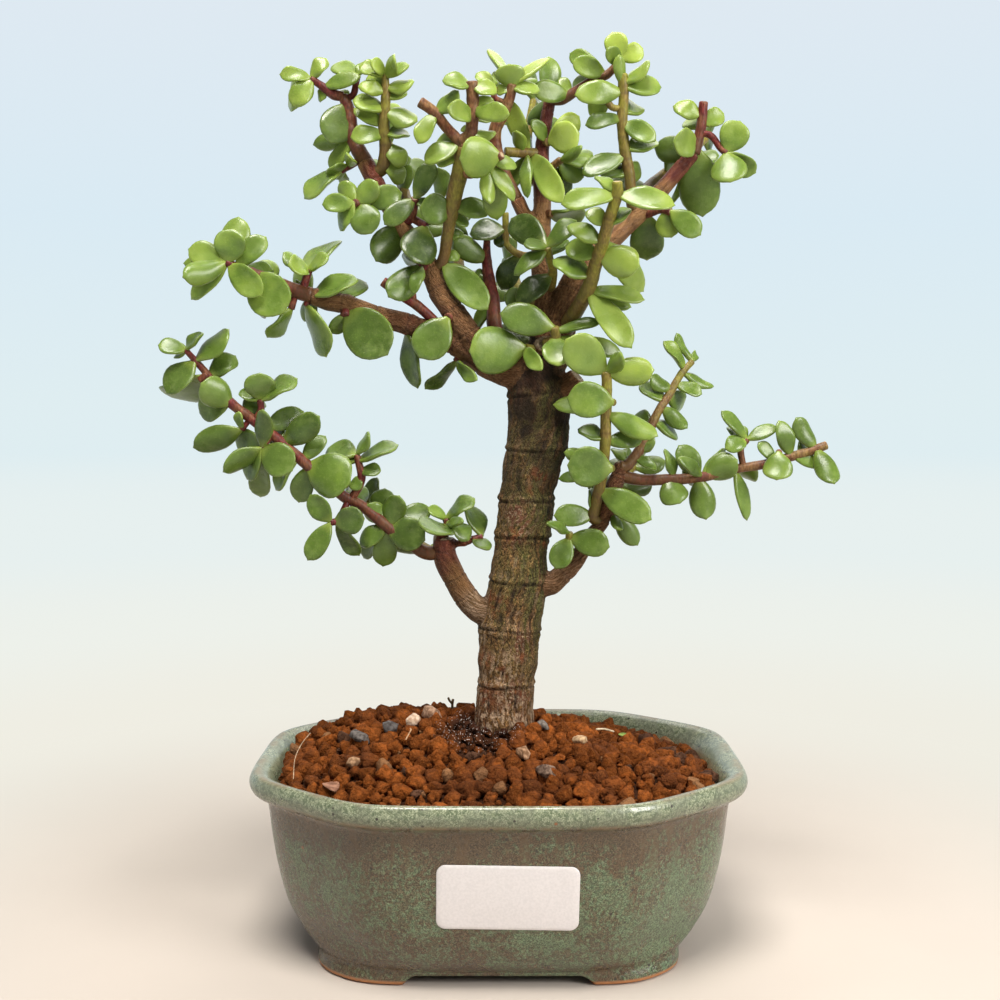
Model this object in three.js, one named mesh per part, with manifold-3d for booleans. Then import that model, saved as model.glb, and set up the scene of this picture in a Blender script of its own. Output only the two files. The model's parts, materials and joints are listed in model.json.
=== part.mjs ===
// Dwarf jade bonsai (Portulacaria afra) in a glazed pot. Millimetres, +Z up, front towards -Y.
// The origin lies under the middle of the pot, on the surface it stands on.
import * as THREE from 'three';
import { mergeVertices } from 'three/addons/utils/BufferGeometryUtils.js';
import Module from 'manifold-3d';

const wasm = await Module();
wasm.setup();

// ---------------------------------------------------------------- driving dimensions
const POT_HALF_WIDTH = 86.7;
const POT_PLAN_POWER = 18.7;
// Directions (degrees) and distances of the eight sides of the pot's plan.
const POT_SIDES = [
  [0, 86.7], [51.9, 79], [90, 64.55], [128.1, 79],
  [180, 86.7], [231.9, 79], [270, 64.55], [308.1, 79],
];
const POT_FLOOR = 10;
const POT_SEGMENTS = 32;
const FOOT_RECESS_HALF_LENGTH = 30;
const FOOT_RECESS_HEIGHT = 3.3;
const FOOT_SIDE_RECESS_HALF_LENGTH = 16;
// How much farther out the feet's corners lie than the wall's, and the height at which that ends.
const FOOT_CORNER = 11;
const FOOT_BLEND = 14;
const DRAIN_RADIUS = 6;
const DRAIN_OFFSET = 30;
const MESH_SIDE = 19;
const MESH_BAR = 2.2;
const MESH_HOLES = 3;
const MESH_THICKNESS = 0.8;
const FIT = 0.3;
const BARK_FIT = 1.15 * FIT;
const SOIL_EDGE_HEIGHT = 61;
const SOIL_MOUND_HEIGHT = 15;
const SOIL_MOUND_POWER = 1.7;
// The soil is heaped higher towards the back left.
const SOIL_HEAP = { x: -50, y: 17, height: 6.5, spread: 25 };
const GRANULE_SPACING = 6.4;
const GRANULE_RELIEF = 1.4;
const SOIL_WALL_GAP = 1.5;
const SOIL_SIDE_GAP = 2.4 * FIT;
// How far the bed's rim lies under its mound, and the height under it where the side begins.
const SOIL_RIM_DROP = 0.8;
const SOIL_SIDE_START = 4;
// Wander of a granule round and across its ring, in granules, and the least and further relief.
const GRANULE_TURN_WANDER = 0.55;
const GRANULE_REACH_WANDER = 0.4;
const GRANULE_LEAST_RELIEF = 0.55;
const GRANULE_MORE_RELIEF = 0.6;
// The plan's outline is this much of a circle of its half-width.
const PLAN_GIRTH = 0.86;
const FEWEST_CORNERS = 6;
const TRUNK_SIDES = 12;
const LIMB_SIDES = 6;
const THICK_STEM = 1.6;
const THICK_STEM_SIDES = 5;
const THIN_STEM_SIDES = 4;
const HOLE_SIDES = 20;
const DRAIN_SIDES = 16;
const TRUNK_ROOT_END = 50;
const TRUNK_ROOT_RADIUS = 10.6;
const HOLE_RADIUS = 11.7;
const RING_RELIEF = 0.8;
const RING_WIDTH = 1.5;
const STICKER_WIDTH = 45.6;
const STICKER_HEIGHT = 22;
const STICKER_THICKNESS = 0.6;
const STICKER_CORNER = 3;
const STICKER_PLACE = { x: 3, y: -58.2, z: 34.4 };
const STICKER_LEAN = 7.6;
const STICKER_TILT = 1;
const LEAF_THICKNESS = 2.3;
const LEAF_ASPECT = 0.78;
const LEAF_ROOT = 0.5;
const CLEAR_PLATE = 2.6;
const CLEAR_STEM = 1.5;
const CLEAR_EDGE = 0.7;
const LEAF_CUP = 0.04;
const LEAF_BELLY_PLACE = 0.45;
// Opposite leaves start nearer together than this, so their heels aren't tried against each other.
const SAME_SEAT = 4;
// A stem begins this near to its parent's axis, or is first led there.
const SAME_PLACE = 0.4;
// Grown leaf pairs: place of the first along the stem, how steeply they rise from it, the shares of
// full size they are drawn from, how much smaller the last are, and width and turns of a leaf.
const FIRST_PAIR = 0.9;
const PAIR_RISE = 0.55;
const PAIR_LEAST_SIZE = 0.85;
const PAIR_MORE_SIZE = 0.25;
const PAIR_TAPER = 0.25;
const PAIR_ASPECT = 0.72;
const PAIR_WANDER = 0.5;
const PAIR_TURN = 30;
// Leaves whose bases lie farther apart than their reach with this slack aren't tried together.
const REACH_SLACK = 1.1;
const WIDTH_SLACK = 6;
const SMALLEST_DETAIL = 0.3;
const SMALLEST_LEAF = 6.6;

// Seeds of the random draws.
const PAIR_SEED = 20731;
const GRANULE_SEED = 4409;

// The tree is laid out in a front elevation: x and z are measured on the plane y = 0 and pushed
// along the line from this viewing point to the depth y.
const EYE = { x: 0.5, y: -444, z: 191 };

// ---------------------------------------------------------------- colours
const GLAZE = { color: 0x6a7b62, roughness: 0.3, metalness: 0 };
const EARTH = { color: 0xa9714a, roughness: 0.95, metalness: 0 };
const PAPER = { color: 0xf2f1ec, roughness: 0.6, metalness: 0 };
const PLASTIC = { color: 0x26292b, roughness: 0.6, metalness: 0 };
const BARK = { color: 0x8b6a4c, roughness: 0.85, metalness: 0 };
const LEAF_LIGHT = { color: 0x9db53c, roughness: 0.38, metalness: 0 };
const LEAF_MID = { color: 0x7c9a35, roughness: 0.38, metalness: 0 };
const LEAF_DARK = { color: 0x55752c, roughness: 0.42, metalness: 0 };

// ---------------------------------------------------------------- outer and inner outline of the pot
// Half-width and height of the wall, from the middle of the underside round to the middle of the floor.
const POT_PROFILE = [
  [0, 5], [54.5, 5], [55.5, 0], [62.4, 0], [63, 5], [66, 7.2], [69.2, 10.3], [72.7, 16.5],
  [75.1, 22.8], [77.4, 33], [78.9, 42.5], [79.9, 52], [80.6, 56.5], [85.2, 58.6], [86.7, 62.5],
  [84.7, 66.2], [79.6, 64.6], [75.2, 55], [72.6, 40], [69.4, 24], [64, 13.5], [57, POT_FLOOR],
  [0, POT_FLOOR],
];
// Inner wall alone, from the floor up: half-width and height.
const INNER_WALL = [[57, POT_FLOOR], [64, 13.5], [69.4, 24], [72.6, 40], [75.2, 55], [79.6, 64.6]];

// ---------------------------------------------------------------- trunk and woody limbs
// Heights of the scar rings round the trunk.
const TRUNK_RINGS = [88.7, 109, 126.5, 143, 155, 174, 193];
// Each limb: name, limb it grows on, changes of depth along it, then [x, z, radius] in the elevation.
const LIMBS = [
  { name: 'trunk', depth: 0, lean: [0], line: [
    [2, TRUNK_ROOT_END, TRUNK_ROOT_RADIUS], [2, 72, TRUNK_ROOT_RADIUS], [2, 80, 10.6], [2.6, 90, 9.9],
    [3.4, 100, 10.7], [3.8, 110, 10.8], [5.8, 120, 10.6], [6.9, 127, 10.2], [8, 140, 9.4],
    [9.4, 150, 9.8], [10.2, 160, 9.6], [12.2, 170, 10.2], [13.9, 180, 10.9], [14.2, 190, 11],
    [13.6, 200, 10.6], [13.8, 207, 8.6]] },
  { name: 'stub', on: 'trunk', lean: [-3], line: [
    [-4, 116, 4.9], [-9.4, 119.2, 4.6], [-14.8, 127.2, 4.3], [-19, 136, 4.3], [-19.5, 143, 3.9]] },
  { name: 'stub_spur', on: 'stub', lean: [-1], line: [[-22.5, 144, 2]] },
  { name: 'stub_twig', on: 'stub', lean: [1], line: [[-12, 141.5, 1.3], [-9.5, 142.7, 1.2]] },
  { name: 'left', on: 'trunk', lean: [-3, -6], line: [
    [0, 204.5, 6.4], [-8, 208.2, 5], [-16, 212.6, 4.2], [-24, 216.4, 3.8], [-29, 217.8, 3.7], [-32, 219, 4],
    [-40, 221.2, 3.5], [-51, 225, 3.2], [-53, 225.8, 3.6], [-60, 227.2, 3.5], [-66, 229, 3]] },
  { name: 'upper_left', on: 'trunk', lean: [-4, 0, 4], line: [
    [3.4, 204.2, 7.5], [-4, 208.6, 6], [-9.5, 213.8, 4.8], [-14, 220.5, 4.3], [-20.5, 230, 4], [-24.5, 239, 3.6],
    [-29.5, 247, 3.1], [-34, 253.5, 3], [-39, 261, 3.1], [-43, 268, 3.1], [-46.5, 275, 3.2]] },
  { name: 'top', on: 'trunk', lean: [8, 12], line: [
    [15, 209, 6], [15.4, 216, 4.4], [15.5, 225, 4], [15, 240, 3.7], [15, 252, 3.4], [15.3, 262, 3.2],
    [14.8, 272, 3], [15.3, 281, 2.6], [16.5, 289, 2.4], [17.8, 296, 2.2]] },
  { name: 'top_side', on: 'top', lean: [-1], line: [[10, 256, 2.6], [6.5, 262.3, 2.6]] },
  { name: 'upper_right', on: 'trunk', lean: [4, 10, 8], line: [
    [17, 206, 7.6], [21.5, 219, 6.3], [26.4, 232, 5.5], [32.6, 242.6, 4.5], [39.8, 248.6, 3.6], [45.3, 253.6, 3.3],
    [50, 258, 3.2], [58.2, 267, 2.9], [64, 273.6, 2.7], [68, 278, 2.5]] },
  { name: 'cut_top', on: 'trunk', lean: [-7], line: [[15, 206, 4.4], [16, 212, 3.8]] },
  { name: 'cut_right', on: 'trunk', lean: [-5], line: [[22, 195, 5], [28, 200.5, 3.6]] },
  { name: 'right', on: 'trunk', lean: [-3, -8], line: [
    [17.4, 126.5, 4.2], [22, 129.5, 3.7], [27.2, 134.6, 3.1], [32.4, 143, 2.8], [36.9, 148.8, 2.5],
    [38.8, 154.6, 2.5], [40.2, 160.5, 2.7], [42.8, 165.6, 2.9], [42.9, 170.2, 1.7]] },
];

// ---------------------------------------------------------------- leafy shoots
// Each shoot is one piece. Its first stem grows on a limb and its other stems on the ones before.
// A stem is [changes of depth along it], then [x, z, radius]; a radius holds until the next one.
// A leaf is [base x, base z, tip x, tip z, depth of the tip from the base, turn of the blade in
// degrees (0 is face-on, 90 edge-on), width]. A width of 0 takes the usual share of the length.
const SHOOTS = [
  { name: 'lower_left_shoot', on: 'stub', look: LEAF_MID, stems: [
    [[-5, -3], [-25.8, 137.9, 2.5], [-31, 141, 2.3], [-38, 146, 2.2], [-44, 151, 2], [-49.5, 155.2, 1.9],
      [-55, 158], [-62, 164], [-68.8, 170], [-78.9, 178.8], [-88, 186, 1.8], [-95.5, 192, 1.7],
      [-103, 201.5, 1.3], [-110.3, 209.8, 1]],
    [[0], [-105.5, 199.2, 1.5]],
    [[-1], [-84.3, 188.5, 1.2], [-84.3, 192.3]],
    [[-3], [-84, 175.5, 1.1]],
    [[0], [-91, 182, 1]],
    [[-1], [-48.9, 164, 1.5], [-49.7, 170, 1.3], [-50.4, 172.8, 1.1]],
    [[-4], [-57, 150, 1.2], [-59.8, 148.8]]],
    leaves: [
      [-110.3, 209.8, -119.8, 211.7, -2, 40, 0], [-110.3, 209.8, -104.8, 216, -1, 65, 0],
      [-110.3, 209.8, -113.2, 208.6, 2, 50, 0], [-106.8, 206.3, -94.9, 216.2, 1, 60, 0],
      [-107, 206.3, -117, 194.9, -2, 45, 0], [-102, 200.5, -93.6, 208.3, 3, 35, 0],
      [-103, 200, -115.3, 192.4, 4, 45, 0], [-91.5, 194.5, -104.8, 198, -6, 5, 10.5],
      [-95, 192, -106, 187.8, 5, 10, 9], [-89.5, 187, -84.5, 193.5, 5, 20, 8],
      [-93, 183.5, -107.6, 176, 2, 15, 9], [-96.5, 181, -92, 188.2, -2, 40, 4],
      [-84.3, 192.3, -84.5, 201.2, -4, 0, 10.5], [-83.8, 192.8, -72.3, 200.6, 1, 60, 0],
      [-84.6, 192.8, -91.2, 195.3, 3, 40, 0], [-84, 175.5, -83, 188.8, -4, 30, 7],
      [-84, 178, -93.5, 177.5, 5, 10, 10], [-84.5, 175.2, -97.7, 167.6, -2, 35, 8],
      [-83, 175.3, -73.8, 167.6, -5, 5, 11.5],
      [-84.5, 174.5, -89.5, 164.6, 4, 50, 0], [-83, 172, -85, 158, 4, 20, 8],
      [-73.5, 170, -79.6, 161, 3, 60, 0], [-81, 184.5, -69.5, 188.2, 5, 20, 8],
      [-75.5, 178, -63.6, 186.3, -3, 10, 9.5], [-68.2, 172.4, -61.7, 179.4, 3, 30, 6.5],
      [-69.5, 167.8, -53, 163, -6, 0, 15.5], [-68.8, 167.5, -71, 156.5, 4, 15, 8],
      [-59.8, 149, -67, 158.2, -1, 15, 7.5], [-59.8, 148.2, -68, 135.7, -2, 10, 7.5],
      [-58.5, 149, -48.4, 150, -2, 10, 9.5], [-57, 148, -50.3, 137, 3, 35, 6.5],
      [-49.2, 171, -36, 176, 1, 65, 0], [-50.3, 172.8, -45.5, 180.5, 0, 65, 0],
      [-50.4, 172.8, -60.3, 174.8, -2, 45, 0], [-50, 171, -57, 171.3, 3, 50, 0],
      [-49.5, 167, -42, 167.2, -4, 30, 5.5], [-49.2, 165.5, -52, 160.5, 3, 30, 5],
      [-39.7, 147.5, -26.8, 142.6, -3, 0, 11.5], [-40.2, 147.4, -49.6, 141, -2, 20, 7],
      [-38.8, 148.5, -35.3, 158.2, -2, 10, 8.3], [-40.7, 148.5, -46.6, 155.2, -1, 10, 7.5],
      [-38, 149, -24.6, 153.5, 1, 20, 8], [-42, 150, -41, 160.9, 3, 20, 8.5],
      [-40.2, 146, -41.4, 133.2, 3, 5, 8.5], [-43, 146, -48.5, 136.3, 4, 35, 7],
      [-77, 177, -80, 183, 10, 20, 9], [-64, 166, -58, 171, 9, 20, 9], [-54, 158, -47, 161, 9, 20, 8]] },
  { name: 'stub_top_shoot', on: 'stub', look: LEAF_LIGHT, stems: [
    [[0], [-18.3, 147.5, 1.4], [-18.6, 150]]],
    leaves: [
      [-18.6, 150, -9.7, 158, -1, 60, 0], [-18.8, 150, -25, 154, 1, 50, 0],
      [-18.3, 147.5, -25.5, 145.4, -1, 50, 0], [-18, 148, -13, 149.2, -4, 40, 4],
      [-18, 150, -10.4, 143.6, 2, 50, 0]] },
  { name: 'stub_side_shoot', on: 'stub_twig', look: LEAF_MID, stems: [[[0.5], [-6, 143.7, 1.2]]],
    leaves: [
      [-6, 143.7, -11, 154.7, 0, 55, 0], [-9.5, 143.5, -3.3, 139.3, -2, 55, 0]] },
  { name: 'left_tip_shoot', on: 'left', look: LEAF_LIGHT, stems: [
    [[-5], [-67, 229.3, 2.7], [-72.5, 231, 2.6], [-80, 234, 2.2], [-88, 237.5, 1.7], [-95.5, 240.3, 1.3]],
    [[0], [-67, 237, 1.4], [-66.8, 237.8]],
    [[0], [-73, 224.5, 1.2]],
    [[0], [-67.5, 225.5, 1.2]]],
    leaves: [
      [-95.3, 240.5, -93, 251.6, -2, 10, 10.5], [-91.5, 241, -81.8, 248.9, 2, 20, 8],
      [-94, 243, -91, 255.2, 5, 20, 10.5], [-96.5, 240.5, -108.4, 245, -1, 15, 9],
      [-96, 239.5, -110.6, 235.2, -2, 15, 8.3], [-96, 240, -110, 240, 4, 30, 5],
      [-96, 238, -107.5, 228, 3, 35, 7], [-95, 239.3, -84, 229.5, -5, 10, 9],
      [-86, 238, -76.5, 223.3, -4, 5, 14.5], [-90, 240, -79.3, 238.5, 3, 40, 5],
      [-67, 238, -75.6, 243, 0, 60, 0], [-67, 237.5, -73, 240, 3, 50, 0],
      [-66.6, 238, -59.7, 242.3, -3, 50, 0], [-66.5, 238.5, -58.2, 247, 1, 65, 0],
      [-65, 232, -50.3, 234.4, 0, 60, 0], [-69, 231, -70.5, 234.8, 4, 30, 3],
      [-73.5, 223.8, -80.4, 214, 0, 60, 0], [-67.5, 225.5, -60.3, 208.4, 0, 62, 0],
      [-84, 236, -80, 240, 10, 20, 9], [-76, 232.5, -79, 228, 10, 20, 9]] },
  { name: 'left_leaf_outer', on: 'left', look: LEAF_MID, stems: [[[-3], [-54.2, 222, 1.6]]],
    leaves: [[-53.6, 224, -40, 209, -3, 5, 16], [-55, 223, -58.5, 215.8, 3, 20, 6]] },
  { name: 'left_leaf_middle', on: 'left', look: LEAF_MID, stems: [[[0], [-33, 215.5, 1.5]]],
    leaves: [[-33, 217, -28.5, 197.2, 0, 55, 10]] },
  { name: 'left_leaf_inner', on: 'left', look: LEAF_MID, stems: [[[0], [-14.8, 206, 1.4]]],
    leaves: [[-14.8, 206, -25, 195.8, 1, 50, 6.5], [-14.6, 206, -8.5, 199.5, 2, 40, 5]] },
  { name: 'left_leaf_front', on: 'upper_left', look: LEAF_LIGHT, stems: [[[-4], [-17.8, 221.2, 1.6]]],
    leaves: [[-17.8, 221.2, -27.6, 207.7, -3, 10, 13]] },
  { name: 'upper_left_outer_shoot', on: 'upper_left', look: LEAF_LIGHT, stems: [
    [[3], [-47, 276, 2.9], [-50.2, 282, 2.5], [-51.3, 288, 2.2], [-52, 293, 2], [-54, 297.5, 1.9]],
    [[-1], [-57.5, 298.3, 1.8], [-61.3, 301, 1.4], [-65, 303.5, 1.2]],
    [[0], [-50.5, 298.2, 1.2], [-49.2, 304]],
    [[0], [-55, 272.3, 1.3]]],
    leaves: [
      [-65, 303.5, -75.6, 305.3, -2, 30, 5.5], [-64.8, 304, -60.4, 310.6, -1, 35, 6],
      [-65, 303, -71.4, 295, -3, 15, 7.8], [-65.2, 303, -73.8, 294.8, 3, 50, 0],
      [-61, 300.5, -48.4, 304.2, -3, 35, 6], [-60, 299.5, -63, 296.3, 2, 45, 4.5],
      [-57, 298, -52, 299.3, 3, 40, 4], [-49.2, 304.5, -56.8, 308.4, 1, 45, 0],
      [-49, 304.5, -45.5, 309.6, 2, 40, 4], [-54, 294.5, -58.4, 282.6, -5, 0, 12],
      [-53, 285, -63.8, 281, 4, 20, 6.5], [-52, 284, -55, 280.5, 4, 30, 5],
      [-53, 283, -58.7, 273, 2, 30, 6], [-54.5, 278, -59.8, 270.8, -2, 50, 0],
      [-55, 272, -67.8, 263.4, -1, 65, 0], [-52, 273.5, -51.5, 277.5, 3, 30, 5],
      [-54.5, 272, -54, 268, 3, 40, 4], [-51, 290, -57, 290, 9, 20, 8]] },
  { name: 'upper_left_inner_shoot', on: 'upper_left', look: LEAF_LIGHT, stems: [
    [[-5], [-40.6, 273, 2.3], [-39.4, 280, 2.2], [-40, 286, 2], [-39.4, 293.4, 1.8], [-39.2, 299, 1.6],
      [-39.4, 305, 1.2]]],
    leaves: [
      [-40.2, 304.3, -48, 308, -1, 45, 0], [-39.8, 305, -44, 309.6, 1, 40, 0],
      [-38.8, 305, -35.6, 310.5, 1, 45, 0], [-39, 304, -31.4, 308.3, -1, 60, 0],
      [-38.5, 300.2, -29.5, 301.8, -1, 55, 0], [-39.5, 299.2, -48, 301.3, -4, 25, 5.5],
      [-41, 300, -44.5, 304.8, 2, 10, 6], [-38.5, 296.8, -32, 299, 2, 50, 0],
      [-39.8, 292.9, -50.3, 296.2, -2, 50, 0], [-38.8, 292.5, -28.7, 288.5, -1, 40, 0],
      [-40.5, 287.5, -50, 293, 2, 25, 5.5], [-41, 290, -46, 294, 4, 40, 4],
      [-39.5, 284.5, -31.2, 284.7, 0, 60, 0], [-40.5, 284.2, -51, 284, -4, 30, 7],
      [-40.5, 281, -32.7, 274.8, -1, 20, 7], [-42.8, 276.3, -33, 268.6, -2, 30, 7],
      [-41, 274, -30.5, 277, 4, 30, 5], [-40, 289, -36, 294, 9, 20, 8]] },
  { name: 'left_cluster_shoot', on: 'upper_left', look: LEAF_MID, stems: [
    [[-9], [-44.5, 260, 1.4], [-48, 261], [-50.4, 261]]],
    leaves: [
      [-50.3, 261.3, -61.3, 260.4, -1, 20, 6.5], [-49.6, 261.7, -42.5, 268, -1, 15, 8],
      [-50, 262, -55, 267.5, 1, 20, 7], [-46, 261, -34.3, 264.5, -1, 15, 8.5],
      [-48.8, 260.5, -45, 251.5, -4, 5, 10.5], [-50.5, 260.3, -56.2, 252.2, 2, 50, 0]] },
  { name: 'middle_left_shoot', on: 'upper_left', look: LEAF_MID, stems: [
    [[-8], [-30.5, 256, 1.5], [-29.3, 262.5, 1.4]],
    [[-2], [-25.5, 253, 1.4]]],
    leaves: [
      [-29.5, 262.3, -39.6, 254, -3, 20, 7.5], [-28.8, 262.7, -22.5, 274.3, -2, 25, 8],
      [-28.8, 261.8, -24, 259.5, 2, 40, 5], [-34.5, 252.5, -43, 241.3, -3, 10, 11],
      [-25, 252, -29.7, 240.5, -5, 10, 13]] },
  { name: 'left_limb_side_shoot', on: 'upper_left', look: LEAF_DARK, stems: [[[-5], [-26.8, 239, 1.6]]],
    leaves: [
      [-26, 241, -34.5, 242, 2, 50, 4], [-26.5, 239.5, -38.5, 228.5, -3, 10, 10],
      [-27, 238, -30, 231, 3, 30, 5]] },
  { name: 'bare_spur', on: 'left', look: LEAF_MID, stems: [
    [[-3], [-22, 219, 1.8], [-28, 225], [-34, 229], [-40.5, 233.8]],
    [[2], [-30, 226.5, 1.4], [-30.8, 233]]], leaves: [] },
  { name: 'centre_left_shoot', on: 'upper_left', look: LEAF_LIGHT, stems: [
    [[-9, -15], [-19.8, 240.5, 2], [-17.8, 250.7], [-15.4, 264, 2.8], [-13.9, 270, 2.8],
      [-12.4, 280, 2.5]],
    [[-2], [-14.6, 283.2, 1.8], [-18.2, 287], [-21.2, 290.8], [-23.6, 293.2], [-27.2, 295.6]],
    [[-3], [-10, 284.5, 2.1], [-9.2, 289], [-8.9, 295], [-9.3, 302.4]],
    [[-10], [-9, 271, 1.4], [-3, 275], [1, 277.5]]],
    leaves: [
      [-22, 291.5, -28, 282.2, -3, 25, 6.3], [-21.5, 292, -13.8, 298.7, -1, 45, 0],
      [-15.8, 280, -25.3, 274.8, -1, 45, 0], [-15, 277.5, -21.6, 274.9, 3, 40, 0],
      [-16, 281, -21.3, 281.5, 3, 40, 5], [-8.9, 290.3, -17, 293.7, -4, 30, 7],
      [-8.8, 290, -2.4, 291.5, -4, 30, 6.5], [-9.3, 301.3, -19.2, 302.6, 0, 55, 0],
      [-8.9, 301, -0.9, 299.2, -2, 40, 0], [-8.8, 296.5, -1.5, 293.8, 2, 20, 5],
      [-8.8, 292.5, 2.5, 292, 1, 20, 6.5], [-9.8, 285.5, -12.8, 286.8, 2, 30, 3],
      [-9.5, 284.3, -1.2, 284.3, 1, 60, 0], [0.5, 277.5, -13.3, 276.4, -4, 0, 13],
      [-3, 273, -3.4, 260.8, -2, 20, 5.5], [-3, 273, 5.4, 262.4, -1, 30, 5.5],
      [-1, 272, -0.5, 255.8, 3, 10, 8.5], [-0.5, 272, 6.2, 273.7, 2, 30, 5],
      [-16, 258, -26.8, 259.5, -5, 5, 10.3], [-15, 259.5, -3.3, 258.4, 0, 20, 7.3],
      [-16.5, 256, -10.5, 254, 3, 40, 0], [-17.8, 248.5, -12.6, 251.5, 2, 40, 4.5],
      [-18.5, 241.5, -13.9, 243.3, 2, 30, 4.5], [-19.7, 240.6, -4.5, 225, -6, 10, 10.5]] },
  { name: 'top_left_shoot', on: 'top_side', look: LEAF_LIGHT, stems: [
    [[-8], [6.5, 262.3, 2.3], [2.5, 270, 2.3], [-0.8, 279, 2.3], [-1.2, 286, 2.3], [1, 290.5, 2.1],
      [3.8, 297, 1.9], [4.7, 301.5, 1.6]],
    [[0], [-1.3, 297, 1.1], [-1.5, 300.5]]],
    leaves: [
      [4.6, 300.5, 3.6, 308.3, -3, 0, 10], [4.4, 301.5, -3.3, 313.3, 1, 60, 5.5],
      [5, 301.5, 17, 310.3, 1, 60, 6], [4.7, 301.5, 6.5, 308, 1, 30, 3],
      [5, 300.3, 14, 299.5, -1, 55, 0], [4, 300, -0.8, 299.3, 1, 30, 4],
      [5.2, 300.5, 12.5, 302.5, 3, 30, 4.5], [-1.6, 300.8, -7.6, 305, 2, 30, 5],
      [-1.5, 300.8, -1.2, 305, -1, 10, 3.8]] },
  { name: 'top_right_shoot', on: 'top', look: LEAF_LIGHT, stems: [
    [[-5], [17.8, 296.5, 2], [22, 296.3, 1.7], [26, 298.8], [33.4, 303.5, 1.5], [37.7, 305],
      [42.5, 309.8, 1.3]]],
    leaves: [
      [24.5, 298, 12.2, 300, -4, 15, 7.7], [17, 297, 17.4, 310.4, 5, 15, 7.8], [24.6, 298.5, 21.6, 303.8, 1, 25, 4.5],
      [42.6, 310, 39.5, 318.9, 0, 5, 8], [43, 310, 49.7, 313.7, 1, 5, 6.8],
      [42.4, 309, 37.8, 313.3, -1, 15, 5.8], [37.3, 305.2, 26, 309, -2, 15, 7.2],
      [36.5, 305.2, 25, 312.3, 2, 20, 6.5], [32.7, 303, 26.4, 302.4, 1, 40, 0],
      [18, 296, 11, 288.3, 5, 20, 6.5]] },
  { name: 'top_cross_shoot', on: 'top', look: LEAF_LIGHT, stems: [
    [[-4], [10.4, 278.2, 1.8], [2.4, 278.6, 1.7]]],
    leaves: [
      [10.8, 279, 3.3, 295.8, -5, 15, 7], [12, 278, 21.6, 262, -6, 15, 8.5],
      [8, 279, 6.5, 286, 1, 30, 5.5], [11.5, 279, 4.2, 266, 1, 35, 6.5],
      [10, 278, 9.5, 264, 3, 30, 5]] },
  { name: 'top_front_shoot', on: 'top', look: LEAF_LIGHT, stems: [
    [[-4], [17.4, 282, 1.5]]],
    leaves: [
      [17.4, 282, 27.6, 284.8, -4, 5, 11], [17.4, 283, 27.8, 290.5, 3, 15, 8.5],
      [17, 283, 11.3, 289.2, 1, 30, 5]] },
  { name: 'top_brown_twig', on: 'top', look: LEAF_MID, stems: [
    [[-4], [18, 273.2, 1.4], [21.7, 275.8, 1.3]]],
    leaves: [
      [21.7, 276, 32.3, 277.5, 0, 50, 0], [21, 274.5, 29, 270, 3, 20, 8],
      [18.5, 273, 24.5, 264, 3, 25, 8], [21.7, 275.5, 29, 280, -2, 50, 5]] },
  { name: 'top_limb_leaf', on: 'top', look: LEAF_LIGHT, stems: [[[-3], [18.5, 257.3, 1.4]]],
    leaves: [[17, 257.4, 30.3, 257, 0, 60, 0]] },
  { name: 'right_olive_shoot', on: 'upper_right', look: LEAF_LIGHT, stems: [
    [[-6], [47.1, 259.8, 2.1], [46.5, 261.5, 2], [45.6, 271], [44, 279.5], [43, 289, 1.9],
      [43.5, 297, 1.8], [43.1, 305]],
    [[-1], [39.6, 293.8, 1.2], [37, 297]]],
    leaves: [
      [44.5, 301, 41.7, 311.4, -3, 35, 5], [44.5, 301.5, 52.5, 308.7, -1, 65, 0],
      [44, 301, 56.1, 300.8, -1, 45, 0], [43, 299.3, 27.5, 298.4, -4, 15, 8.3],
      [38.5, 295.5, 31.5, 292, 3, 15, 8], [42.5, 290, 30.8, 288.2, 1, 30, 5.8],
      [43.5, 288.5, 54.4, 283, -3, 20, 7.2], [44.3, 279.3, 55.4, 282.2, 1, 50, 0],
      [44, 277.5, 29.8, 270.8, -1, 35, 8], [45, 271, 35.7, 271.8, 3, 40, 0],
      [43.3, 292, 48, 295, 9, 20, 9], [45, 274, 49, 270, 9, 20, 8]] },
  { name: 'right_tip_shoot', on: 'upper_right', look: LEAF_LIGHT, stems: [
    [[-2], [68.3, 279, 2.2], [70.3, 286, 1.8], [71.3, 295.5, 1.6]],
    [[-2], [74.2, 284, 1.2], [77.3, 280], [79.4, 278.3]]],
    leaves: [
      [70.5, 291, 61.4, 294.6, -1, 30, 7], [71, 288, 78, 291.6, 2, 10, 6.8],
      [68.3, 279, 54.8, 279.8, 2, 5, 9.5], [70, 281, 61.8, 282, -5, 10, 9.8],
      [79.5, 278.6, 84, 288.8, -1, 5, 10.3], [79.8, 278.2, 89.4, 271.4, 1, 15, 7.5],
      [79.2, 278, 81, 268.4, -6, 0, 12.5], [70, 280, 71.4, 257.2, -5, 5, 14.5],
      [69.5, 279.5, 61.5, 261, 4, 50, 5], [70.5, 287, 66, 290, 9, 20, 8]] },
  { name: 'right_maroon_twig', on: 'upper_right', look: LEAF_LIGHT, stems: [
    [[-6], [52, 257.4, 1.6], [56.4, 258.8, 1.5], [60, 258.3]]],
    leaves: [
      [60, 258.3, 70.5, 250.3, -1, 15, 8.5], [58, 258, 60.5, 249.5, -2, 5, 8.8],
      [51, 257, 52.2, 241.4, -2, 5, 12]] },
  { name: 'front_olive_shoot', on: 'upper_right', look: LEAF_LIGHT, stems: [
    [[-14, -24, -30], [22.6, 215, 2.8], [24.8, 219.8, 2.8], [27.8, 224.4, 2.7], [31.6, 231.6, 2.5],
      [33.8, 238.8, 2.3], [36.5, 247.5, 2.1], [38.8, 255.6, 2], [41.4, 263.8, 1.9], [41.5, 268.2, 1.7]]],
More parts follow.
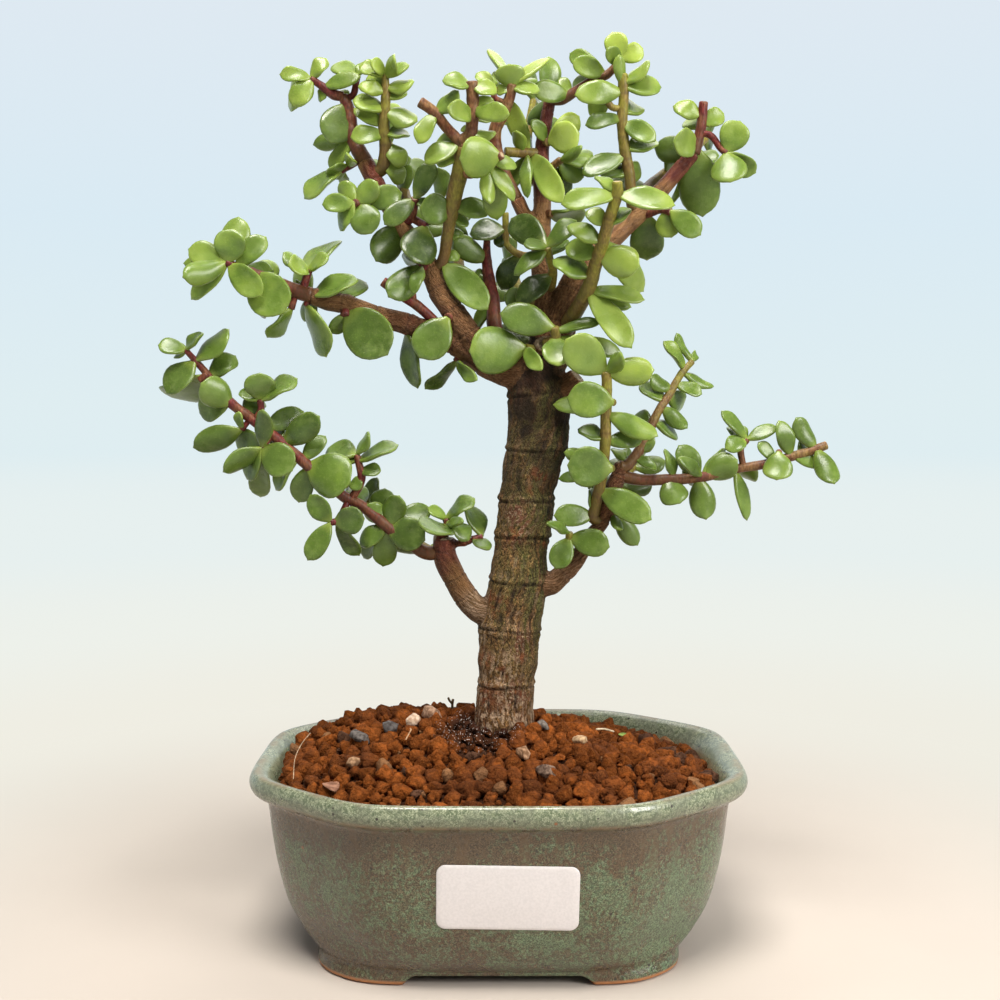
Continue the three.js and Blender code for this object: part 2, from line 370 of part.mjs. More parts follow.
    leaves: [
      [41.7, 263.5, 61, 260.8, -3, 35, 8.5], [41.2, 263.5, 22.7, 261.2, -2, 35, 8],
      [41.2, 264.5, 34.2, 270.8, 2, 45, 4.5], [35, 243, 49.2, 239.3, -4, 5, 10.7],
      [36.8, 248, 50.6, 231, 9, 20, 9], [31.3, 231.2, 50.6, 227.4, -1, 40, 7],
      [31.3, 231, 45.7, 224.8, 3, 30, 6], [31.3, 231, 46.3, 211.3, -2, 20, 9.5],
      [35, 243, 23.9, 245.6, 4, 20, 7.5], [32.5, 235.5, 19.9, 242.1, -1, 50, 0],
      [36.5, 247.5, 24.8, 253.5, -1, 35, 7], [38, 253.5, 31, 258, 4, 30, 6],
      [38, 253, 45.8, 259.3, 1, 50, 0]] },
  { name: 'centre_shoot', on: 'top', look: LEAF_MID, stems: [
    [[-18], [18.2, 232, 1.8], [19, 238, 1.6], [17.8, 242, 1.4], [17, 245.8]]],
    leaves: [
      [17, 245.8, 26.5, 255.3, -1, 30, 7.5], [16.8, 245.8, 9.1, 246.8, -2, 55, 0],
      [16.7, 245, 5.6, 237.2, -2, 40, 6.5], [17, 245.8, 5, 255.2, -1, 10, 10],
      [18.8, 236.5, 6.6, 227.2, -2, 30, 9], [17.5, 243, 22, 249, 8, 20, 8]] },
  { name: 'centre_back_twig', on: 'top', look: LEAF_DARK, stems: [
    [[-4], [8, 243, 1.4], [3, 246.5, 1.2], [2.6, 251], [2.4, 257.5]]],
    leaves: [
      [2.6, 250, -1, 246.7, 2, 40, 5], [2.5, 252, -9.6, 250.2, 1, 45, 0],
      [8.5, 245, 1.3, 231.5, 3, 20, 8.5]] },
  { name: 'centre_low_leaf', on: 'top', look: LEAF_MID, stems: [[[-2], [10.5, 226.5, 1.5]]],
    leaves: [[10.5, 226.8, 2.5, 229.5, -1, 10, 7.5]] },
  { name: 'centre_maroon_twig', on: 'upper_left', look: LEAF_MID, stems: [
    [[9], [-1, 213, 2.7], [-1.6, 220, 2.7], [-2, 228, 2.3], [-3.6, 236, 2.1], [-4.2, 243, 1.6],
      [-4, 249, 1.1]]],
    leaves: [
      [-3, 241, -15.4, 248.3, -3, 15, 8.3], [-1.8, 235.5, -8, 237, 1, 40, 0],
      [0.2, 228.8, -5, 229, 1, 40, 0], [-1, 228, -8, 216.5, 4, 45, 5]] },
  { name: 'trunk_top_shoot', on: 'cut_top', look: LEAF_LIGHT, stems: [
    [[-3], [20, 214, 1.8], [19.6, 217.8, 1.6]]],
    leaves: [
      [19.6, 217.8, 1.5, 222.8, -3, 10, 10.7], [24, 213, 43, 209.7, 1, 35, 7],
      [21, 216.5, 35.5, 219.5, 3, 40, 5], [20, 214.5, 21, 204.5, -2, 5, 10]] },
  { name: 'trunk_top_leaf', on: 'cut_top', look: LEAF_LIGHT, stems: [[[-4], [9.5, 210.5, 1.6]]],
    leaves: [[9, 212.5, -9.8, 209.5, -3, 5, 16], [9.5, 210.5, 14.5, 203.5, -3, 20, 5.5]] },
  { name: 'right_green_shoot', on: 'right', look: LEAF_LIGHT, stems: [
    [[-9, -10], [33.8, 150.5, 2.1], [34.4, 154, 2], [36, 161.8], [37.8, 176, 1.9], [38, 186.2],
      [38.3, 197.7, 1.8], [38, 202, 1.7]],
    [[-3], [40.8, 191.5, 1.2]],
    [[-4], [40.5, 168, 1.2]]],
    leaves: [
      [38, 202, 24.4, 213.1, -3, 5, 13], [38.2, 202.2, 54.3, 202.8, -1, 5, 9.7],
      [38.2, 202, 44, 208.3, 3, 20, 6], [40.8, 191.5, 25, 193, -2, 5, 12],
      [38, 190, 20, 191, 1, 15, 6.5], [38.2, 187.7, 55.7, 179.5, -3, 25, 8],
      [38, 177.5, 51, 179.2, 1, 10, 6.5], [37.8, 178.5, 28.4, 181.7, 2, 55, 0],
      [40.5, 168, 25, 169.2, -3, 0, 13.5], [36.8, 171, 23.7, 173.5, 2, 15, 5.5],
      [36, 166, 21.8, 164.5, 3, 30, 4.5], [36, 160.5, 53.8, 150.2, -4, 10, 10],
      [34.6, 151, 20.3, 151.3, -3, 15, 8], [34.4, 152, 32.8, 160.8, 2, 60, 0]] },
  { name: 'right_limb_leaves', on: 'right', look: LEAF_MID, stems: [[[1], [42, 151.5, 1.5]]],
    leaves: [
      [41, 153, 46, 149, 3, 10, 6], [42, 150.5, 49.4, 141, 1, 10, 7], [40, 150, 43.5, 146, 2, 30, 4]] },
  { name: 'right_low_twig', on: 'right', look: LEAF_LIGHT, stems: [
    [[-5], [25.5, 137, 1.5], [25.2, 145, 1.3]]],
    leaves: [
      [25.4, 143.5, 38.9, 140.3, -4, 5, 9.5], [25, 143.5, 20.5, 132.5, -3, 5, 8],
      [25.2, 145, 18.6, 148.7, 1, 40, 4]] },
  { name: 'right_long_shoot', on: 'right', look: LEAF_LIGHT, stems: [
    [[1, 0], [48.7, 164.3, 2.1], [53, 164, 2], [66.5, 164.4, 1.8], [77.8, 166, 1.7], [84.7, 168, 1.6],
      [93.5, 169.4], [102.4, 171.9], [109.4, 173.8], [116.3, 176.3, 1.5]],
    [[1], [86, 175, 1.2], [88, 178.2]],
    [[-3], [99.5, 174, 1.1]]],
    leaves: [
      [62.4, 165, 60, 175, 2, 45, 5], [59.5, 165, 64.5, 156, -5, 15, 10],
      [71.4, 166, 64.5, 175.8, -1, 10, 8], [72.5, 165, 65.2, 171.5, -3, 35, 5],
      [73, 166.5, 84.5, 171, -3, 5, 9.5], [72, 166, 81, 174.7, 3, 30, 5],
      [71.4, 164, 73.8, 150.4, -1, 5, 9], [84.3, 166.5, 88.6, 150.2, 0, 50, 6.5],
      [88, 178.2, 79.4, 188.2, 0, 50, 6], [87.5, 178, 82.2, 182.7, 1, 50, 0],
      [89, 177.5, 81, 175.5, -4, 20, 6.5], [88.5, 178.5, 98.4, 182.8, 0, 30, 5.5],
      [104, 172, 100, 184.4, -1, 20, 6.5], [98, 171, 92.5, 177.3, 2, 30, 5],
      [99.5, 174, 99, 164, -4, 5, 10], [104.5, 172, 114.6, 169, -1, 30, 5],
      [112.3, 175.5, 105.2, 185.6, 0, 30, 7], [113, 175, 119.3, 162.5, -1, 15, 7.5],
      [66, 164.4, 70, 168, 9, 20, 9], [91, 169, 86, 165, 9, 20, 9], [107, 173, 110, 177, 9, 20, 8]] },
  { name: 'right_rising_shoot', on: 'right', look: LEAF_LIGHT, stems: [
    [[4, 10], [45.5, 169, 2], [50, 174.5, 1.8], [53.5, 182, 1.7], [57, 189, 1.5], [60.8, 195, 1.4],
      [64.5, 201.5, 1.3], [68.3, 205.8, 1.1]]],
    leaves: [
      [61, 196, 53.5, 199.9, -1, 40, 0], [58.5, 192, 50.3, 197.9, -1, 50, 0],
      [58.5, 189.5, 66.4, 182.4, -1, 20, 6], [55.5, 184.5, 63.4, 179, 1, 65, 0],
      [62.5, 198, 71.6, 194.4, -1, 30, 5.5], [65, 201.8, 75.2, 196.6, 0, 60, 5.5],
      [65.5, 203, 59, 213, -1, 55, 5.5], [68.3, 206, 62.3, 215, 1, 60, 4.5],
      [68, 206, 70, 209.5, 1, 30, 3], [49.5, 174, 55.5, 178.3, -1, 30, 4],
      [48, 172, 56, 168, -2, 30, 4], [45.5, 170, 40.5, 176, 0, 30, 4],
      [54, 183, 48, 186, 9, 20, 8], [60, 194, 66, 190, 9, 20, 8]] },
];

// Shoots on the far side. They carry opposite pairs of leaves, each pair turned a right angle to the
// last: pairs is how many, size the length of a leaf.
const BACK_SHOOTS = [
  { name: 'back_shoot_left_low', on: 'left', look: LEAF_MID, pairs: 4, size: 13, stems: [
    [[14, 34], [-60, 228.5, 2], [-70, 230, 1.7], [-82, 229, 1.3]]] },
  { name: 'back_shoot_left_high', on: 'upper_left', look: LEAF_MID, pairs: 4, size: 13, stems: [
    [[20, 44], [-32, 259, 2.2], [-34, 268, 1.9], [-38, 281, 1.4]]] },
  { name: 'back_shoot_left_inner', on: 'upper_left', look: LEAF_DARK, pairs: 4, size: 13, stems: [
    [[18, 38], [-14, 236, 2.1], [-16, 248, 1.8], [-20, 262, 1.4]]] },
  { name: 'back_shoot_centre_low', on: 'trunk', look: LEAF_DARK, pairs: 4, size: 14, stems: [
    [[22, 46], [13, 214, 2.3], [9, 226, 2], [4, 240, 1.5]]] },
  { name: 'back_shoot_centre_high', on: 'top', look: LEAF_MID, pairs: 4, size: 13, stems: [
    [[16, 30], [12, 270, 2.2], [10, 282, 1.8], [12, 296, 1.3]]] },
  { name: 'back_shoot_right_high', on: 'upper_right', look: LEAF_MID, pairs: 4, size: 13, stems: [
    [[18, 40], [52, 266, 2.2], [62, 274, 1.9], [72, 283, 1.4]]] },
  { name: 'back_shoot_right_low', on: 'right', look: LEAF_DARK, pairs: 4, size: 13, stems: [
    [[24, 44], [39, 156, 2.1], [43, 162, 1.8], [50, 172, 1.4]]] },
  { name: 'back_shoot_stub', on: 'stub', look: LEAF_DARK, pairs: 4, size: 13, stems: [
    [[38, 46, 40], [-26, 139.4, 1.9], [-41, 152, 1.8], [-56, 164, 1.4]]] },
];

// ---------------------------------------------------------------- solids
function solidOf(geometry) {
  const bare = geometry.clone();
  bare.deleteAttribute('normal');
  bare.deleteAttribute('uv');
  const merged = mergeVertices(bare, 1e-4);
  const corners = merged.index.array;
  const kept = [];
  for (let i = 0; i < corners.length; i += 3) {
    const [a, b, c] = [corners[i], corners[i + 1], corners[i + 2]];
    if (a !== b && b !== c && c !== a) kept.push(a, b, c);
  }
  return new wasm.Manifold(new wasm.Mesh({
    numProp: 3,
    vertProperties: new Float32Array(merged.attributes.position.array),
    triVerts: new Uint32Array(kept),
  }));
}

function geometryOf(solid) {
  const mesh = solid.getMesh();
  const geometry = new THREE.BufferGeometry();
  geometry.setAttribute('position', new THREE.BufferAttribute(new Float32Array(mesh.vertProperties), 3));
  geometry.setIndex(new THREE.BufferAttribute(new Uint32Array(mesh.triVerts), 1));
  const faceted = geometry.toNonIndexed();
  faceted.computeVertexNormals();
  return faceted;
}

function joined(solids) {
  return solids.reduce((sum, solid) => sum.add(solid));
}

// The biggest separate body of a solid, without the scraps a cut leaves.
function mainBody(solid) {
  const bodies = solid.decompose();
  return bodies.reduce((best, body) => (body.volume() > best.volume() ? body : best));
}

// Repeatable random numbers between 0 and 1.
function randomFrom(seed) {
  let state = seed;
  return () => {
    state = (state * 16807) % 2147483647;
    return state / 2147483647;
  };
}

// ---------------------------------------------------------------- laying out stems
function pushed(x, z, y) {
  const k = (y - EYE.y) / -EYE.y;
  return new THREE.Vector3(EYE.x + (x - EYE.x) * k, y, EYE.z + (z - EYE.z) * k);
}

// The reverse: the elevation's x and z, and the depth.
function flattened(point) {
  const k = (point.y - EYE.y) / -EYE.y;
  return [EYE.x + (point.x - EYE.x) / k, EYE.z + (point.z - EYE.z) / k, point.y];
}

// The place on a set of stems that lies nearest to x, z in the elevation.
function nearestOn(stems, x, z) {
  let best = { distance: Infinity };
  for (const stem of stems) {
    for (let i = 1; i < stem.flat.length; i += 1) {
      const [ax, az, ay] = stem.flat[i - 1];
      const [bx, bz, by] = stem.flat[i];
      const length2 = (bx - ax) ** 2 + (bz - az) ** 2;
      const along = length2 < 1e-9 ? 0 : ((x - ax) * (bx - ax) + (z - az) * (bz - az)) / length2;
      const t = Math.min(1, Math.max(0, along));
      const distance = Math.hypot(ax + t * (bx - ax) - x, az + t * (bz - az) - z);
      if (distance < best.distance - 1e-9) {
        const tangent = pushed(bx, bz, by).sub(pushed(ax, az, ay)).normalize();
        best = {
          distance, x: ax + t * (bx - ax), z: az + t * (bz - az), y: ay + t * (by - ay), tangent,
        };
      }
    }
  }
  return best;
}

// A stem's axis: points with depths spread along its length, and a radius at each.
function layStem(lean, line, start) {
  const flat = [];
  const radii = [];
  let radius = line[0][2];
  if (start && Math.hypot(line[0][0] - start.x, line[0][1] - start.z) > SAME_PLACE) {
    flat.push([start.x, start.z]);
    radii.push(radius);
  }
  for (const [x, z, r] of line) {
    radius = r ?? radius;
    flat.push([x, z]);
    radii.push(radius);
  }
  const lengths = [0];
  for (let i = 1; i < flat.length; i += 1) {
    const step = Math.hypot(flat[i][0] - flat[i - 1][0], flat[i][1] - flat[i - 1][1]);
    lengths.push(lengths[i - 1] + step);
  }
  const total = Math.max(lengths[lengths.length - 1], 1e-6);
  const marks = [0, ...lean];
  const base = start ? start.y : 0;
  flat.forEach((point, i) => {
    const place = (lengths[i] / total) * lean.length;
    const k = Math.min(Math.floor(place), lean.length - 1);
    point.push(base + marks[k] + (marks[k + 1] - marks[k]) * (place - k));
  });
  return { flat, radii, points: flat.map(([x, z, y]) => pushed(x, z, y)) };
}

// A round bar along the points, with flat ends and a radius at each point.
function bar(points, radii, sides) {
  const geometry = new THREE.CylinderGeometry(1, 1, 1, sides, points.length - 1);
  const position = geometry.attributes.position;
  const frames = [];
  let across = new THREE.Vector3(0, 1, 0);
  points.forEach((point, i) => {
    const before = points[Math.max(i - 1, 0)];
    const after = points[Math.min(i + 1, points.length - 1)];
    const tangent = after.clone().sub(before).normalize();
    across = across.clone().addScaledVector(tangent, -across.dot(tangent)).normalize();
    frames.push({ point, across, other: tangent.clone().cross(across) });
  });
  const swell = Math.sqrt(1 / Math.cos(Math.PI / sides));
  for (let i = 0; i < position.count; i += 1) {
    const ring = Math.round((position.getY(i) + 0.5) * (points.length - 1));
    const { point, across: u, other: v } = frames[ring];
    const r = radii[ring] * swell;
    const place = point.clone();
    place.addScaledVector(u, position.getX(i) * r);
    place.addScaledVector(v, -position.getZ(i) * r);
    position.setXYZ(i, place.x, place.y, place.z);
  }
  return solidOf(geometry);
}

// ---------------------------------------------------------------- leaves
// Half-width of a leaf blade, as a share of its width, at steps along its length.
const BLADE = [[0, 0], [0.34, 0.38], [0.76, 0.5], [1, 0]];

function bladeHalfWidth(u) {
  for (let i = 1; i < BLADE.length; i += 1) {
    const [u0, h0] = BLADE[i - 1];
    const [u1, h1] = BLADE[i];
    if (u <= u1) return h0 + ((h1 - h0) * (u - u0)) / (u1 - u0);
  }
  return 0;
}

// Base, axis, side and upper face of one leaf. It faces the viewing point, then turns by f degrees
// about its own length towards the tip of the stem it sits on.
function layLeaf([bx, bz, tx, tz, dy, turn, width], shift, stems) {
  const seat = nearestOn(stems, bx, bz);
  const base = pushed(seat.x, seat.z, seat.y);
  const tip = pushed(tx, tz, seat.y + dy + shift);
  const axis = tip.clone().sub(base);
  const visible = tip.clone().sub(pushed(bx, bz, seat.y)).length();
  const length = axis.length();
  axis.normalize();
  const view = new THREE.Vector3(EYE.x, EYE.y, EYE.z).sub(base).normalize();
  view.addScaledVector(axis, -view.dot(axis)).normalize();
  const side = view.clone().cross(axis).normalize();
  if (side.dot(seat.tangent) < 0) side.negate();
  const angle = THREE.MathUtils.degToRad(turn);
  const normal = view.multiplyScalar(Math.cos(angle)).addScaledVector(side, Math.sin(angle));
  if (normal.dot(seat.tangent) < 0) normal.negate();
  const across = normal.clone().cross(axis).normalize();
  const w = width || LEAF_ASPECT * visible;
  return { base, axis, across, normal, length, width: w };
}

function leafPoint(leaf, u, v, n) {
  const point = leaf.base.clone().addScaledVector(leaf.axis, u * leaf.length);
  point.addScaledVector(leaf.across, v * leaf.width);
  return point.addScaledVector(leaf.normal, n);
}

// The blade: an outline of six points, domed on both faces, with its heel inside the stem.
function leafSolid(leaf) {
  const belly = LEAF_THICKNESS / 2;
  const cup = LEAF_CUP * leaf.width;
  const steps = BLADE.slice(1, -1);
  const rim = [leafPoint(leaf, -LEAF_ROOT / leaf.length, 0, 0)];
  for (const [u, h] of steps) rim.push(leafPoint(leaf, u, h, cup));
  rim.push(leafPoint(leaf, 1, 0, cup));
  for (const [u, h] of steps.reverse()) rim.push(leafPoint(leaf, u, -h, cup));
  const upper = leafPoint(leaf, LEAF_BELLY_PLACE, 0, belly);
  const lower = leafPoint(leaf, LEAF_BELLY_PLACE, 0, -belly);
  const [top, bottom] = [rim.length, rim.length + 1];
  const faces = [];
  for (let i = 0; i < rim.length; i += 1) {
    const next = (i + 1) % rim.length;
    faces.push(next, i, top, i, next, bottom);
  }
  const geometry = new THREE.BufferGeometry().setFromPoints([...rim, upper, lower]);
  geometry.setIndex(faces);
  return solidOf(geometry);
}

// Points of a blade, as shares of its length and half-width, that are tried against its neighbours.
const PROBES = [
  [0.3, 0], [0.45, -0.8], [0.45, 0.8], [0.5, 0], [0.65, -0.95], [0.65, 0.95], [0.65, -0.45],
  [0.65, 0.45], [0.75, 0], [0.85, -0.9], [0.85, 0.9], [0.9, 0], [0.95, -0.4], [0.95, 0.4], [1, 0],
];

function probesOf(leaf) {
  return PROBES.map(([u, v]) => leafPoint(leaf, u, v * bladeHalfWidth(u), 0));
}

function strikesBlade(points, leaf) {
  return points.some((point) => {
    const offset = point.clone().sub(leaf.base);
    const u = offset.dot(leaf.axis) / leaf.length;
    const limit = bladeHalfWidth(Math.min(1, Math.max(0, u))) * leaf.width + CLEAR_EDGE;
    return u > -0.03 && u < 1 + CLEAR_EDGE / leaf.length
      && Math.abs(offset.dot(leaf.across)) < limit && Math.abs(offset.dot(leaf.normal)) < CLEAR_PLATE;
  });
}

function strikesStem(points, stem) {
  const line = new THREE.Line3();
  const near = new THREE.Vector3();
  for (let i = 1; i < stem.points.length; i += 1) {
    line.set(stem.points[i - 1], stem.points[i]);
    const limit = Math.max(stem.radii[i - 1], stem.radii[i]) + CLEAR_STEM;
    const struck = points.some((point) => {
      line.closestPointToPoint(point, true, near);
      return near.distanceTo(point) < limit;
    });
    if (struck) return true;
  }
  return false;
}

// Depth shifts of a leaf's tip, tried in this order until the blade is clear of its neighbours.
const SHIFTS = [0, -2, 2, -4, 4, -6, 6, -8, 8, -10, 10, -12, 12, -14, 14];

// ---------------------------------------------------------------- the tree
const limbs = {};
for (const limb of LIMBS) {
  const start = limb.on ? nearestOn([limbs[limb.on]], limb.line[0][0], limb.line[0][1]) : null;
  limbs[limb.name] = layStem(limb.lean, limb.line, start);
}

// Scar rings swell the trunk: every ring adds a crest between two hollows.
function ringed(trunk) {
  const flat = [];
  const radii = [];
  const heights = new Set(trunk.flat.map(([, z]) => z));
  for (const ring of TRUNK_RINGS) [-RING_WIDTH, 0, RING_WIDTH].forEach((step) => heights.add(ring + step));
  for (const z of [...heights].sort((a, b) => a - b)) {
    let i = 1;
    while (i < trunk.flat.length - 1 && trunk.flat[i][1] < z) i += 1;
    const [x0, z0] = trunk.flat[i - 1];
    const [x1, z1] = trunk.flat[i];
    const t = (z - z0) / (z1 - z0);
    flat.push([x0 + (x1 - x0) * t, z, 0]);
    const crest = TRUNK_RINGS.includes(z) ? RING_RELIEF : 0;
    radii.push(trunk.radii[i - 1] + (trunk.radii[i] - trunk.radii[i - 1]) * t + crest);
  }
  return { points: flat.map(([x, z, y]) => pushed(x, z, y)), radii };
}

// Trunk and limbs as bars; grown past their skin and ends they cut the room the shoots keep clear.
function woodOf(grown) {
  return Object.entries(limbs).map(([name, limb]) => {
    const shape = name === 'trunk' && !grown ? ringed(limb) : limb;
    const extra = (grown ? BARK_FIT : 0) + (name === 'trunk' && grown ? RING_RELIEF : 0);
    const points = shape.points.map((point) => point.clone());
    if (grown) {
      const last = points.length - 1;
      const end = points[last].clone().sub(points[last - 1]).normalize();
      points[last].addScaledVector(end, grown);
    }
    const sides = name === 'trunk' ? TRUNK_SIDES : LIMB_SIDES;
    return bar(points, shape.radii.map((r) => r + extra), sides);
  });
}

const wood = mainBody(joined(woodOf(0)).simplify(SMALLEST_DETAIL));
const woodClearance = joined(woodOf(FIT));

const shoots = [...SHOOTS, ...BACK_SHOOTS].map((shoot) => {
  const stems = [];
  shoot.stems.forEach(([lean, ...line], i) => {
    const parents = i === 0 ? [limbs[shoot.on]] : stems;
    const [x, z] = line[0];
    stems.push(layStem(lean, line, nearestOn(parents, x, z)));
  });
  return { ...shoot, stems, blades: [] };
});

// Leaf pairs of a far shoot, written as rows like the others.
function growPairs(shoot, random) {
  const rows = [];
  const [stem] = shoot.stems;
  const last = stem.points.length - 1;
  for (let i = 0; i < shoot.pairs; i += 1) {
    const place = FIRST_PAIR + (last - FIRST_PAIR) * (i / (shoot.pairs - 1));
    const k = Math.min(Math.floor(place), last - 1);
    const base = stem.points[k].clone().lerp(stem.points[k + 1], place - k);
    const tangent = stem.points[k + 1].clone().sub(stem.points[k]).normalize();
    const right = new THREE.Vector3(1, 0, 0).addScaledVector(tangent, -tangent.x).normalize();
    right.applyAxisAngle(tangent, (i * Math.PI) / 2 + (random() - 0.5) * PAIR_WANDER);
    for (const way of [1, -1]) {
      const rise = i === shoot.pairs - 1 ? 1 : PAIR_RISE;
      const fullSize = shoot.size * (PAIR_LEAST_SIZE + PAIR_MORE_SIZE * random());
      const size = fullSize * (1 - (PAIR_TAPER * i) / shoot.pairs);
      const reach = right.clone().multiplyScalar(way).addScaledVector(tangent, rise).normalize();
      const tip = flattened(base.clone().addScaledVector(reach, size));
      const [x, z, y] = flattened(base);
      const turn = PAIR_TURN * (1 + random());
      rows.push([x, z, tip[0], tip[1], tip[2] - y, turn, size * PAIR_ASPECT]);
    }
  }
  return rows;
}

const random = randomFrom(PAIR_SEED);
const stemsOfAll = shoots.map((shoot) => shoot.stems);
const wooden = Object.values(limbs);

function clearOf(leaf, owner, strict) {
  const points = probesOf(leaf);
  const outer = points.slice(1);
  if (wooden.some((stem) => strikesStem(outer, stem))) return false;
  for (let i = 0; i < shoots.length; i += 1) {
    if (i !== owner && stemsOfAll[i].some((stem) => strikesStem(points, stem))) return false;
    if (i === owner && !strict) continue;
    for (const other of shoots[i].blades) {
      const reach = (leaf.length + other.length) * REACH_SLACK + WIDTH_SLACK;
      const apart = leaf.base.distanceTo(other.base);
      if (apart > reach) continue;
      const paired = i === owner && apart < SAME_SEAT;
      const mine = paired ? points.slice(3) : points;
      const theirs = paired ? other.probes.slice(3) : other.probes;
      if (strikesBlade(mine, other) || strikesBlade(theirs, leaf)) return false;
    }
  }
  return true;
}

// Scale leaves at the buds are too small to be solids of their own.
function largeEnough([bx, bz, tx, tz]) {
  return Math.hypot(tx - bx, tz - bz) > SMALLEST_LEAF;
}

shoots.forEach((shoot, owner) => {
  const rows = (shoot.leaves ?? growPairs(shoot, random)).filter(largeEnough);
  for (const row of rows) {
    const tries = SHIFTS.map((shift) => layLeaf(row, shift, shoot.stems));
    let leaf = tries.find((trial) => clearOf(trial, owner, true));
    leaf ??= tries.find((trial) => clearOf(trial, owner, false));
    if (!leaf && !shoot.leaves) continue;
    leaf ??= tries[0];
    leaf.probes = probesOf(leaf);
    shoot.blades.push(leaf);
  }
});

function shootSolid(shoot) {
  const stems = shoot.stems.map((stem) => bar(
    stem.points, stem.radii, stem.radii[0] > THICK_STEM ? THICK_STEM_SIDES : THIN_STEM_SIDES,
  ));
  const whole = joined([...stems, ...shoot.blades.map(leafSolid)]);
  return mainBody(whole.subtract(woodClearance).simplify(SMALLEST_DETAIL));
}

// ---------------------------------------------------------------- pot
// Share of the half-width at which the pot's plan lies in one direction. Square is 1 at the feet,
// whose plan has corners farther out than the wall's.
function planShare(angle, square = 0) {
  let sum = 0;
  for (const [direction, distance] of POT_SIDES) {
    const reach = direction % 90 ? distance + FOOT_CORNER * square : distance;
    const facing = Math.cos(angle - THREE.MathUtils.degToRad(direction));
    if (facing > 0) sum += (facing / reach) ** POT_PLAN_POWER;
  }
  return sum ** (-1 / POT_PLAN_POWER) / POT_HALF_WIDTH;
}

// A profile spun round the pot's plan.
function spun(profile, segments) {
  const geometry = new THREE.LatheGeometry(profile.map(([r, z]) => new THREE.Vector2(r, z)), segments);
  geometry.rotateX(Math.PI / 2);
  const position = geometry.attributes.position;
  for (let i = 0; i < position.count; i += 1) {
    const angle = Math.atan2(position.getY(i), position.getX(i));
    const square = 1 - THREE.MathUtils.smoothstep(position.getZ(i), 0, FOOT_BLEND);
    const share = planShare(angle, square);
    position.setX(i, position.getX(i) * share);
    position.setY(i, position.getY(i) * share);
  }
  return solidOf(geometry);
}

function block(width, depth, height, x, y, z) {
  return solidOf(new THREE.BoxGeometry(width, depth, height).translate(x, y, z));
}

function rod(radius, bottom, top, x, sides) {
  const geometry = new THREE.CylinderGeometry(radius, radius, top - bottom, sides);
  return solidOf(geometry.rotateX(Math.PI / 2).translate(x, 0, (top + bottom) / 2));
}

function potSolid() {
  let pot = spun(POT_PROFILE, POT_SEGMENTS);
  const high = FOOT_RECESS_HEIGHT;
  const across = 2 * POT_HALF_WIDTH;
  pot = pot.subtract(block(2 * FOOT_RECESS_HALF_LENGTH, across, 2 * high, 0, 0, 0));
  pot = pot.subtract(block(across, 2 * FOOT_SIDE_RECESS_HALF_LENGTH, 2 * high, 0, 0, 0));
  for (const side of [-1, 1]) {
    pot = pot.subtract(rod(DRAIN_RADIUS, 0, POT_FLOOR + FIT, side * DRAIN_OFFSET, DRAIN_SIDES));
  }
  return pot;
}

// ---------------------------------------------------------------- soil
function soilHeight(share) {
  return SOIL_EDGE_HEIGHT + SOIL_MOUND_HEIGHT * (1 - share ** SOIL_MOUND_POWER);
}

function heapHeight(x, y) {
  const away = Math.hypot(x - SOIL_HEAP.x, y - SOIL_HEAP.y) / SOIL_HEAP.spread;
  return SOIL_HEAP.height * Math.exp(-(away ** 2) / 2);
}

// Half-width of the inner wall at a height.
function innerHalfWidth(z) {
  for (let i = 1; i < INNER_WALL.length; i += 1) {
    const [r0, z0] = INNER_WALL[i - 1];
    const [r1, z1] = INNER_WALL[i];
    if (z <= z1) return r0 + ((r1 - r0) * (z - z0)) / (z1 - z0);
  }
  return INNER_WALL[INNER_WALL.length - 1][0];
}

const TRUNK_X = LIMBS[0].line[0][0];

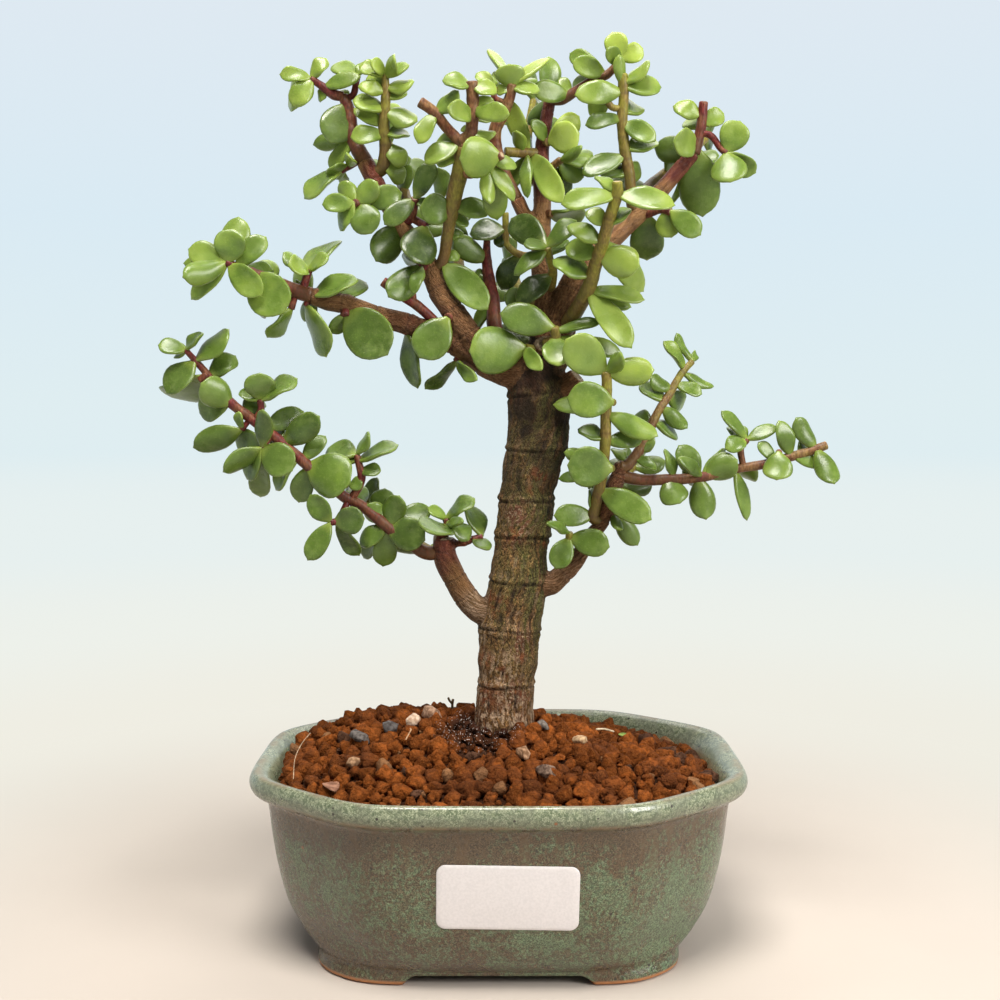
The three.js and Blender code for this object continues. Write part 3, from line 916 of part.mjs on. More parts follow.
// The bed: rings of corners on its top, alternately the crown of a granule and the dip beside it,
// then the side along the pot's wall and a flat underside.
function soilSolid() {
  const chance = randomFrom(GRANULE_SEED);
  const rings = [];
  const outerHalf = innerHalfWidth(SOIL_EDGE_HEIGHT) - SOIL_WALL_GAP;
  const count = Math.round(outerHalf / GRANULE_SPACING);
  for (let k = 1; k <= count; k += 1) {
    const share = k / count;
    const half = outerHalf * share;
    const girth = 2 * Math.PI * half * PLAN_GIRTH;
    const corners = Math.max(FEWEST_CORNERS, Math.round(girth / GRANULE_SPACING / 2) * 2);
    const ring = [];
    for (let i = 0; i < corners; i += 1) {
      const edge = k === count;
      const wander = edge ? 0 : (chance() - 0.5) * GRANULE_TURN_WANDER;
      const angle = ((i + (k % 2) * 0.5 + wander) / corners) * 2 * Math.PI;
      const out = edge ? 0 : (chance() - 0.5) * GRANULE_REACH_WANDER * GRANULE_SPACING;
      const r = (half + out) * planShare(angle);
      const crown = i % 2 === 0 ? 1 : -1;
      const relief = GRANULE_RELIEF * (GRANULE_LEAST_RELIEF + GRANULE_MORE_RELIEF * chance());
      const [x, y] = [r * Math.cos(angle), r * Math.sin(angle)];
      const level = soilHeight((half + out) / outerHalf) + heapHeight(x, y);
      ring.push([x, y, level + (edge ? -SOIL_RIM_DROP : crown * relief)]);
    }
    rings.push(ring);
  }
  const wall = INNER_WALL.filter(([, z]) => z < SOIL_EDGE_HEIGHT - SOIL_SIDE_START).reverse();
  for (const [r, z] of wall) {
    const sides = POT_SEGMENTS;
    const low = z === POT_FLOOR ? POT_FLOOR + FIT : z;
    const ring = [];
    for (let i = 0; i < sides; i += 1) {
      const angle = (i / sides) * 2 * Math.PI;
      const reach = (r - SOIL_SIDE_GAP) * planShare(angle);
      ring.push([reach * Math.cos(angle), reach * Math.sin(angle), low]);
    }
    rings.push(ring);
  }
  const points = [[0, 0, soilHeight(0) + heapHeight(0, 0)]];
  const firsts = rings.map((ring) => {
    const first = points.length;
    points.push(...ring);
    return first;
  });
  const middleBelow = points.push([0, 0, POT_FLOOR + FIT]) - 1;
  const faces = [];
  rings[0].forEach((_, i) => faces.push(0, 1 + i, 1 + ((i + 1) % rings[0].length)));
  for (let k = 1; k < rings.length; k += 1) {
    const [inner, outer] = [rings[k - 1], rings[k]];
    const turn = ([x, y]) => Math.atan2(y, x);
    let i = 0;
    let j = 0;
    const gap = (a, b) => Math.atan2(Math.sin(turn(a) - turn(b)), Math.cos(turn(a) - turn(b)));
    while (i < inner.length || j < outer.length) {
      const a = firsts[k - 1] + (i % inner.length);
      const b = firsts[k] + (j % outer.length);
      const nextA = firsts[k - 1] + ((i + 1) % inner.length);
      const nextB = firsts[k] + ((j + 1) % outer.length);
      const ahead = gap(inner[(i + 1) % inner.length], outer[(j + 1) % outer.length]);
      if (j >= outer.length || (i < inner.length && ahead < 0)) {
        faces.push(a, b, nextA);
        i += 1;
      } else {
        faces.push(a, b, nextB);
        j += 1;
      }
    }
  }
  const lastRing = rings[rings.length - 1];
  const lastFirst = firsts[firsts.length - 1];
  lastRing.forEach((_, i) => {
    faces.push(middleBelow, lastFirst + ((i + 1) % lastRing.length), lastFirst + i);
  });
  const geometry = new THREE.BufferGeometry();
  geometry.setAttribute('position', new THREE.BufferAttribute(new Float32Array(points.flat()), 3));
  geometry.setIndex(faces);
  let soil = solidOf(geometry);
  soil = soil.subtract(rod(HOLE_RADIUS, TRUNK_ROOT_END - FIT, 2 * SOIL_EDGE_HEIGHT, TRUNK_X, HOLE_SIDES));
  const plate = MESH_SIDE + 2 * FIT;
  for (const side of [-1, 1]) {
    const thick = 2 * (MESH_THICKNESS + 2 * FIT);
    soil = soil.subtract(block(plate, plate, thick, side * DRAIN_OFFSET, 0, POT_FLOOR));
  }
  return mainBody(soil);
}

// ---------------------------------------------------------------- drain mesh and sticker
function drainMeshSolid(x) {
  const z = POT_FLOOR + FIT + MESH_THICKNESS / 2;
  const hole = (MESH_SIDE - MESH_BAR * (MESH_HOLES + 1)) / MESH_HOLES;
  const first = -(MESH_HOLES - 1) / 2;
  let sheet = block(MESH_SIDE, MESH_SIDE, MESH_THICKNESS, x, 0, z);
  for (let i = 0; i < MESH_HOLES; i += 1) {
    for (let j = 0; j < MESH_HOLES; j += 1) {
      const right = x + (first + i) * (hole + MESH_BAR);
      const back = (first + j) * (hole + MESH_BAR);
      sheet = sheet.subtract(block(hole, hole, 3 * MESH_THICKNESS, right, back, z));
    }
  }
  return sheet;
}

function stickerGeometry() {
  const [w, h, r] = [STICKER_WIDTH / 2, STICKER_HEIGHT / 2, STICKER_CORNER];
  const outline = new THREE.Shape();
  outline.absarc(w - r, h - r, r, 0, Math.PI / 2);
  outline.absarc(-w + r, h - r, r, Math.PI / 2, Math.PI);
  outline.absarc(-w + r, -h + r, r, Math.PI, 1.5 * Math.PI);
  outline.absarc(w - r, -h + r, r, 1.5 * Math.PI, 2 * Math.PI);
  return new THREE.ExtrudeGeometry(outline, {
    depth: STICKER_THICKNESS, bevelEnabled: false, curveSegments: 4,
  });
}

// ---------------------------------------------------------------- the scene graph
const group = new THREE.Group();
group.name = 'dwarf_jade_bonsai';

function addPart(name, geometry, look) {
  const mesh = new THREE.Mesh(geometry, new THREE.MeshStandardMaterial(look));
  mesh.name = name;
  group.add(mesh);
  return mesh;
}

addPart('pot', geometryOf(potSolid().simplify(SMALLEST_DETAIL)), GLAZE);
addPart('soil', geometryOf(soilSolid()), EARTH);
addPart('trunk', geometryOf(wood), BARK);

addPart('drain_mesh_left', geometryOf(drainMeshSolid(-DRAIN_OFFSET)), PLASTIC);
addPart('drain_mesh_right', geometryOf(drainMeshSolid(DRAIN_OFFSET)), PLASTIC);

const sticker = addPart('sticker', stickerGeometry(), PAPER);
sticker.position.set(STICKER_PLACE.x, STICKER_PLACE.y, STICKER_PLACE.z);
sticker.rotation.set(THREE.MathUtils.degToRad(90 + STICKER_LEAN), 0, 0);
sticker.rotateZ(THREE.MathUtils.degToRad(-STICKER_TILT));

for (const shoot of shoots) addPart(shoot.name, geometryOf(shootSolid(shoot)), shoot.look);

export default group;
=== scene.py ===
"""Dwarf jade bonsai in a glazed pot: the visible pieces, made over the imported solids."""
import json
import math

import bmesh
import bpy
import numpy as np
from mathutils import Matrix, Vector, kdtree, noise

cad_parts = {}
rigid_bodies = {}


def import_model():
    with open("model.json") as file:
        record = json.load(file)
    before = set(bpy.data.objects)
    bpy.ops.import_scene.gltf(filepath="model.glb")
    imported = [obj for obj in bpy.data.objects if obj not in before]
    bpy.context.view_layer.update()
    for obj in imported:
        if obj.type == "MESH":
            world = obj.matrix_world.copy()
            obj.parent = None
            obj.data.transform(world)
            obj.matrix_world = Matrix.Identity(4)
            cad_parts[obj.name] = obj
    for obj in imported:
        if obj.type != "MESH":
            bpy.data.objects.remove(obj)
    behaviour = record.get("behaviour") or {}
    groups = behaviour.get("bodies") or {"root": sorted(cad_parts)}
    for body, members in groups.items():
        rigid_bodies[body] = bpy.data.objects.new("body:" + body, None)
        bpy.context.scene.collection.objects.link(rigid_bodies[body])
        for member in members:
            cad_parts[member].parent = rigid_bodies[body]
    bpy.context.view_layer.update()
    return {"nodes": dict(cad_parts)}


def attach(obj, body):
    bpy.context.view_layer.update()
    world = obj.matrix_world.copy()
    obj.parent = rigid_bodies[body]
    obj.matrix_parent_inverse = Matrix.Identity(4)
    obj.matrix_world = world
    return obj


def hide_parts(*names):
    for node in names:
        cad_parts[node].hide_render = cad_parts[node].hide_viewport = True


bl_info = {
    "name": "Dwarf Jade Bonsai",
    "version": (1, 0, 0),
    "blender": (4, 5, 0),
    "location": "View3D > Sidebar > Bonsai",
    "description": "Builds a dwarf jade bonsai with bark, leaves, soil granules and a glazed pot",
    "category": "Add Mesh",
}

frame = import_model()

MM = 0.001
BODY = "root"

# ---------------------------------------------------------------- sizes shared with the solids
POT_HALF_WIDTH = 86.7
POT_PLAN_POWER = 18.7
POT_SIDES = [(0, 86.7), (51.9, 79), (90, 64.55), (128.1, 79),
             (180, 86.7), (231.9, 79), (270, 64.55), (308.1, 79)]
POT_PROFILE = [
    (0, 5), (54.5, 5), (55.5, 0), (62.4, 0), (63, 2.4), (63, 5), (66, 7.2), (69.2, 10.3),
    (72.7, 16.5), (75.1, 22.8), (77.4, 33), (78.9, 42.5), (79.9, 52), (80.6, 56.5), (85.2, 58.6),
    (86.7, 62.5), (84.7, 66.2), (79.6, 64.6), (75.2, 55), (72.6, 40), (69.4, 24), (64, 13.5),
    (57, 10), (0, 10),
]
FOOT_CORNER = 11
FOOT_BLEND = 14
OUTER_WALL = POT_PROFILE[4:15]
INNER_WALL = POT_PROFILE[-2:-8:-1]
DRAIN_RADIUS = 6
DRAIN_OFFSET = 30
# Middle of the dark, fine soil round the trunk.
HUMUS_SPOT = np.array((-7.0, -11.0, 76.5))
HUMUS_REACH = (10, 17)
SOIL_EDGE_HEIGHT = 61
SOIL_MOUND_HEIGHT = 15
SOIL_MOUND_POWER = 1.7
# Place, height and spread of the heap at the back left, of the collar round the trunk and of the dip at
# the back right.
SOIL_HEAPS = ((-50, 17, 6.5, 25), (2, 0, 2.6, 15), (56, 16, -2.6, 24))
# Height of each scar ring on the trunk and its slope from left to right.
TRUNK_RINGS = [(90.4, -0.02), (110.4, -0.05), (127.5, -0.08), (143.7, -0.05),
               (156.7, 0.0), (174.3, 0.02), (193.3, 0.18)]
LEAF_ASPECT = 0.78
CLEAR_PLATE = 2.6
CLEAR_STEM = 1.5
CLEAR_EDGE = 0.7
SMALLEST_SOLID_LEAF = 6.6
SHIFTS = (0, -2, 2, -4, 4, -6, 6, -8, 8, -10, 10, -12, 12, -14, 14)

# Seeds of the random draws; the layout's is shared with the solids too.
LAYOUT_SEED = 20731
BARK_SEED = 311
FRONT_LEAVES_SEED = 977
BACK_LEAVES_SEED = 541
GRANULE_SHAPES_SEED = 61
LOOSE_BITS_SEED = 88
DRAW_FACTOR = 16807
DRAW_LIMIT = 2147483647

# The tree is laid out in a front elevation, pushed along the line from this viewing point to its depth.
EYE = np.array((0.5, -444.0, 191.0))

# ---------------------------------------------------------------- the tree's tables, in millimetres
# A limb: name, limb it grows on, changes of depth along it, then (x, z, radius) in the elevation.
LIMBS = [
    ("trunk", None, (0,),
     [(2, 50, 10.6), (2, 72, 10.6), (2, 80, 10.6), (2.6, 90, 9.9), (3.4, 100, 10.7), (3.8, 110, 10.8),
      (5.8, 120, 10.6), (6.9, 127, 10.2), (8, 140, 9.4), (9.4, 150, 9.8), (10.2, 160, 9.6), (12.2, 170, 10.2),
      (13.9, 180, 10.9), (14.2, 190, 11), (13.6, 200, 10.6), (13.8, 207, 8.6)]),
    ("stub", "trunk", (-3,),
     [(-4, 116, 4.9), (-9.4, 119.2, 4.6), (-14.8, 127.2, 4.3), (-19, 136, 4.3), (-19.5, 143, 3.9)]),
    ("stub_spur", "stub", (-1,),
     [(-22.5, 144, 2)]),
    ("stub_twig", "stub", (1,),
     [(-12, 141.5, 1.3), (-9.5, 142.7, 1.2)]),
    ("left", "trunk", (-3, -6),
     [(0, 204.5, 6.4), (-8, 208.2, 5), (-16, 212.6, 4.2), (-24, 216.4, 3.8), (-29, 217.8, 3.7), (-32, 219, 4),
      (-40, 221.2, 3.5), (-51, 225, 3.2), (-53, 225.8, 3.6), (-60, 227.2, 3.5), (-66, 229, 3)]),
    ("upper_left", "trunk", (-4, 0, 4),
     [(3.4, 204.2, 7.5), (-4, 208.6, 6), (-9.5, 213.8, 4.8), (-14, 220.5, 4.3), (-20.5, 230, 4),
      (-24.5, 239, 3.6), (-29.5, 247, 3.1), (-34, 253.5, 3), (-39, 261, 3.1), (-43, 268, 3.1),
      (-46.5, 275, 3.2)]),
    ("top", "trunk", (8, 12),
     [(15, 209, 6), (15.4, 216, 4.4), (15.5, 225, 4), (15, 240, 3.7), (15, 252, 3.4), (15.3, 262, 3.2),
      (14.8, 272, 3), (15.3, 281, 2.6), (16.5, 289, 2.4), (17.8, 296, 2.2)]),
    ("top_side", "top", (-1,),
     [(10, 256, 2.6), (6.5, 262.3, 2.6)]),
    ("upper_right", "trunk", (4, 10, 8),
     [(17, 206, 7.6), (21.5, 219, 6.3), (26.4, 232, 5.5), (32.6, 242.6, 4.5), (39.8, 248.6, 3.6),
      (45.3, 253.6, 3.3), (50, 258, 3.2), (58.2, 267, 2.9), (64, 273.6, 2.7), (68, 278, 2.5)]),
    ("cut_top", "trunk", (-7,),
     [(15, 206, 4.4), (16, 212, 3.8)]),
    ("cut_right", "trunk", (-5,),
     [(22, 195, 5), (28, 200.5, 3.6)]),
    ("right", "trunk", (-3, -8),
     [(17.4, 126.5, 4.2), (22, 129.5, 3.7), (27.2, 134.6, 3.1), (32.4, 143, 2.8), (36.9, 148.8, 2.5),
      (38.8, 154.6, 2.5), (40.2, 160.5, 2.7), (42.8, 165.6, 2.9), (42.9, 170.2, 1.7)]),
]

# A shoot: name, limb it grows on, look, stem colour, stems and leaves.
# A stem: changes of depth along it, then points like a limb's, with a radius where it changes.
# A leaf: its seat, left out where it is that of the leaf before, its tip in the elevation, how much deeper
# the tip lies, its turn in degrees, and its width where that isn't the usual share of its length.
SHOOTS = [
    ("lower_left_shoot", "stub", "mid", "maroon",
     [((-5, -3), (-25.8, 137.9, 2.5), (-31, 141, 2.3), (-38, 146, 2.2), (-44, 151, 2), (-49.5, 155.2, 1.9),
      (-55, 158), (-62, 164), (-68.8, 170), (-78.9, 178.8), (-88, 186, 1.8), (-95.5, 192, 1.7),
      (-103, 201.5, 1.3), (-110.3, 209.8, 1)), ((0,), (-105.5, 199.2, 1.5)), ((-1,), (-84.3, 188.5, 1.2),
      (-84.3, 192.3)), ((-3,), (-84, 175.5, 1.1)), ((0,), (-91, 182, 1)), ((-1,), (-48.9, 164, 1.5),
      (-49.7, 170, 1.3), (-50.4, 172.8, 1.1)), ((-4,), (-57, 150, 1.2), (-59.8, 148.8))],
     [(-110.3, 209.8, -119.8, 211.7, -2, 40), (-104.8, 216, -1, 65), (-113.2, 208.6, 2, 50),
      (-106.8, 206.3, -94.9, 216.2, 1, 60), (-107, 206.3, -117, 194.9, -2, 45),
      (-102, 200.5, -93.6, 208.3, 3, 35), (-103, 200, -115.3, 192.4, 4, 45),
      (-91.5, 194.5, -104.8, 198, -6, 5, 10.5), (-95, 192, -106, 187.8, 5, 10, 9),
      (-89.5, 187, -84.5, 193.5, 5, 20, 8), (-93, 183.5, -107.6, 176, 2, 15, 9),
      (-96.5, 181, -92, 188.2, -2, 40, 4), (-84.3, 192.3, -84.5, 201.2, -4, 0, 10.5),
      (-83.8, 192.8, -72.3, 200.6, 1, 60), (-84.6, 192.8, -91.2, 195.3, 3, 40),
      (-84, 175.5, -83, 188.8, -4, 30, 7), (-84, 178, -93.5, 177.5, 5, 10, 10),
      (-84.5, 175.2, -97.7, 167.6, -2, 35, 8), (-83, 175.3, -73.8, 167.6, -5, 5, 11.5),
      (-84.5, 174.5, -89.5, 164.6, 4, 50), (-83, 172, -85, 158, 4, 20, 8), (-73.5, 170, -79.6, 161, 3, 60),
      (-81, 184.5, -69.5, 188.2, 5, 20, 8), (-75.5, 178, -63.6, 186.3, -3, 10, 9.5),
      (-68.2, 172.4, -61.7, 179.4, 3, 30, 6.5), (-69.5, 167.8, -53, 163, -6, 0, 15.5),
      (-68.8, 167.5, -71, 156.5, 4, 15, 8), (-59.8, 149, -67, 158.2, -1, 15, 7.5),
      (-59.8, 148.2, -68, 135.7, -2, 10, 7.5), (-58.5, 149, -48.4, 150, -2, 10, 9.5),
      (-57, 148, -50.3, 137, 3, 35, 6.5), (-49.2, 171, -36, 176, 1, 65), (-50.3, 172.8, -45.5, 180.5, 0, 65),
      (-50.4, 172.8, -60.3, 174.8, -2, 45), (-50, 171, -57, 171.3, 3, 50),
      (-49.5, 167, -42, 167.2, -4, 30, 5.5), (-49.2, 165.5, -52, 160.5, 3, 30, 5),
      (-39.7, 147.5, -26.8, 142.6, -3, 0, 11.5), (-40.2, 147.4, -49.6, 141, -2, 20, 7),
      (-38.8, 148.5, -35.3, 158.2, -2, 10, 8.3), (-40.7, 148.5, -46.6, 155.2, -1, 10, 7.5),
      (-38, 149, -24.6, 153.5, 1, 20, 8), (-42, 150, -41, 160.9, 3, 20, 8.5),
      (-40.2, 146, -41.4, 133.2, 3, 5, 8.5), (-43, 146, -48.5, 136.3, 4, 35, 7),
      (-77, 177, -80, 183, 10, 20, 9), (-64, 166, -58, 171, 9, 20, 9), (-54, 158, -47, 161, 9, 20, 8)]),
    ("stub_top_shoot", "stub", "light", "maroon",
     [((0,), (-18.3, 147.5, 1.4), (-18.6, 150))],
     [(-18.6, 150, -9.7, 158, -1, 60), (-18.8, 150, -25, 154, 1, 50), (-18.3, 147.5, -25.5, 145.4, -1, 50),
      (-18, 148, -13, 149.2, -4, 40, 4), (-18, 150, -10.4, 143.6, 2, 50)]),
    ("stub_side_shoot", "stub_twig", "mid", "maroon",
     [((0.5,), (-6, 143.7, 1.2))],
     [(-6, 143.7, -11, 154.7, 0, 55), (-9.5, 143.5, -3.3, 139.3, -2, 55)]),
    ("left_tip_shoot", "left", "light", "maroon",
     [((-5,), (-67, 229.3, 2.7), (-72.5, 231, 2.6), (-80, 234, 2.2), (-88, 237.5, 1.7), (-95.5, 240.3, 1.3)),
      ((0,), (-67, 237, 1.4), (-66.8, 237.8)), ((0,), (-73, 224.5, 1.2)), ((0,), (-67.5, 225.5, 1.2))],
     [(-95.3, 240.5, -93, 251.6, -2, 10, 10.5), (-91.5, 241, -81.8, 248.9, 2, 20, 8),
      (-94, 243, -91, 255.2, 5, 20, 10.5), (-96.5, 240.5, -108.4, 245, -1, 15, 9),
      (-96, 239.5, -110.6, 235.2, -2, 15, 8.3), (-96, 240, -110, 240, 4, 30, 5),
      (-96, 238, -107.5, 228, 3, 35, 7), (-95, 239.3, -84, 229.5, -5, 10, 9),
      (-86, 238, -76.5, 223.3, -4, 5, 14.5), (-90, 240, -79.3, 238.5, 3, 40, 5),
      (-67, 238, -75.6, 243, 0, 60), (-67, 237.5, -73, 240, 3, 50), (-66.6, 238, -59.7, 242.3, -3, 50),
      (-66.5, 238.5, -58.2, 247, 1, 65), (-65, 232, -50.3, 234.4, 0, 60), (-69, 231, -70.5, 234.8, 4, 30, 3),
      (-73.5, 223.8, -80.4, 214, 0, 60), (-67.5, 225.5, -60.3, 208.4, 0, 62), (-84, 236, -80, 240, 10, 20, 9),
      (-76, 232.5, -79, 228, 10, 20, 9)]),
    ("left_leaf_outer", "left", "mid", "maroon",
     [((-3,), (-54.2, 222, 1.6))],
     [(-53.6, 224, -40, 209, -3, 5, 16), (-55, 223, -58.5, 215.8, 3, 20, 6)]),
    ("left_leaf_middle", "left", "mid", "maroon",
     [((0,), (-33, 215.5, 1.5))],
     [(-33, 217, -28.5, 197.2, 0, 55, 10)]),
    ("left_leaf_inner", "left", "mid", "maroon",
     [((0,), (-14.8, 206, 1.4))],
     [(-14.8, 206, -25, 195.8, 1, 50, 6.5), (-14.6, 206, -8.5, 199.5, 2, 40, 5)]),
    ("left_leaf_front", "upper_left", "light", "maroon",
     [((-4,), (-17.8, 221.2, 1.6))],
     [(-17.8, 221.2, -27.6, 207.7, -3, 10, 13)]),
    ("upper_left_outer_shoot", "upper_left", "light", "maroon",
     [((3,), (-47, 276, 2.9), (-50.2, 282, 2.5), (-51.3, 288, 2.2), (-52, 293, 2), (-54, 297.5, 1.9)), ((-1,),
      (-57.5, 298.3, 1.8), (-61.3, 301, 1.4), (-65, 303.5, 1.2)), ((0,), (-50.5, 298.2, 1.2), (-49.2, 304)),
      ((0,), (-55, 272.3, 1.3))],
     [(-65, 303.5, -75.6, 305.3, -2, 30, 5.5), (-64.8, 304, -60.4, 310.6, -1, 35, 6),
      (-65, 303, -71.4, 295, -3, 15, 7.8), (-65.2, 303, -73.8, 294.8, 3, 50),
      (-61, 300.5, -48.4, 304.2, -3, 35, 6), (-60, 299.5, -63, 296.3, 2, 45, 4.5),
      (-57, 298, -52, 299.3, 3, 40, 4), (-49.2, 304.5, -56.8, 308.4, 1, 45),
      (-49, 304.5, -45.5, 309.6, 2, 40, 4), (-54, 294.5, -58.4, 282.6, -5, 0, 12),
      (-53, 285, -63.8, 281, 4, 20, 6.5), (-52, 284, -55, 280.5, 4, 30, 5), (-53, 283, -58.7, 273, 2, 30, 6),
      (-54.5, 278, -59.8, 270.8, -2, 50), (-55, 272, -67.8, 263.4, -1, 65),
      (-52, 273.5, -51.5, 277.5, 3, 30, 5), (-54.5, 272, -54, 268, 3, 40, 4),
      (-51, 290, -57, 290, 9, 20, 8)]),
    ("upper_left_inner_shoot", "upper_left", "light", "olive",
     [((-5,), (-40.6, 273, 2.3), (-39.4, 280, 2.2), (-40, 286, 2), (-39.4, 293.4, 1.8), (-39.2, 299, 1.6),
      (-39.4, 305, 1.2))],
     [(-40.2, 304.3, -48, 308, -1, 45), (-39.8, 305, -44, 309.6, 1, 40), (-38.8, 305, -35.6, 310.5, 1, 45),
      (-39, 304, -31.4, 308.3, -1, 60), (-38.5, 300.2, -29.5, 301.8, -1, 55),
      (-39.5, 299.2, -48, 301.3, -4, 25, 5.5), (-41, 300, -44.5, 304.8, 2, 10, 6),
      (-38.5, 296.8, -32, 299, 2, 50), (-39.8, 292.9, -50.3, 296.2, -2, 50),
      (-38.8, 292.5, -28.7, 288.5, -1, 40), (-40.5, 287.5, -50, 293, 2, 25, 5.5),
      (-41, 290, -46, 294, 4, 40, 4), (-39.5, 284.5, -31.2, 284.7, 0, 60),
      (-40.5, 284.2, -51, 284, -4, 30, 7), (-40.5, 281, -32.7, 274.8, -1, 20, 7),
      (-42.8, 276.3, -33, 268.6, -2, 30, 7), (-41, 274, -30.5, 277, 4, 30, 5),
      (-40, 289, -36, 294, 9, 20, 8)]),
    ("left_cluster_shoot", "upper_left", "mid", "maroon",
     [((-9,), (-44.5, 260, 1.4), (-48, 261), (-50.4, 261))],
     [(-50.3, 261.3, -61.3, 260.4, -1, 20, 6.5), (-49.6, 261.7, -42.5, 268, -1, 15, 8),
      (-50, 262, -55, 267.5, 1, 20, 7), (-46, 261, -34.3, 264.5, -1, 15, 8.5),
      (-48.8, 260.5, -45, 251.5, -4, 5, 10.5), (-50.5, 260.3, -56.2, 252.2, 2, 50)]),
    ("middle_left_shoot", "upper_left", "mid", "maroon",
     [((-8,), (-30.5, 256, 1.5), (-29.3, 262.5, 1.4)), ((-2,), (-25.5, 253, 1.4))],
     [(-29.5, 262.3, -39.6, 254, -3, 20, 7.5), (-28.8, 262.7, -22.5, 274.3, -2, 25, 8),
      (-28.8, 261.8, -24, 259.5, 2, 40, 5), (-34.5, 252.5, -43, 241.3, -3, 10, 11),
      (-25, 252, -29.7, 240.5, -5, 10, 13)]),
    ("left_limb_side_shoot", "upper_left", "dark", "maroon",
     [((-5,), (-26.8, 239, 1.6))],
     [(-26, 241, -34.5, 242, 2, 50, 4), (-26.5, 239.5, -38.5, 228.5, -3, 10, 10),
      (-27, 238, -30, 231, 3, 30, 5)]),
    ("bare_spur", "left", "mid", "maroon",
     [((-3,), (-22, 219, 1.8), (-28, 225), (-34, 229), (-40.5, 233.8)), ((2,), (-30, 226.5, 1.4),
      (-30.8, 233))],
     []),
    ("centre_left_shoot", "upper_left", "light", "blush",
     [((-9, -15), (-19.8, 240.5, 2), (-17.8, 250.7), (-15.4, 264, 2.8), (-13.9, 270, 2.8), (-12.4, 280, 2.5)),
      ((-2,), (-14.6, 283.2, 1.8), (-18.2, 287), (-21.2, 290.8), (-23.6, 293.2), (-27.2, 295.6)), ((-3,),
      (-10, 284.5, 2.1), (-9.2, 289), (-8.9, 295), (-9.3, 302.4)), ((-10,), (-9, 271, 1.4), (-3, 275),
      (1, 277.5))],
     [(-22, 291.5, -28, 282.2, -3, 25, 6.3), (-21.5, 292, -13.8, 298.7, -1, 45),
      (-15.8, 280, -25.3, 274.8, -1, 45), (-15, 277.5, -21.6, 274.9, 3, 40),
      (-16, 281, -21.3, 281.5, 3, 40, 5), (-8.9, 290.3, -17, 293.7, -4, 30, 7),
      (-8.8, 290, -2.4, 291.5, -4, 30, 6.5), (-9.3, 301.3, -19.2, 302.6, 0, 55),
      (-8.9, 301, -0.9, 299.2, -2, 40), (-8.8, 296.5, -1.5, 293.8, 2, 20, 5),
      (-8.8, 292.5, 2.5, 292, 1, 20, 6.5), (-9.8, 285.5, -12.8, 286.8, 2, 30, 3),
      (-9.5, 284.3, -1.2, 284.3, 1, 60), (0.5, 277.5, -13.3, 276.4, -4, 0, 13),
      (-3, 273, -3.4, 260.8, -2, 20, 5.5), (5.4, 262.4, -1, 30, 5.5), (-1, 272, -0.5, 255.8, 3, 10, 8.5),
      (-0.5, 272, 6.2, 273.7, 2, 30, 5), (-16, 258, -26.8, 259.5, -5, 5, 10.3),
      (-15, 259.5, -3.3, 258.4, 0, 20, 7.3), (-16.5, 256, -10.5, 254, 3, 40),
      (-17.8, 248.5, -12.6, 251.5, 2, 40, 4.5), (-18.5, 241.5, -13.9, 243.3, 2, 30, 4.5),
      (-19.7, 240.6, -4.5, 225, -6, 10, 10.5)]),
    ("top_left_shoot", "top_side", "light", "pink",
     [((-8,), (6.5, 262.3, 2.3), (2.5, 270, 2.3), (-0.8, 279, 2.3), (-1.2, 286, 2.3), (1, 290.5, 2.1),
      (3.8, 297, 1.9), (4.7, 301.5, 1.6)), ((0,), (-1.3, 297, 1.1), (-1.5, 300.5))],
     [(4.6, 300.5, 3.6, 308.3, -3, 0, 10), (4.4, 301.5, -3.3, 313.3, 1, 60, 5.5),
      (5, 301.5, 17, 310.3, 1, 60, 6), (4.7, 301.5, 6.5, 308, 1, 30, 3), (5, 300.3, 14, 299.5, -1, 55),
      (4, 300, -0.8, 299.3, 1, 30, 4), (5.2, 300.5, 12.5, 302.5, 3, 30, 4.5),
      (-1.6, 300.8, -7.6, 305, 2, 30, 5), (-1.5, 300.8, -1.2, 305, -1, 10, 3.8)]),
    ("top_right_shoot", "top", "light", "pink",
     [((-5,), (17.8, 296.5, 2), (22, 296.3, 1.7), (26, 298.8), (33.4, 303.5, 1.5), (37.7, 305),
      (42.5, 309.8, 1.3))],
     [(24.5, 298, 12.2, 300, -4, 15, 7.7), (17, 297, 17.4, 310.4, 5, 15, 7.8),
      (24.6, 298.5, 21.6, 303.8, 1, 25, 4.5), (42.6, 310, 39.5, 318.9, 0, 5, 8),
      (43, 310, 49.7, 313.7, 1, 5, 6.8), (42.4, 309, 37.8, 313.3, -1, 15, 5.8),
      (37.3, 305.2, 26, 309, -2, 15, 7.2), (36.5, 305.2, 25, 312.3, 2, 20, 6.5),
      (32.7, 303, 26.4, 302.4, 1, 40), (18, 296, 11, 288.3, 5, 20, 6.5)]),
    ("top_cross_shoot", "top", "light", "olive",
     [((-4,), (10.4, 278.2, 1.8), (2.4, 278.6, 1.7))],
     [(10.8, 279, 3.3, 295.8, -5, 15, 7), (12, 278, 21.6, 262, -6, 15, 8.5), (8, 279, 6.5, 286, 1, 30, 5.5),
      (11.5, 279, 4.2, 266, 1, 35, 6.5), (10, 278, 9.5, 264, 3, 30, 5)]),
    ("top_front_shoot", "top", "light", "tan",
     [((-4,), (17.4, 282, 1.5))],
     [(17.4, 282, 27.6, 284.8, -4, 5, 11), (17.4, 283, 27.8, 290.5, 3, 15, 8.5),
      (17, 283, 11.3, 289.2, 1, 30, 5)]),
    ("top_brown_twig", "top", "mid", "tan",
     [((-4,), (18, 273.2, 1.4), (21.7, 275.8, 1.3))],
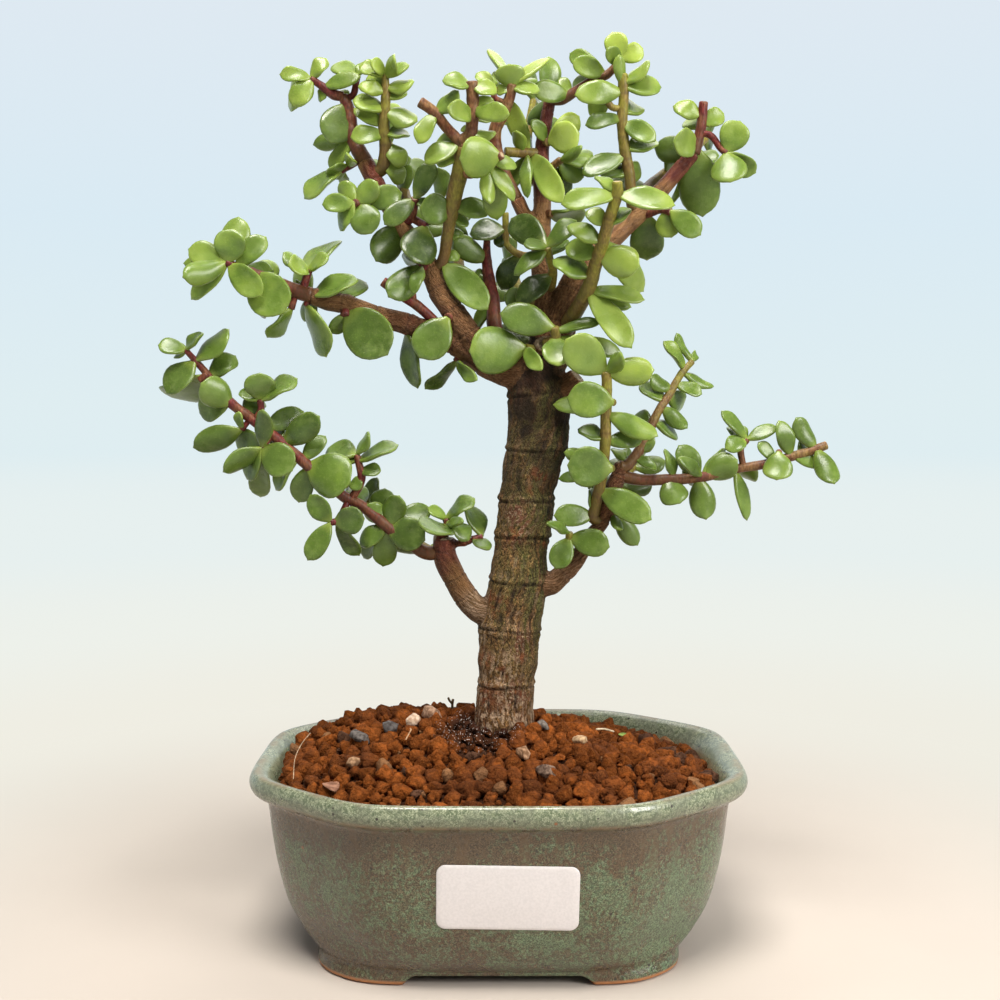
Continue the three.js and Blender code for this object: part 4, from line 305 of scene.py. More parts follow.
     [(21.7, 276, 32.3, 277.5, 0, 50), (21, 274.5, 29, 270, 3, 20, 8), (18.5, 273, 24.5, 264, 3, 25, 8),
      (21.7, 275.5, 29, 280, -2, 50, 5)]),
    ("top_limb_leaf", "top", "light", "pink",
     [((-3,), (18.5, 257.3, 1.4))],
     [(17, 257.4, 30.3, 257, 0, 60)]),
    ("right_olive_shoot", "upper_right", "light", "olive",
     [((-6,), (47.1, 259.8, 2.1), (46.5, 261.5, 2), (45.6, 271), (44, 279.5), (43, 289, 1.9),
      (43.5, 297, 1.8), (43.1, 305)), ((-1,), (39.6, 293.8, 1.2), (37, 297))],
     [(44.5, 301, 41.7, 311.4, -3, 35, 5), (44.5, 301.5, 52.5, 308.7, -1, 65), (44, 301, 56.1, 300.8, -1, 45),
      (43, 299.3, 27.5, 298.4, -4, 15, 8.3), (38.5, 295.5, 31.5, 292, 3, 15, 8),
      (42.5, 290, 30.8, 288.2, 1, 30, 5.8), (43.5, 288.5, 54.4, 283, -3, 20, 7.2),
      (44.3, 279.3, 55.4, 282.2, 1, 50), (44, 277.5, 29.8, 270.8, -1, 35, 8), (45, 271, 35.7, 271.8, 3, 40),
      (43.3, 292, 48, 295, 9, 20, 9), (45, 274, 49, 270, 9, 20, 8)]),
    ("right_tip_shoot", "upper_right", "light", "maroon",
     [((-2,), (68.3, 279, 2.2), (70.3, 286, 1.8), (71.3, 295.5, 1.6)), ((-2,), (74.2, 284, 1.2), (77.3, 280),
      (79.4, 278.3))],
     [(70.5, 291, 61.4, 294.6, -1, 30, 7), (71, 288, 78, 291.6, 2, 10, 6.8),
      (68.3, 279, 54.8, 279.8, 2, 5, 9.5), (70, 281, 61.8, 282, -5, 10, 9.8),
      (79.5, 278.6, 84, 288.8, -1, 5, 10.3), (79.8, 278.2, 89.4, 271.4, 1, 15, 7.5),
      (79.2, 278, 81, 268.4, -6, 0, 12.5), (70, 280, 71.4, 257.2, -5, 5, 14.5),
      (69.5, 279.5, 61.5, 261, 4, 50, 5), (70.5, 287, 66, 290, 9, 20, 8)]),
    ("right_maroon_twig", "upper_right", "light", "maroon",
     [((-6,), (52, 257.4, 1.6), (56.4, 258.8, 1.5), (60, 258.3))],
     [(60, 258.3, 70.5, 250.3, -1, 15, 8.5), (58, 258, 60.5, 249.5, -2, 5, 8.8),
      (51, 257, 52.2, 241.4, -2, 5, 12)]),
    ("front_olive_shoot", "upper_right", "light", "olive",
     [((-14, -24, -30), (22.6, 215, 2.8), (24.8, 219.8, 2.8), (27.8, 224.4, 2.7), (31.6, 231.6, 2.5),
      (33.8, 238.8, 2.3), (36.5, 247.5, 2.1), (38.8, 255.6, 2), (41.4, 263.8, 1.9), (41.5, 268.2, 1.7))],
     [(41.7, 263.5, 61, 260.8, -3, 35, 8.5), (41.2, 263.5, 22.7, 261.2, -2, 35, 8),
      (41.2, 264.5, 34.2, 270.8, 2, 45, 4.5), (35, 243, 49.2, 239.3, -4, 5, 10.7),
      (36.8, 248, 50.6, 231, 9, 20, 9), (31.3, 231.2, 50.6, 227.4, -1, 40, 7),
      (31.3, 231, 45.7, 224.8, 3, 30, 6), (46.3, 211.3, -2, 20, 9.5), (35, 243, 23.9, 245.6, 4, 20, 7.5),
      (32.5, 235.5, 19.9, 242.1, -1, 50), (36.5, 247.5, 24.8, 253.5, -1, 35, 7),
      (38, 253.5, 31, 258, 4, 30, 6), (38, 253, 45.8, 259.3, 1, 50)]),
    ("centre_shoot", "top", "mid", "olive",
     [((-18,), (18.2, 232, 1.8), (19, 238, 1.6), (17.8, 242, 1.4), (17, 245.8))],
     [(17, 245.8, 26.5, 255.3, -1, 30, 7.5), (16.8, 245.8, 9.1, 246.8, -2, 55),
      (16.7, 245, 5.6, 237.2, -2, 40, 6.5), (17, 245.8, 5, 255.2, -1, 10, 10),
      (18.8, 236.5, 6.6, 227.2, -2, 30, 9), (17.5, 243, 22, 249, 8, 20, 8)]),
    ("centre_back_twig", "top", "dark", "olive",
     [((-4,), (8, 243, 1.4), (3, 246.5, 1.2), (2.6, 251), (2.4, 257.5))],
     [(2.6, 250, -1, 246.7, 2, 40, 5), (2.5, 252, -9.6, 250.2, 1, 45), (8.5, 245, 1.3, 231.5, 3, 20, 8.5)]),
    ("centre_low_leaf", "top", "mid", "olive",
     [((-2,), (10.5, 226.5, 1.5))],
     [(10.5, 226.8, 2.5, 229.5, -1, 10, 7.5)]),
    ("centre_maroon_twig", "upper_left", "mid", "maroon",
     [((9,), (-1, 213, 2.7), (-1.6, 220, 2.7), (-2, 228, 2.3), (-3.6, 236, 2.1), (-4.2, 243, 1.6),
      (-4, 249, 1.1))],
     [(-3, 241, -15.4, 248.3, -3, 15, 8.3), (-1.8, 235.5, -8, 237, 1, 40), (0.2, 228.8, -5, 229, 1, 40),
      (-1, 228, -8, 216.5, 4, 45, 5)]),
    ("trunk_top_shoot", "cut_top", "light", "olive",
     [((-3,), (20, 214, 1.8), (19.6, 217.8, 1.6))],
     [(19.6, 217.8, 1.5, 222.8, -3, 10, 10.7), (24, 213, 43, 209.7, 1, 35, 7),
      (21, 216.5, 35.5, 219.5, 3, 40, 5), (20, 214.5, 21, 204.5, -2, 5, 10)]),
    ("trunk_top_leaf", "cut_top", "light", "olive",
     [((-4,), (9.5, 210.5, 1.6))],
     [(9, 212.5, -9.8, 209.5, -3, 5, 16), (9.5, 210.5, 14.5, 203.5, -3, 20, 5.5)]),
    ("right_green_shoot", "right", "light", "olive",
     [((-9, -10), (33.8, 150.5, 2.1), (34.4, 154, 2), (36, 161.8), (37.8, 176, 1.9), (38, 186.2),
      (38.3, 197.7, 1.8), (38, 202, 1.7)), ((-3,), (40.8, 191.5, 1.2)), ((-4,), (40.5, 168, 1.2))],
     [(38, 202, 24.4, 213.1, -3, 5, 13), (38.2, 202.2, 54.3, 202.8, -1, 5, 9.7),
      (38.2, 202, 44, 208.3, 3, 20, 6), (40.8, 191.5, 25, 193, -2, 5, 12), (38, 190, 20, 191, 1, 15, 6.5),
      (38.2, 187.7, 55.7, 179.5, -3, 25, 8), (38, 177.5, 51, 179.2, 1, 10, 6.5),
      (37.8, 178.5, 28.4, 181.7, 2, 55), (40.5, 168, 25, 169.2, -3, 0, 13.5),
      (36.8, 171, 23.7, 173.5, 2, 15, 5.5), (36, 166, 21.8, 164.5, 3, 30, 4.5),
      (36, 160.5, 53.8, 150.2, -4, 10, 10), (34.6, 151, 20.3, 151.3, -3, 15, 8),
      (34.4, 152, 32.8, 160.8, 2, 60)]),
    ("right_limb_leaves", "right", "mid", "pink",
     [((1,), (42, 151.5, 1.5))],
     [(41, 153, 46, 149, 3, 10, 6), (42, 150.5, 49.4, 141, 1, 10, 7), (40, 150, 43.5, 146, 2, 30, 4)]),
    ("right_low_twig", "right", "light", "olive",
     [((-5,), (25.5, 137, 1.5), (25.2, 145, 1.3))],
     [(25.4, 143.5, 38.9, 140.3, -4, 5, 9.5), (25, 143.5, 20.5, 132.5, -3, 5, 8),
      (25.2, 145, 18.6, 148.7, 1, 40, 4)]),
    ("right_long_shoot", "right", "light", "long",
     [((1, 0), (48.7, 164.3, 2.1), (53, 164, 2), (66.5, 164.4, 1.8), (77.8, 166, 1.7), (84.7, 168, 1.6),
      (93.5, 169.4), (102.4, 171.9), (109.4, 173.8), (116.3, 176.3, 1.5)), ((1,), (86, 175, 1.2),
      (88, 178.2)), ((-3,), (99.5, 174, 1.1))],
     [(62.4, 165, 60, 175, 2, 45, 5), (59.5, 165, 64.5, 156, -5, 15, 10), (71.4, 166, 64.5, 175.8, -1, 10, 8),
      (72.5, 165, 65.2, 171.5, -3, 35, 5), (73, 166.5, 84.5, 171, -3, 5, 9.5), (72, 166, 81, 174.7, 3, 30, 5),
      (71.4, 164, 73.8, 150.4, -1, 5, 9), (84.3, 166.5, 88.6, 150.2, 0, 50, 6.5),
      (88, 178.2, 79.4, 188.2, 0, 50, 6), (87.5, 178, 82.2, 182.7, 1, 50),
      (89, 177.5, 81, 175.5, -4, 20, 6.5), (88.5, 178.5, 98.4, 182.8, 0, 30, 5.5),
      (104, 172, 100, 184.4, -1, 20, 6.5), (98, 171, 92.5, 177.3, 2, 30, 5), (99.5, 174, 99, 164, -4, 5, 10),
      (104.5, 172, 114.6, 169, -1, 30, 5), (112.3, 175.5, 105.2, 185.6, 0, 30, 7),
      (113, 175, 119.3, 162.5, -1, 15, 7.5), (66, 164.4, 70, 168, 9, 20, 9), (91, 169, 86, 165, 9, 20, 9),
      (107, 173, 110, 177, 9, 20, 8)]),
    ("right_rising_shoot", "right", "light", "rising",
     [((4, 10), (45.5, 169, 2), (50, 174.5, 1.8), (53.5, 182, 1.7), (57, 189, 1.5), (60.8, 195, 1.4),
      (64.5, 201.5, 1.3), (68.3, 205.8, 1.1))],
     [(61, 196, 53.5, 199.9, -1, 40), (58.5, 192, 50.3, 197.9, -1, 50), (58.5, 189.5, 66.4, 182.4, -1, 20, 6),
      (55.5, 184.5, 63.4, 179, 1, 65), (62.5, 198, 71.6, 194.4, -1, 30, 5.5),
      (65, 201.8, 75.2, 196.6, 0, 60, 5.5), (65.5, 203, 59, 213, -1, 55, 5.5),
      (68.3, 206, 62.3, 215, 1, 60, 4.5), (68, 206, 70, 209.5, 1, 30, 3), (49.5, 174, 55.5, 178.3, -1, 30, 4),
      (48, 172, 56, 168, -2, 30, 4), (45.5, 170, 40.5, 176, 0, 30, 4), (54, 183, 48, 186, 9, 20, 8),
      (60, 194, 66, 190, 9, 20, 8)]),
]

# A shoot of the back: name, limb it grows on, look, leaf size, changes of depth, and points like a limb's.
BACK_PAIRS = 4
BACK_SHOOTS = [
    ("back_shoot_left_low", "left", "mid", 13, (14, 34),
     (-60, 228.5, 2), (-70, 230, 1.7), (-82, 229, 1.3)),
    ("back_shoot_left_high", "upper_left", "mid", 13, (20, 44),
     (-32, 259, 2.2), (-34, 268, 1.9), (-38, 281, 1.4)),
    ("back_shoot_left_inner", "upper_left", "dark", 13, (18, 38),
     (-14, 236, 2.1), (-16, 248, 1.8), (-20, 262, 1.4)),
    ("back_shoot_centre_low", "trunk", "dark", 14, (22, 46),
     (13, 214, 2.3), (9, 226, 2), (4, 240, 1.5)),
    ("back_shoot_centre_high", "top", "mid", 13, (16, 30),
     (12, 270, 2.2), (10, 282, 1.8), (12, 296, 1.3)),
    ("back_shoot_right_high", "upper_right", "mid", 13, (18, 40),
     (52, 266, 2.2), (62, 274, 1.9), (72, 283, 1.4)),
    ("back_shoot_right_low", "right", "dark", 13, (24, 44),
     (39, 156, 2.1), (43, 162, 1.8), (50, 172, 1.4)),
    ("back_shoot_stub", "stub", "dark", 13, (38, 46, 40),
     (-26, 139.4, 1.9), (-41, 152, 1.8), (-56, 164, 1.4)),
]

# How reddish and smooth a limb is, at its foot and at its tip: 0 is old corky bark.
YOUNG = {
    "trunk": (0.0, 0.05), "stub": (0.25, 0.95), "stub_spur": (0.9, 1.0), "stub_twig": (0.7, 1.0),
    "left": (0.25, 0.75), "upper_left": (0.0, 1.0), "top": (0.25, 0.7), "top_side": (0.4, 0.6),
    "upper_right": (0.05, 0.9), "cut_top": (0.1, 0.3), "cut_right": (0.1, 0.3), "right": (0.1, 0.45),
}
# Where along a limb its bark is tan, from and to in millimetres from its start, and how much.
TAN_FOOT = {"stub": (5, 24, 0.95), "right": (6, 40, 0.3)}
# Stem colour at a shoot's foot, at its tip and on its side stems: 0 is olive green, 0.5 is tan, 1 is maroon.
TINTS = {
    "olive": (0.3, 0.05, 0.1), "blush": (0.4, 0.15, 0.68), "green": (0.1, 0.0, 0.0), "tan": (0.5, 0.45, 0.5),
    "pink": (0.85, 0.62, 0.8), "maroon": (1.0, 0.95, 1.0), "rising": (0.72, 0.1, 0.4),
    "long": (1.0, 0.5, 0.9),
}
# Most are painted shade on leaves that lie under others, and some are painted light.
# Leaves that stand apart in tone: place of a leaf's middle in the elevation, and how much lighter it is.
LEAF_SHADE_AND_LIGHT = (
    (-57, 288, -0.5), (-40, 247, -0.3), (-27, 248, -0.52), (-19, 259, -0.22), (-26, 267, -0.25),
    (-33, 258, -0.12), (-61, 281, -0.25), (-57, 275, -0.22), (13, 291, -0.35), (24, 269, -0.28),
    (36, 274, -0.2), (58, 279, -0.28), (71, 266, -0.12), (13, 231, -0.4), (3, 238, -0.35),
    (10, 241, -0.12), (3, 229, -0.3), (25, 243, -0.28), (51, 249, -0.14), (10, 251, -0.1), (7, 287, 0.5),
    (17, 270, 0.34), (23, 283, 0.42), (19, 300, -0.1), (17, 305, -0.1), (31, 263, 0.02), (42, 241, 0.22),
    (40, 220, 0.24), (41, 315, 0.3), (46, 312, 0.3), (11, 307, 0.2), (0, 308, 0.15), (-47, 235, -0.12),
    (-22, 214, -0.15), (-47, 216.5, -0.3), (-30, 206, -0.3), (-20, 201, -0.25), (10, 220, -0.2),
    (-60.8, 165.7, 0.14), (31, 208, 0.28), (46, 203, 0.2), (-11, 232, 0.05), (35, 292, 0.0),
    (35, 289, -0.35),
)
LOOKS = {"light": 0.5, "mid": 0.39, "dark": 0.18}
# Middle of the shaded inside of the crown, and the share at which distances from it count along each axis.
CROWN_HEART = np.array((6.0, 4.0, 243.0))
CROWN_SQUASH = np.array((0.8, 1.0, 0.95))


# ---------------------------------------------------------------- settings
def colour_setting(name, description, default):
    return bpy.props.FloatVectorProperty(
        name=name, description=description, subtype="COLOR", size=3, default=default, min=0, max=1)


def length_setting(name, description, default, least, most):
    return bpy.props.FloatProperty(
        name=name, description=description, default=default, min=least, max=most, unit="LENGTH")


class BonsaiSettings(bpy.types.PropertyGroup):
    """Sizes and colours that a user would change."""
    leaf_thickness: length_setting(
        "Leaf thickness", "Thickness of a blade at its middle", 0.0022, 0.0006, 0.004)
    leaf_bright: colour_setting("Bright leaf", "Colour of young leaves at the tips", (0.290, 0.37, 0.056))
    leaf_middle: colour_setting("Green leaf", "Colour of full-grown leaves", (0.102, 0.165, 0.022))
    leaf_deep: colour_setting("Deep leaf", "Colour of old and shaded leaves", (0.029, 0.052, 0.007))
    stem_maroon: colour_setting("Red stem", "Colour of reddish young stems", (0.115, 0.017, 0.014))
    stem_olive: colour_setting("Olive stem", "Colour of green young stems", (0.185, 0.165, 0.022))
    bark: colour_setting("Bark", "Main colour of the old bark", (0.215, 0.112, 0.040))
    glaze_green: colour_setting("Green glaze", "Green of the pot's mottled glaze", (0.104, 0.148, 0.076))
    glaze_brown: colour_setting(
        "Brown glaze", "Grey-brown of the glaze where it runs thin", (0.105, 0.069, 0.037))
    granule_size: length_setting("Granule size", "Mean diameter of a soil granule", 0.0078, 0.002, 0.012)
    granule_spacing: length_setting(
        "Granule spacing", "Least distance between the middles of two granules", 0.005, 0.001, 0.012)
    granule_seed: bpy.props.IntProperty(
        name="Granule seed", description="Which scatter of granules is made", default=7, min=0)
    soil: colour_setting("Granules", "Main colour of the fired-clay granules", (0.205, 0.055, 0.010))
    floor: colour_setting("Floor", "Colour of the floor under the pot", (0.488, 0.432, 0.380))


def settings():
    return bpy.context.scene.bonsai


# ---------------------------------------------------------------- helpers for nodes and meshes
def fill(node, inputs):
    """Gives a node's inputs values, or links from other nodes."""
    for key, value in inputs.items():
        if isinstance(value, bpy.types.NodeSocket):
            node.id_data.links.new(value, node.inputs[key])
        else:
            node.inputs[key].default_value = value


def add_node(tree, kind, inputs=None, **options):
    """Adds a node, sets its options, and fills its inputs with values or links."""
    made = tree.nodes.new(kind)
    for option, value in options.items():
        setattr(made, option, value)
    fill(made, inputs or {})
    return made


def tree_of(*values):
    """The node tree of the first socket among the values."""
    return next(value.id_data for value in values if isinstance(value, bpy.types.NodeSocket))


def shaded(colour, factor):
    """A colour made darker or lighter."""
    return [min(1.0, channel * factor) for channel in colour]


def colour_value(value):
    """A colour of three numbers gets its fourth, and a link stays as it is."""
    return value if isinstance(value, bpy.types.NodeSocket) else (*value, 1.0)


def mix(factor, first, second):
    """From the first colour to the second as the factor runs from nothing to one."""
    made = add_node(tree_of(factor, first, second), "ShaderNodeMix", data_type="RGBA")
    fill(made, {0: factor, 6: colour_value(first), 7: colour_value(second)})
    return made.outputs[2]


def maths(operation, first, second, clamp=False):
    made = add_node(tree_of(first, second), "ShaderNodeMath", operation=operation, use_clamp=clamp)
    fill(made, {0: first, 1: second})
    return made.outputs[0]


def times(first, second, clamp=False):
    return maths("MULTIPLY", first, second, clamp)


def plus(first, second, clamp=False):
    return maths("ADD", first, second, clamp)


def minus(first, second):
    return maths("SUBTRACT", first, second)


def varied(mask, colour, low, high):
    """A colour that runs from one brightness to another over a mask."""
    return mix(mask, shaded(colour, low), shaded(colour, high))


def coat(under, mask, colour, share=1.0):
    """Lays a colour over the colour under it where the mask is, as thickly as the share says."""
    return mix(mask if share == 1.0 else times(mask, share), under, colour)


def ramp(value, start, end, low=0.0, high=1.0, kind="LINEAR"):
    """Runs from low to high while the value runs from start to end."""
    return add_node(tree_of(value), "ShaderNodeMapRange", {
        "Value": value, "From Min": start, "From Max": end, "To Min": low, "To Max": high},
        interpolation_type=kind).outputs["Result"]


def grit(vector, scale, detail, roughness=0.5):
    """Plain noise; the scale is lumps in a metre."""
    return add_node(tree_of(vector), "ShaderNodeTexNoise", {
        "Vector": vector, "Scale": scale, "Detail": detail, "Roughness": roughness}).outputs["Fac"]


def attribute(tree, name, output="Fac"):
    """A value that is stored with the points of a piece."""
    made = add_node(tree, "ShaderNodeAttribute", attribute_type="GEOMETRY", attribute_name=name)
    return made.outputs[output]


def effect_group(name, sockets):
    """A shared effect that takes a vector and numbers and gives a mask: the group and its input."""
    group = bpy.data.node_groups.new(name, "ShaderNodeTree")
    group.interface.new_socket(name="Vector", in_out="INPUT", socket_type="NodeSocketVector")
    for socket in sockets:
        group.interface.new_socket(name=socket, in_out="INPUT", socket_type="NodeSocketFloat")
    group.interface.new_socket(name="Mask", in_out="OUTPUT", socket_type="NodeSocketFloat")
    return group, add_node(group, "NodeGroupInput").outputs


def mottle_group():
    """Shared effect: a soft mask of blotches. Scale is blotches in a metre."""
    group, entry = effect_group("Mottle", ("Scale", "Detail", "Low", "High"))
    cloud = grit(entry["Vector"], entry["Scale"], entry["Detail"])
    add_node(group, "NodeGroupOutput", {"Mask": ramp(cloud, entry["Low"], entry["High"], kind="SMOOTHSTEP")})
    return group


def speck_group():
    """Shared effect: small round specks scattered thinly. Scale is cells in a metre."""
    group, entry = effect_group("Specks", ("Scale", "Size", "Share"))
    cells = add_node(group, "ShaderNodeTexVoronoi", {"Vector": entry["Vector"], "Scale": entry["Scale"]})
    near = maths("LESS_THAN", cells.outputs["Distance"], entry["Size"])
    part = add_node(group, "ShaderNodeSeparateColor", {"Color": cells.outputs["Color"]})
    picked = maths("LESS_THAN", part.outputs[0], entry["Share"])
    add_node(group, "NodeGroupOutput", {"Mask": times(near, picked)})
    return group


def mottle(vector, scale, low, high, detail):
    """Soft blotches: the mask runs from nothing to one while the noise runs from low to high."""
    return add_node(
        vector.id_data, "ShaderNodeGroup", node_tree=bpy.data.node_groups.get("Mottle") or mottle_group(),
        inputs={"Vector": vector, "Scale": scale, "Detail": detail, "Low": low, "High": high}).outputs["Mask"]


def specks(vector, scale, size, share):
    """Round specks in a share of the cells."""
    return add_node(
        vector.id_data, "ShaderNodeGroup", node_tree=bpy.data.node_groups.get("Specks") or speck_group(),
        inputs={"Vector": vector, "Scale": scale, "Size": size, "Share": share}).outputs["Mask"]


def geometry_group(name, inputs, output):
    """A tree of geometry nodes, what comes into it, and the modifier's name for each input."""
    tree = bpy.data.node_groups.new(name, "GeometryNodeTree")
    keys = {}
    for label, kind in inputs:
        socket = tree.interface.new_socket(name=label, in_out="INPUT", socket_type="NodeSocket" + kind)
        keys[label] = socket.identifier
    tree.interface.new_socket(name=output, in_out="OUTPUT", socket_type="NodeSocketGeometry")
    return tree, add_node(tree, "NodeGroupInput").outputs, keys


def stored(tree, name, kind="FLOAT"):
    """A stored value of each point, for geometry nodes."""
    made = add_node(tree, "GeometryNodeInputNamedAttribute", {"Name": name}, data_type=kind)
    return made.outputs["Attribute"]


def drawn_value(tree, kind, **inputs):
    """A random value for each point, drawn by its seed."""
    made = add_node(tree, "FunctionNodeRandomValue", inputs, data_type=kind)
    return next(output for output in made.outputs if output.enabled)


def placed_shapes(points, shapes, index, rotation, scale):
    """One shape of a collection on each point."""
    tree = points.id_data
    kinds = add_node(tree, "GeometryNodeCollectionInfo", {
        "Collection": shapes, "Separate Children": True, "Reset Children": True})
    return add_node(tree, "GeometryNodeInstanceOnPoints", {
        "Points": points, "Instance": kinds.outputs["Instances"], "Pick Instance": True,
        "Instance Index": index, "Rotation": rotation, "Scale": scale}).outputs["Instances"]


def joined(parts, output, finish, selection=True):
    """Joins parts into the group's output, and gives the selected faces their finish."""
    tree = finish.id_data
    both = add_node(tree, "GeometryNodeJoinGeometry")
    for part in parts:
        tree.links.new(part, both.inputs["Geometry"])
    plain = add_node(tree, "GeometryNodeRealizeInstances", {"Geometry": both.outputs["Geometry"]})
    painted = add_node(tree, "GeometryNodeSetMaterial", {
        "Geometry": plain.outputs["Geometry"], "Selection": selection, "Material": finish})
    add_node(tree, "NodeGroupOutput", {output: painted.outputs["Geometry"]})


def round_spot(place, centre, inner, outer):
    """One inside a ball of the inner radius, fading to nothing at the outer one; in millimetres."""
    apart = add_node(
        place.id_data, "ShaderNodeVectorMath", {0: place, 1: Vector(centre) * MM}, operation="DISTANCE")
    return ramp(apart.outputs["Value"], inner * MM, outer * MM, 1.0, 0.0)


def blank_material(name):
    """A material with its Principled shader, and the object's own coordinates."""
    material = bpy.data.materials.new(name)
    material.use_nodes = True
    tree = material.node_tree
    tree.nodes.clear()
    shader = add_node(tree, "ShaderNodeBsdfPrincipled")
    add_node(tree, "ShaderNodeOutputMaterial", {"Surface": shader.outputs["BSDF"]})
    place = add_node(tree, "ShaderNodeTexCoord").outputs["Object"]
    return material, tree, shader, place


def stretched(vector, scale):
    """The place, scaled along each axis, for patterns that are longer one way."""
    return add_node(vector.id_data, "ShaderNodeMapping", {"Vector": vector, "Scale": scale}).outputs["Vector"]


def bump(shader, height, strength, distance):
    """Gives a shader fine relief from a height; the distance is in metres."""
    made = add_node(shader.id_data, "ShaderNodeBump", {
        "Height": height, "Strength": strength, "Distance": distance})
    fill(shader, {"Normal": made.outputs["Normal"]})


def skin(rows, around, first=0):
    """Faces between rings of vertices that follow each other."""
    return [(first + i * around + k, first + i * around + (k + 1) % around,
             first + (i + 1) * around + (k + 1) % around, first + (i + 1) * around + k)
            for i in range(rows - 1) for k in range(around)]


def lid(centre, first, around):
    """Faces that close a ring of vertices with one in its middle."""
    return [(centre, first + k, first + (k + 1) % around) for k in range(around)]


def round_steps(around):
    """Cosine and sine of each step of a full turn."""
    return [(math.cos(2 * math.pi * k / around), math.sin(2 * math.pi * k / around)) for k in range(around)]


def mesh_object(name, verts, faces):
    """A piece from vertices in millimetres."""
    mesh = bpy.data.meshes.new(name)
    mesh.from_pydata((np.asarray(verts, float) * MM).tolist(), [], faces)
    mesh.validate()
    work = bmesh.new()
    work.from_mesh(mesh)
    bmesh.ops.recalc_face_normals(work, faces=work.faces)
    work.to_mesh(mesh)
    work.free()
    mesh.shade_smooth()
    piece = bpy.data.objects.new(name, mesh)
    bpy.context.scene.collection.objects.link(piece)
    return piece


def write_attributes(piece, kind="FLOAT", **layers):
    """Stores numbers or vectors for the points of a piece, for its finish or its geometry nodes."""
    key = "vector" if kind == "FLOAT_VECTOR" else "value"
    for name, values in layers.items():
        layer = piece.data.attributes.new(name, kind, "POINT")
        layer.data.foreach_set(key, np.asarray(values, int if kind == "INT" else float).ravel())


def set_material(piece, *materials):
    """The piece wears these materials and no others."""
    piece.data.materials.clear()
    for material in materials:
        piece.data.materials.append(material)


def seat(piece, slot, *nodes):
    """The piece rides on the object's body and stands for the nodes, which it hides; the slot is not used."""
    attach(piece, BODY)
    if nodes:
        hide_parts(*nodes)


def baked(piece):
    """Turns a piece with modifiers into a plain mesh."""
    bpy.context.view_layer.update()
    graph = bpy.context.evaluated_depsgraph_get()
    mesh = bpy.data.meshes.new_from_object(
        piece.evaluated_get(graph), preserve_all_data_layers=True, depsgraph=graph)
    piece.modifiers.clear()
    piece.data = mesh
    mesh.name = piece.name


def random_from(seed):
    """Repeatable random numbers, the same as the solids use."""
    state = seed
    while True:
        state = (state * DRAW_FACTOR) % DRAW_LIMIT
        yield state / DRAW_LIMIT


def bell(offset, spread):
    """One at no offset, falling to nothing at about two spreads."""
    return math.exp(-(offset / spread) ** 2)


# ---------------------------------------------------------------- laying out the tree
def pushed(x, z, y):
    """A point of the elevation, pushed back along its line of sight to a depth."""
    k = (y - EYE[1]) / -EYE[1]
    return np.array((EYE[0] + (x - EYE[0]) * k, y, EYE[2] + (z - EYE[2]) * k))


def flattened(point):
    """Where a point shows in the elevation, and its depth."""
    k = (point[1] - EYE[1]) / -EYE[1]
    return EYE[0] + (point[0] - EYE[0]) / k, EYE[2] + (point[2] - EYE[2]) / k, point[1]


def unit(vector):
    return vector / np.linalg.norm(vector)


def nearest_on(stems, x, z):
    """The place on a set of stems that lies nearest to x, z in the elevation."""
    best = {"distance": math.inf}
    for stem in stems:
        flat = stem["flat"]
        for (ax, az, ay), (bx, bz, by) in zip(flat, flat[1:]):
            length2 = (bx - ax) ** 2 + (bz - az) ** 2
            along = 0 if length2 < 1e-9 else ((x - ax) * (bx - ax) + (z - az) * (bz - az)) / length2
            t = min(1.0, max(0.0, along))
            distance = math.hypot(ax + t * (bx - ax) - x, az + t * (bz - az) - z)
            if distance < best["distance"] - 1e-9:
                tangent = unit(pushed(bx, bz, by) - pushed(ax, az, ay))
                best = {"distance": distance, "x": ax + t * (bx - ax), "z": az + t * (bz - az),
                        "y": ay + t * (by - ay), "tangent": tangent}
    return best


def lay_stem(lean, line, start):
    """A stem's axis: points with depths spread along its length, and a radius at each."""
    flat, radii = [], []
    radius = line[0][2]
    if start and math.hypot(line[0][0] - start["x"], line[0][1] - start["z"]) > 0.4:
        flat.append((start["x"], start["z"]))
        radii.append(radius)
    for row in line:
        radius = row[2] if len(row) > 2 else radius
        flat.append((row[0], row[1]))
        radii.append(radius)
    lengths = [0.0]
    for (ax, az), (bx, bz) in zip(flat, flat[1:]):
        lengths.append(lengths[-1] + math.hypot(bx - ax, bz - az))
    total = max(lengths[-1], 1e-6)
    marks = (0, *lean)
    base = start["y"] if start else 0
    placed = []
    for (x, z), length in zip(flat, lengths):
        place = length / total * len(lean)
        k = min(int(place), len(lean) - 1)
        placed.append((x, z, base + marks[k] + (marks[k + 1] - marks[k]) * (place - k)))
    return {"flat": placed, "radii": radii, "points": np.array([pushed(x, z, y) for x, z, y in placed])}


# Half-width of a solid blade at shares of its length, and the points of it that are tried against its
# neighbours: share of the length, and share of the half-width to either side.
BLADE = ((0, 0), (0.34, 0.38), (0.76, 0.5), (1, 0))
PROBES = ((0.3, 0), (0.45, -0.8), (0.45, 0.8), (0.5, 0), (0.65, -0.95), (0.65, 0.95), (0.65, -0.45),
          (0.65, 0.45), (0.75, 0), (0.85, -0.9), (0.85, 0.9), (0.9, 0), (0.95, -0.4), (0.95, 0.4), (1, 0))


def half_width(u):
    """Half-width of a solid blade at a share of its length."""
    return np.interp(u, [row[0] for row in BLADE], [row[1] for row in BLADE])


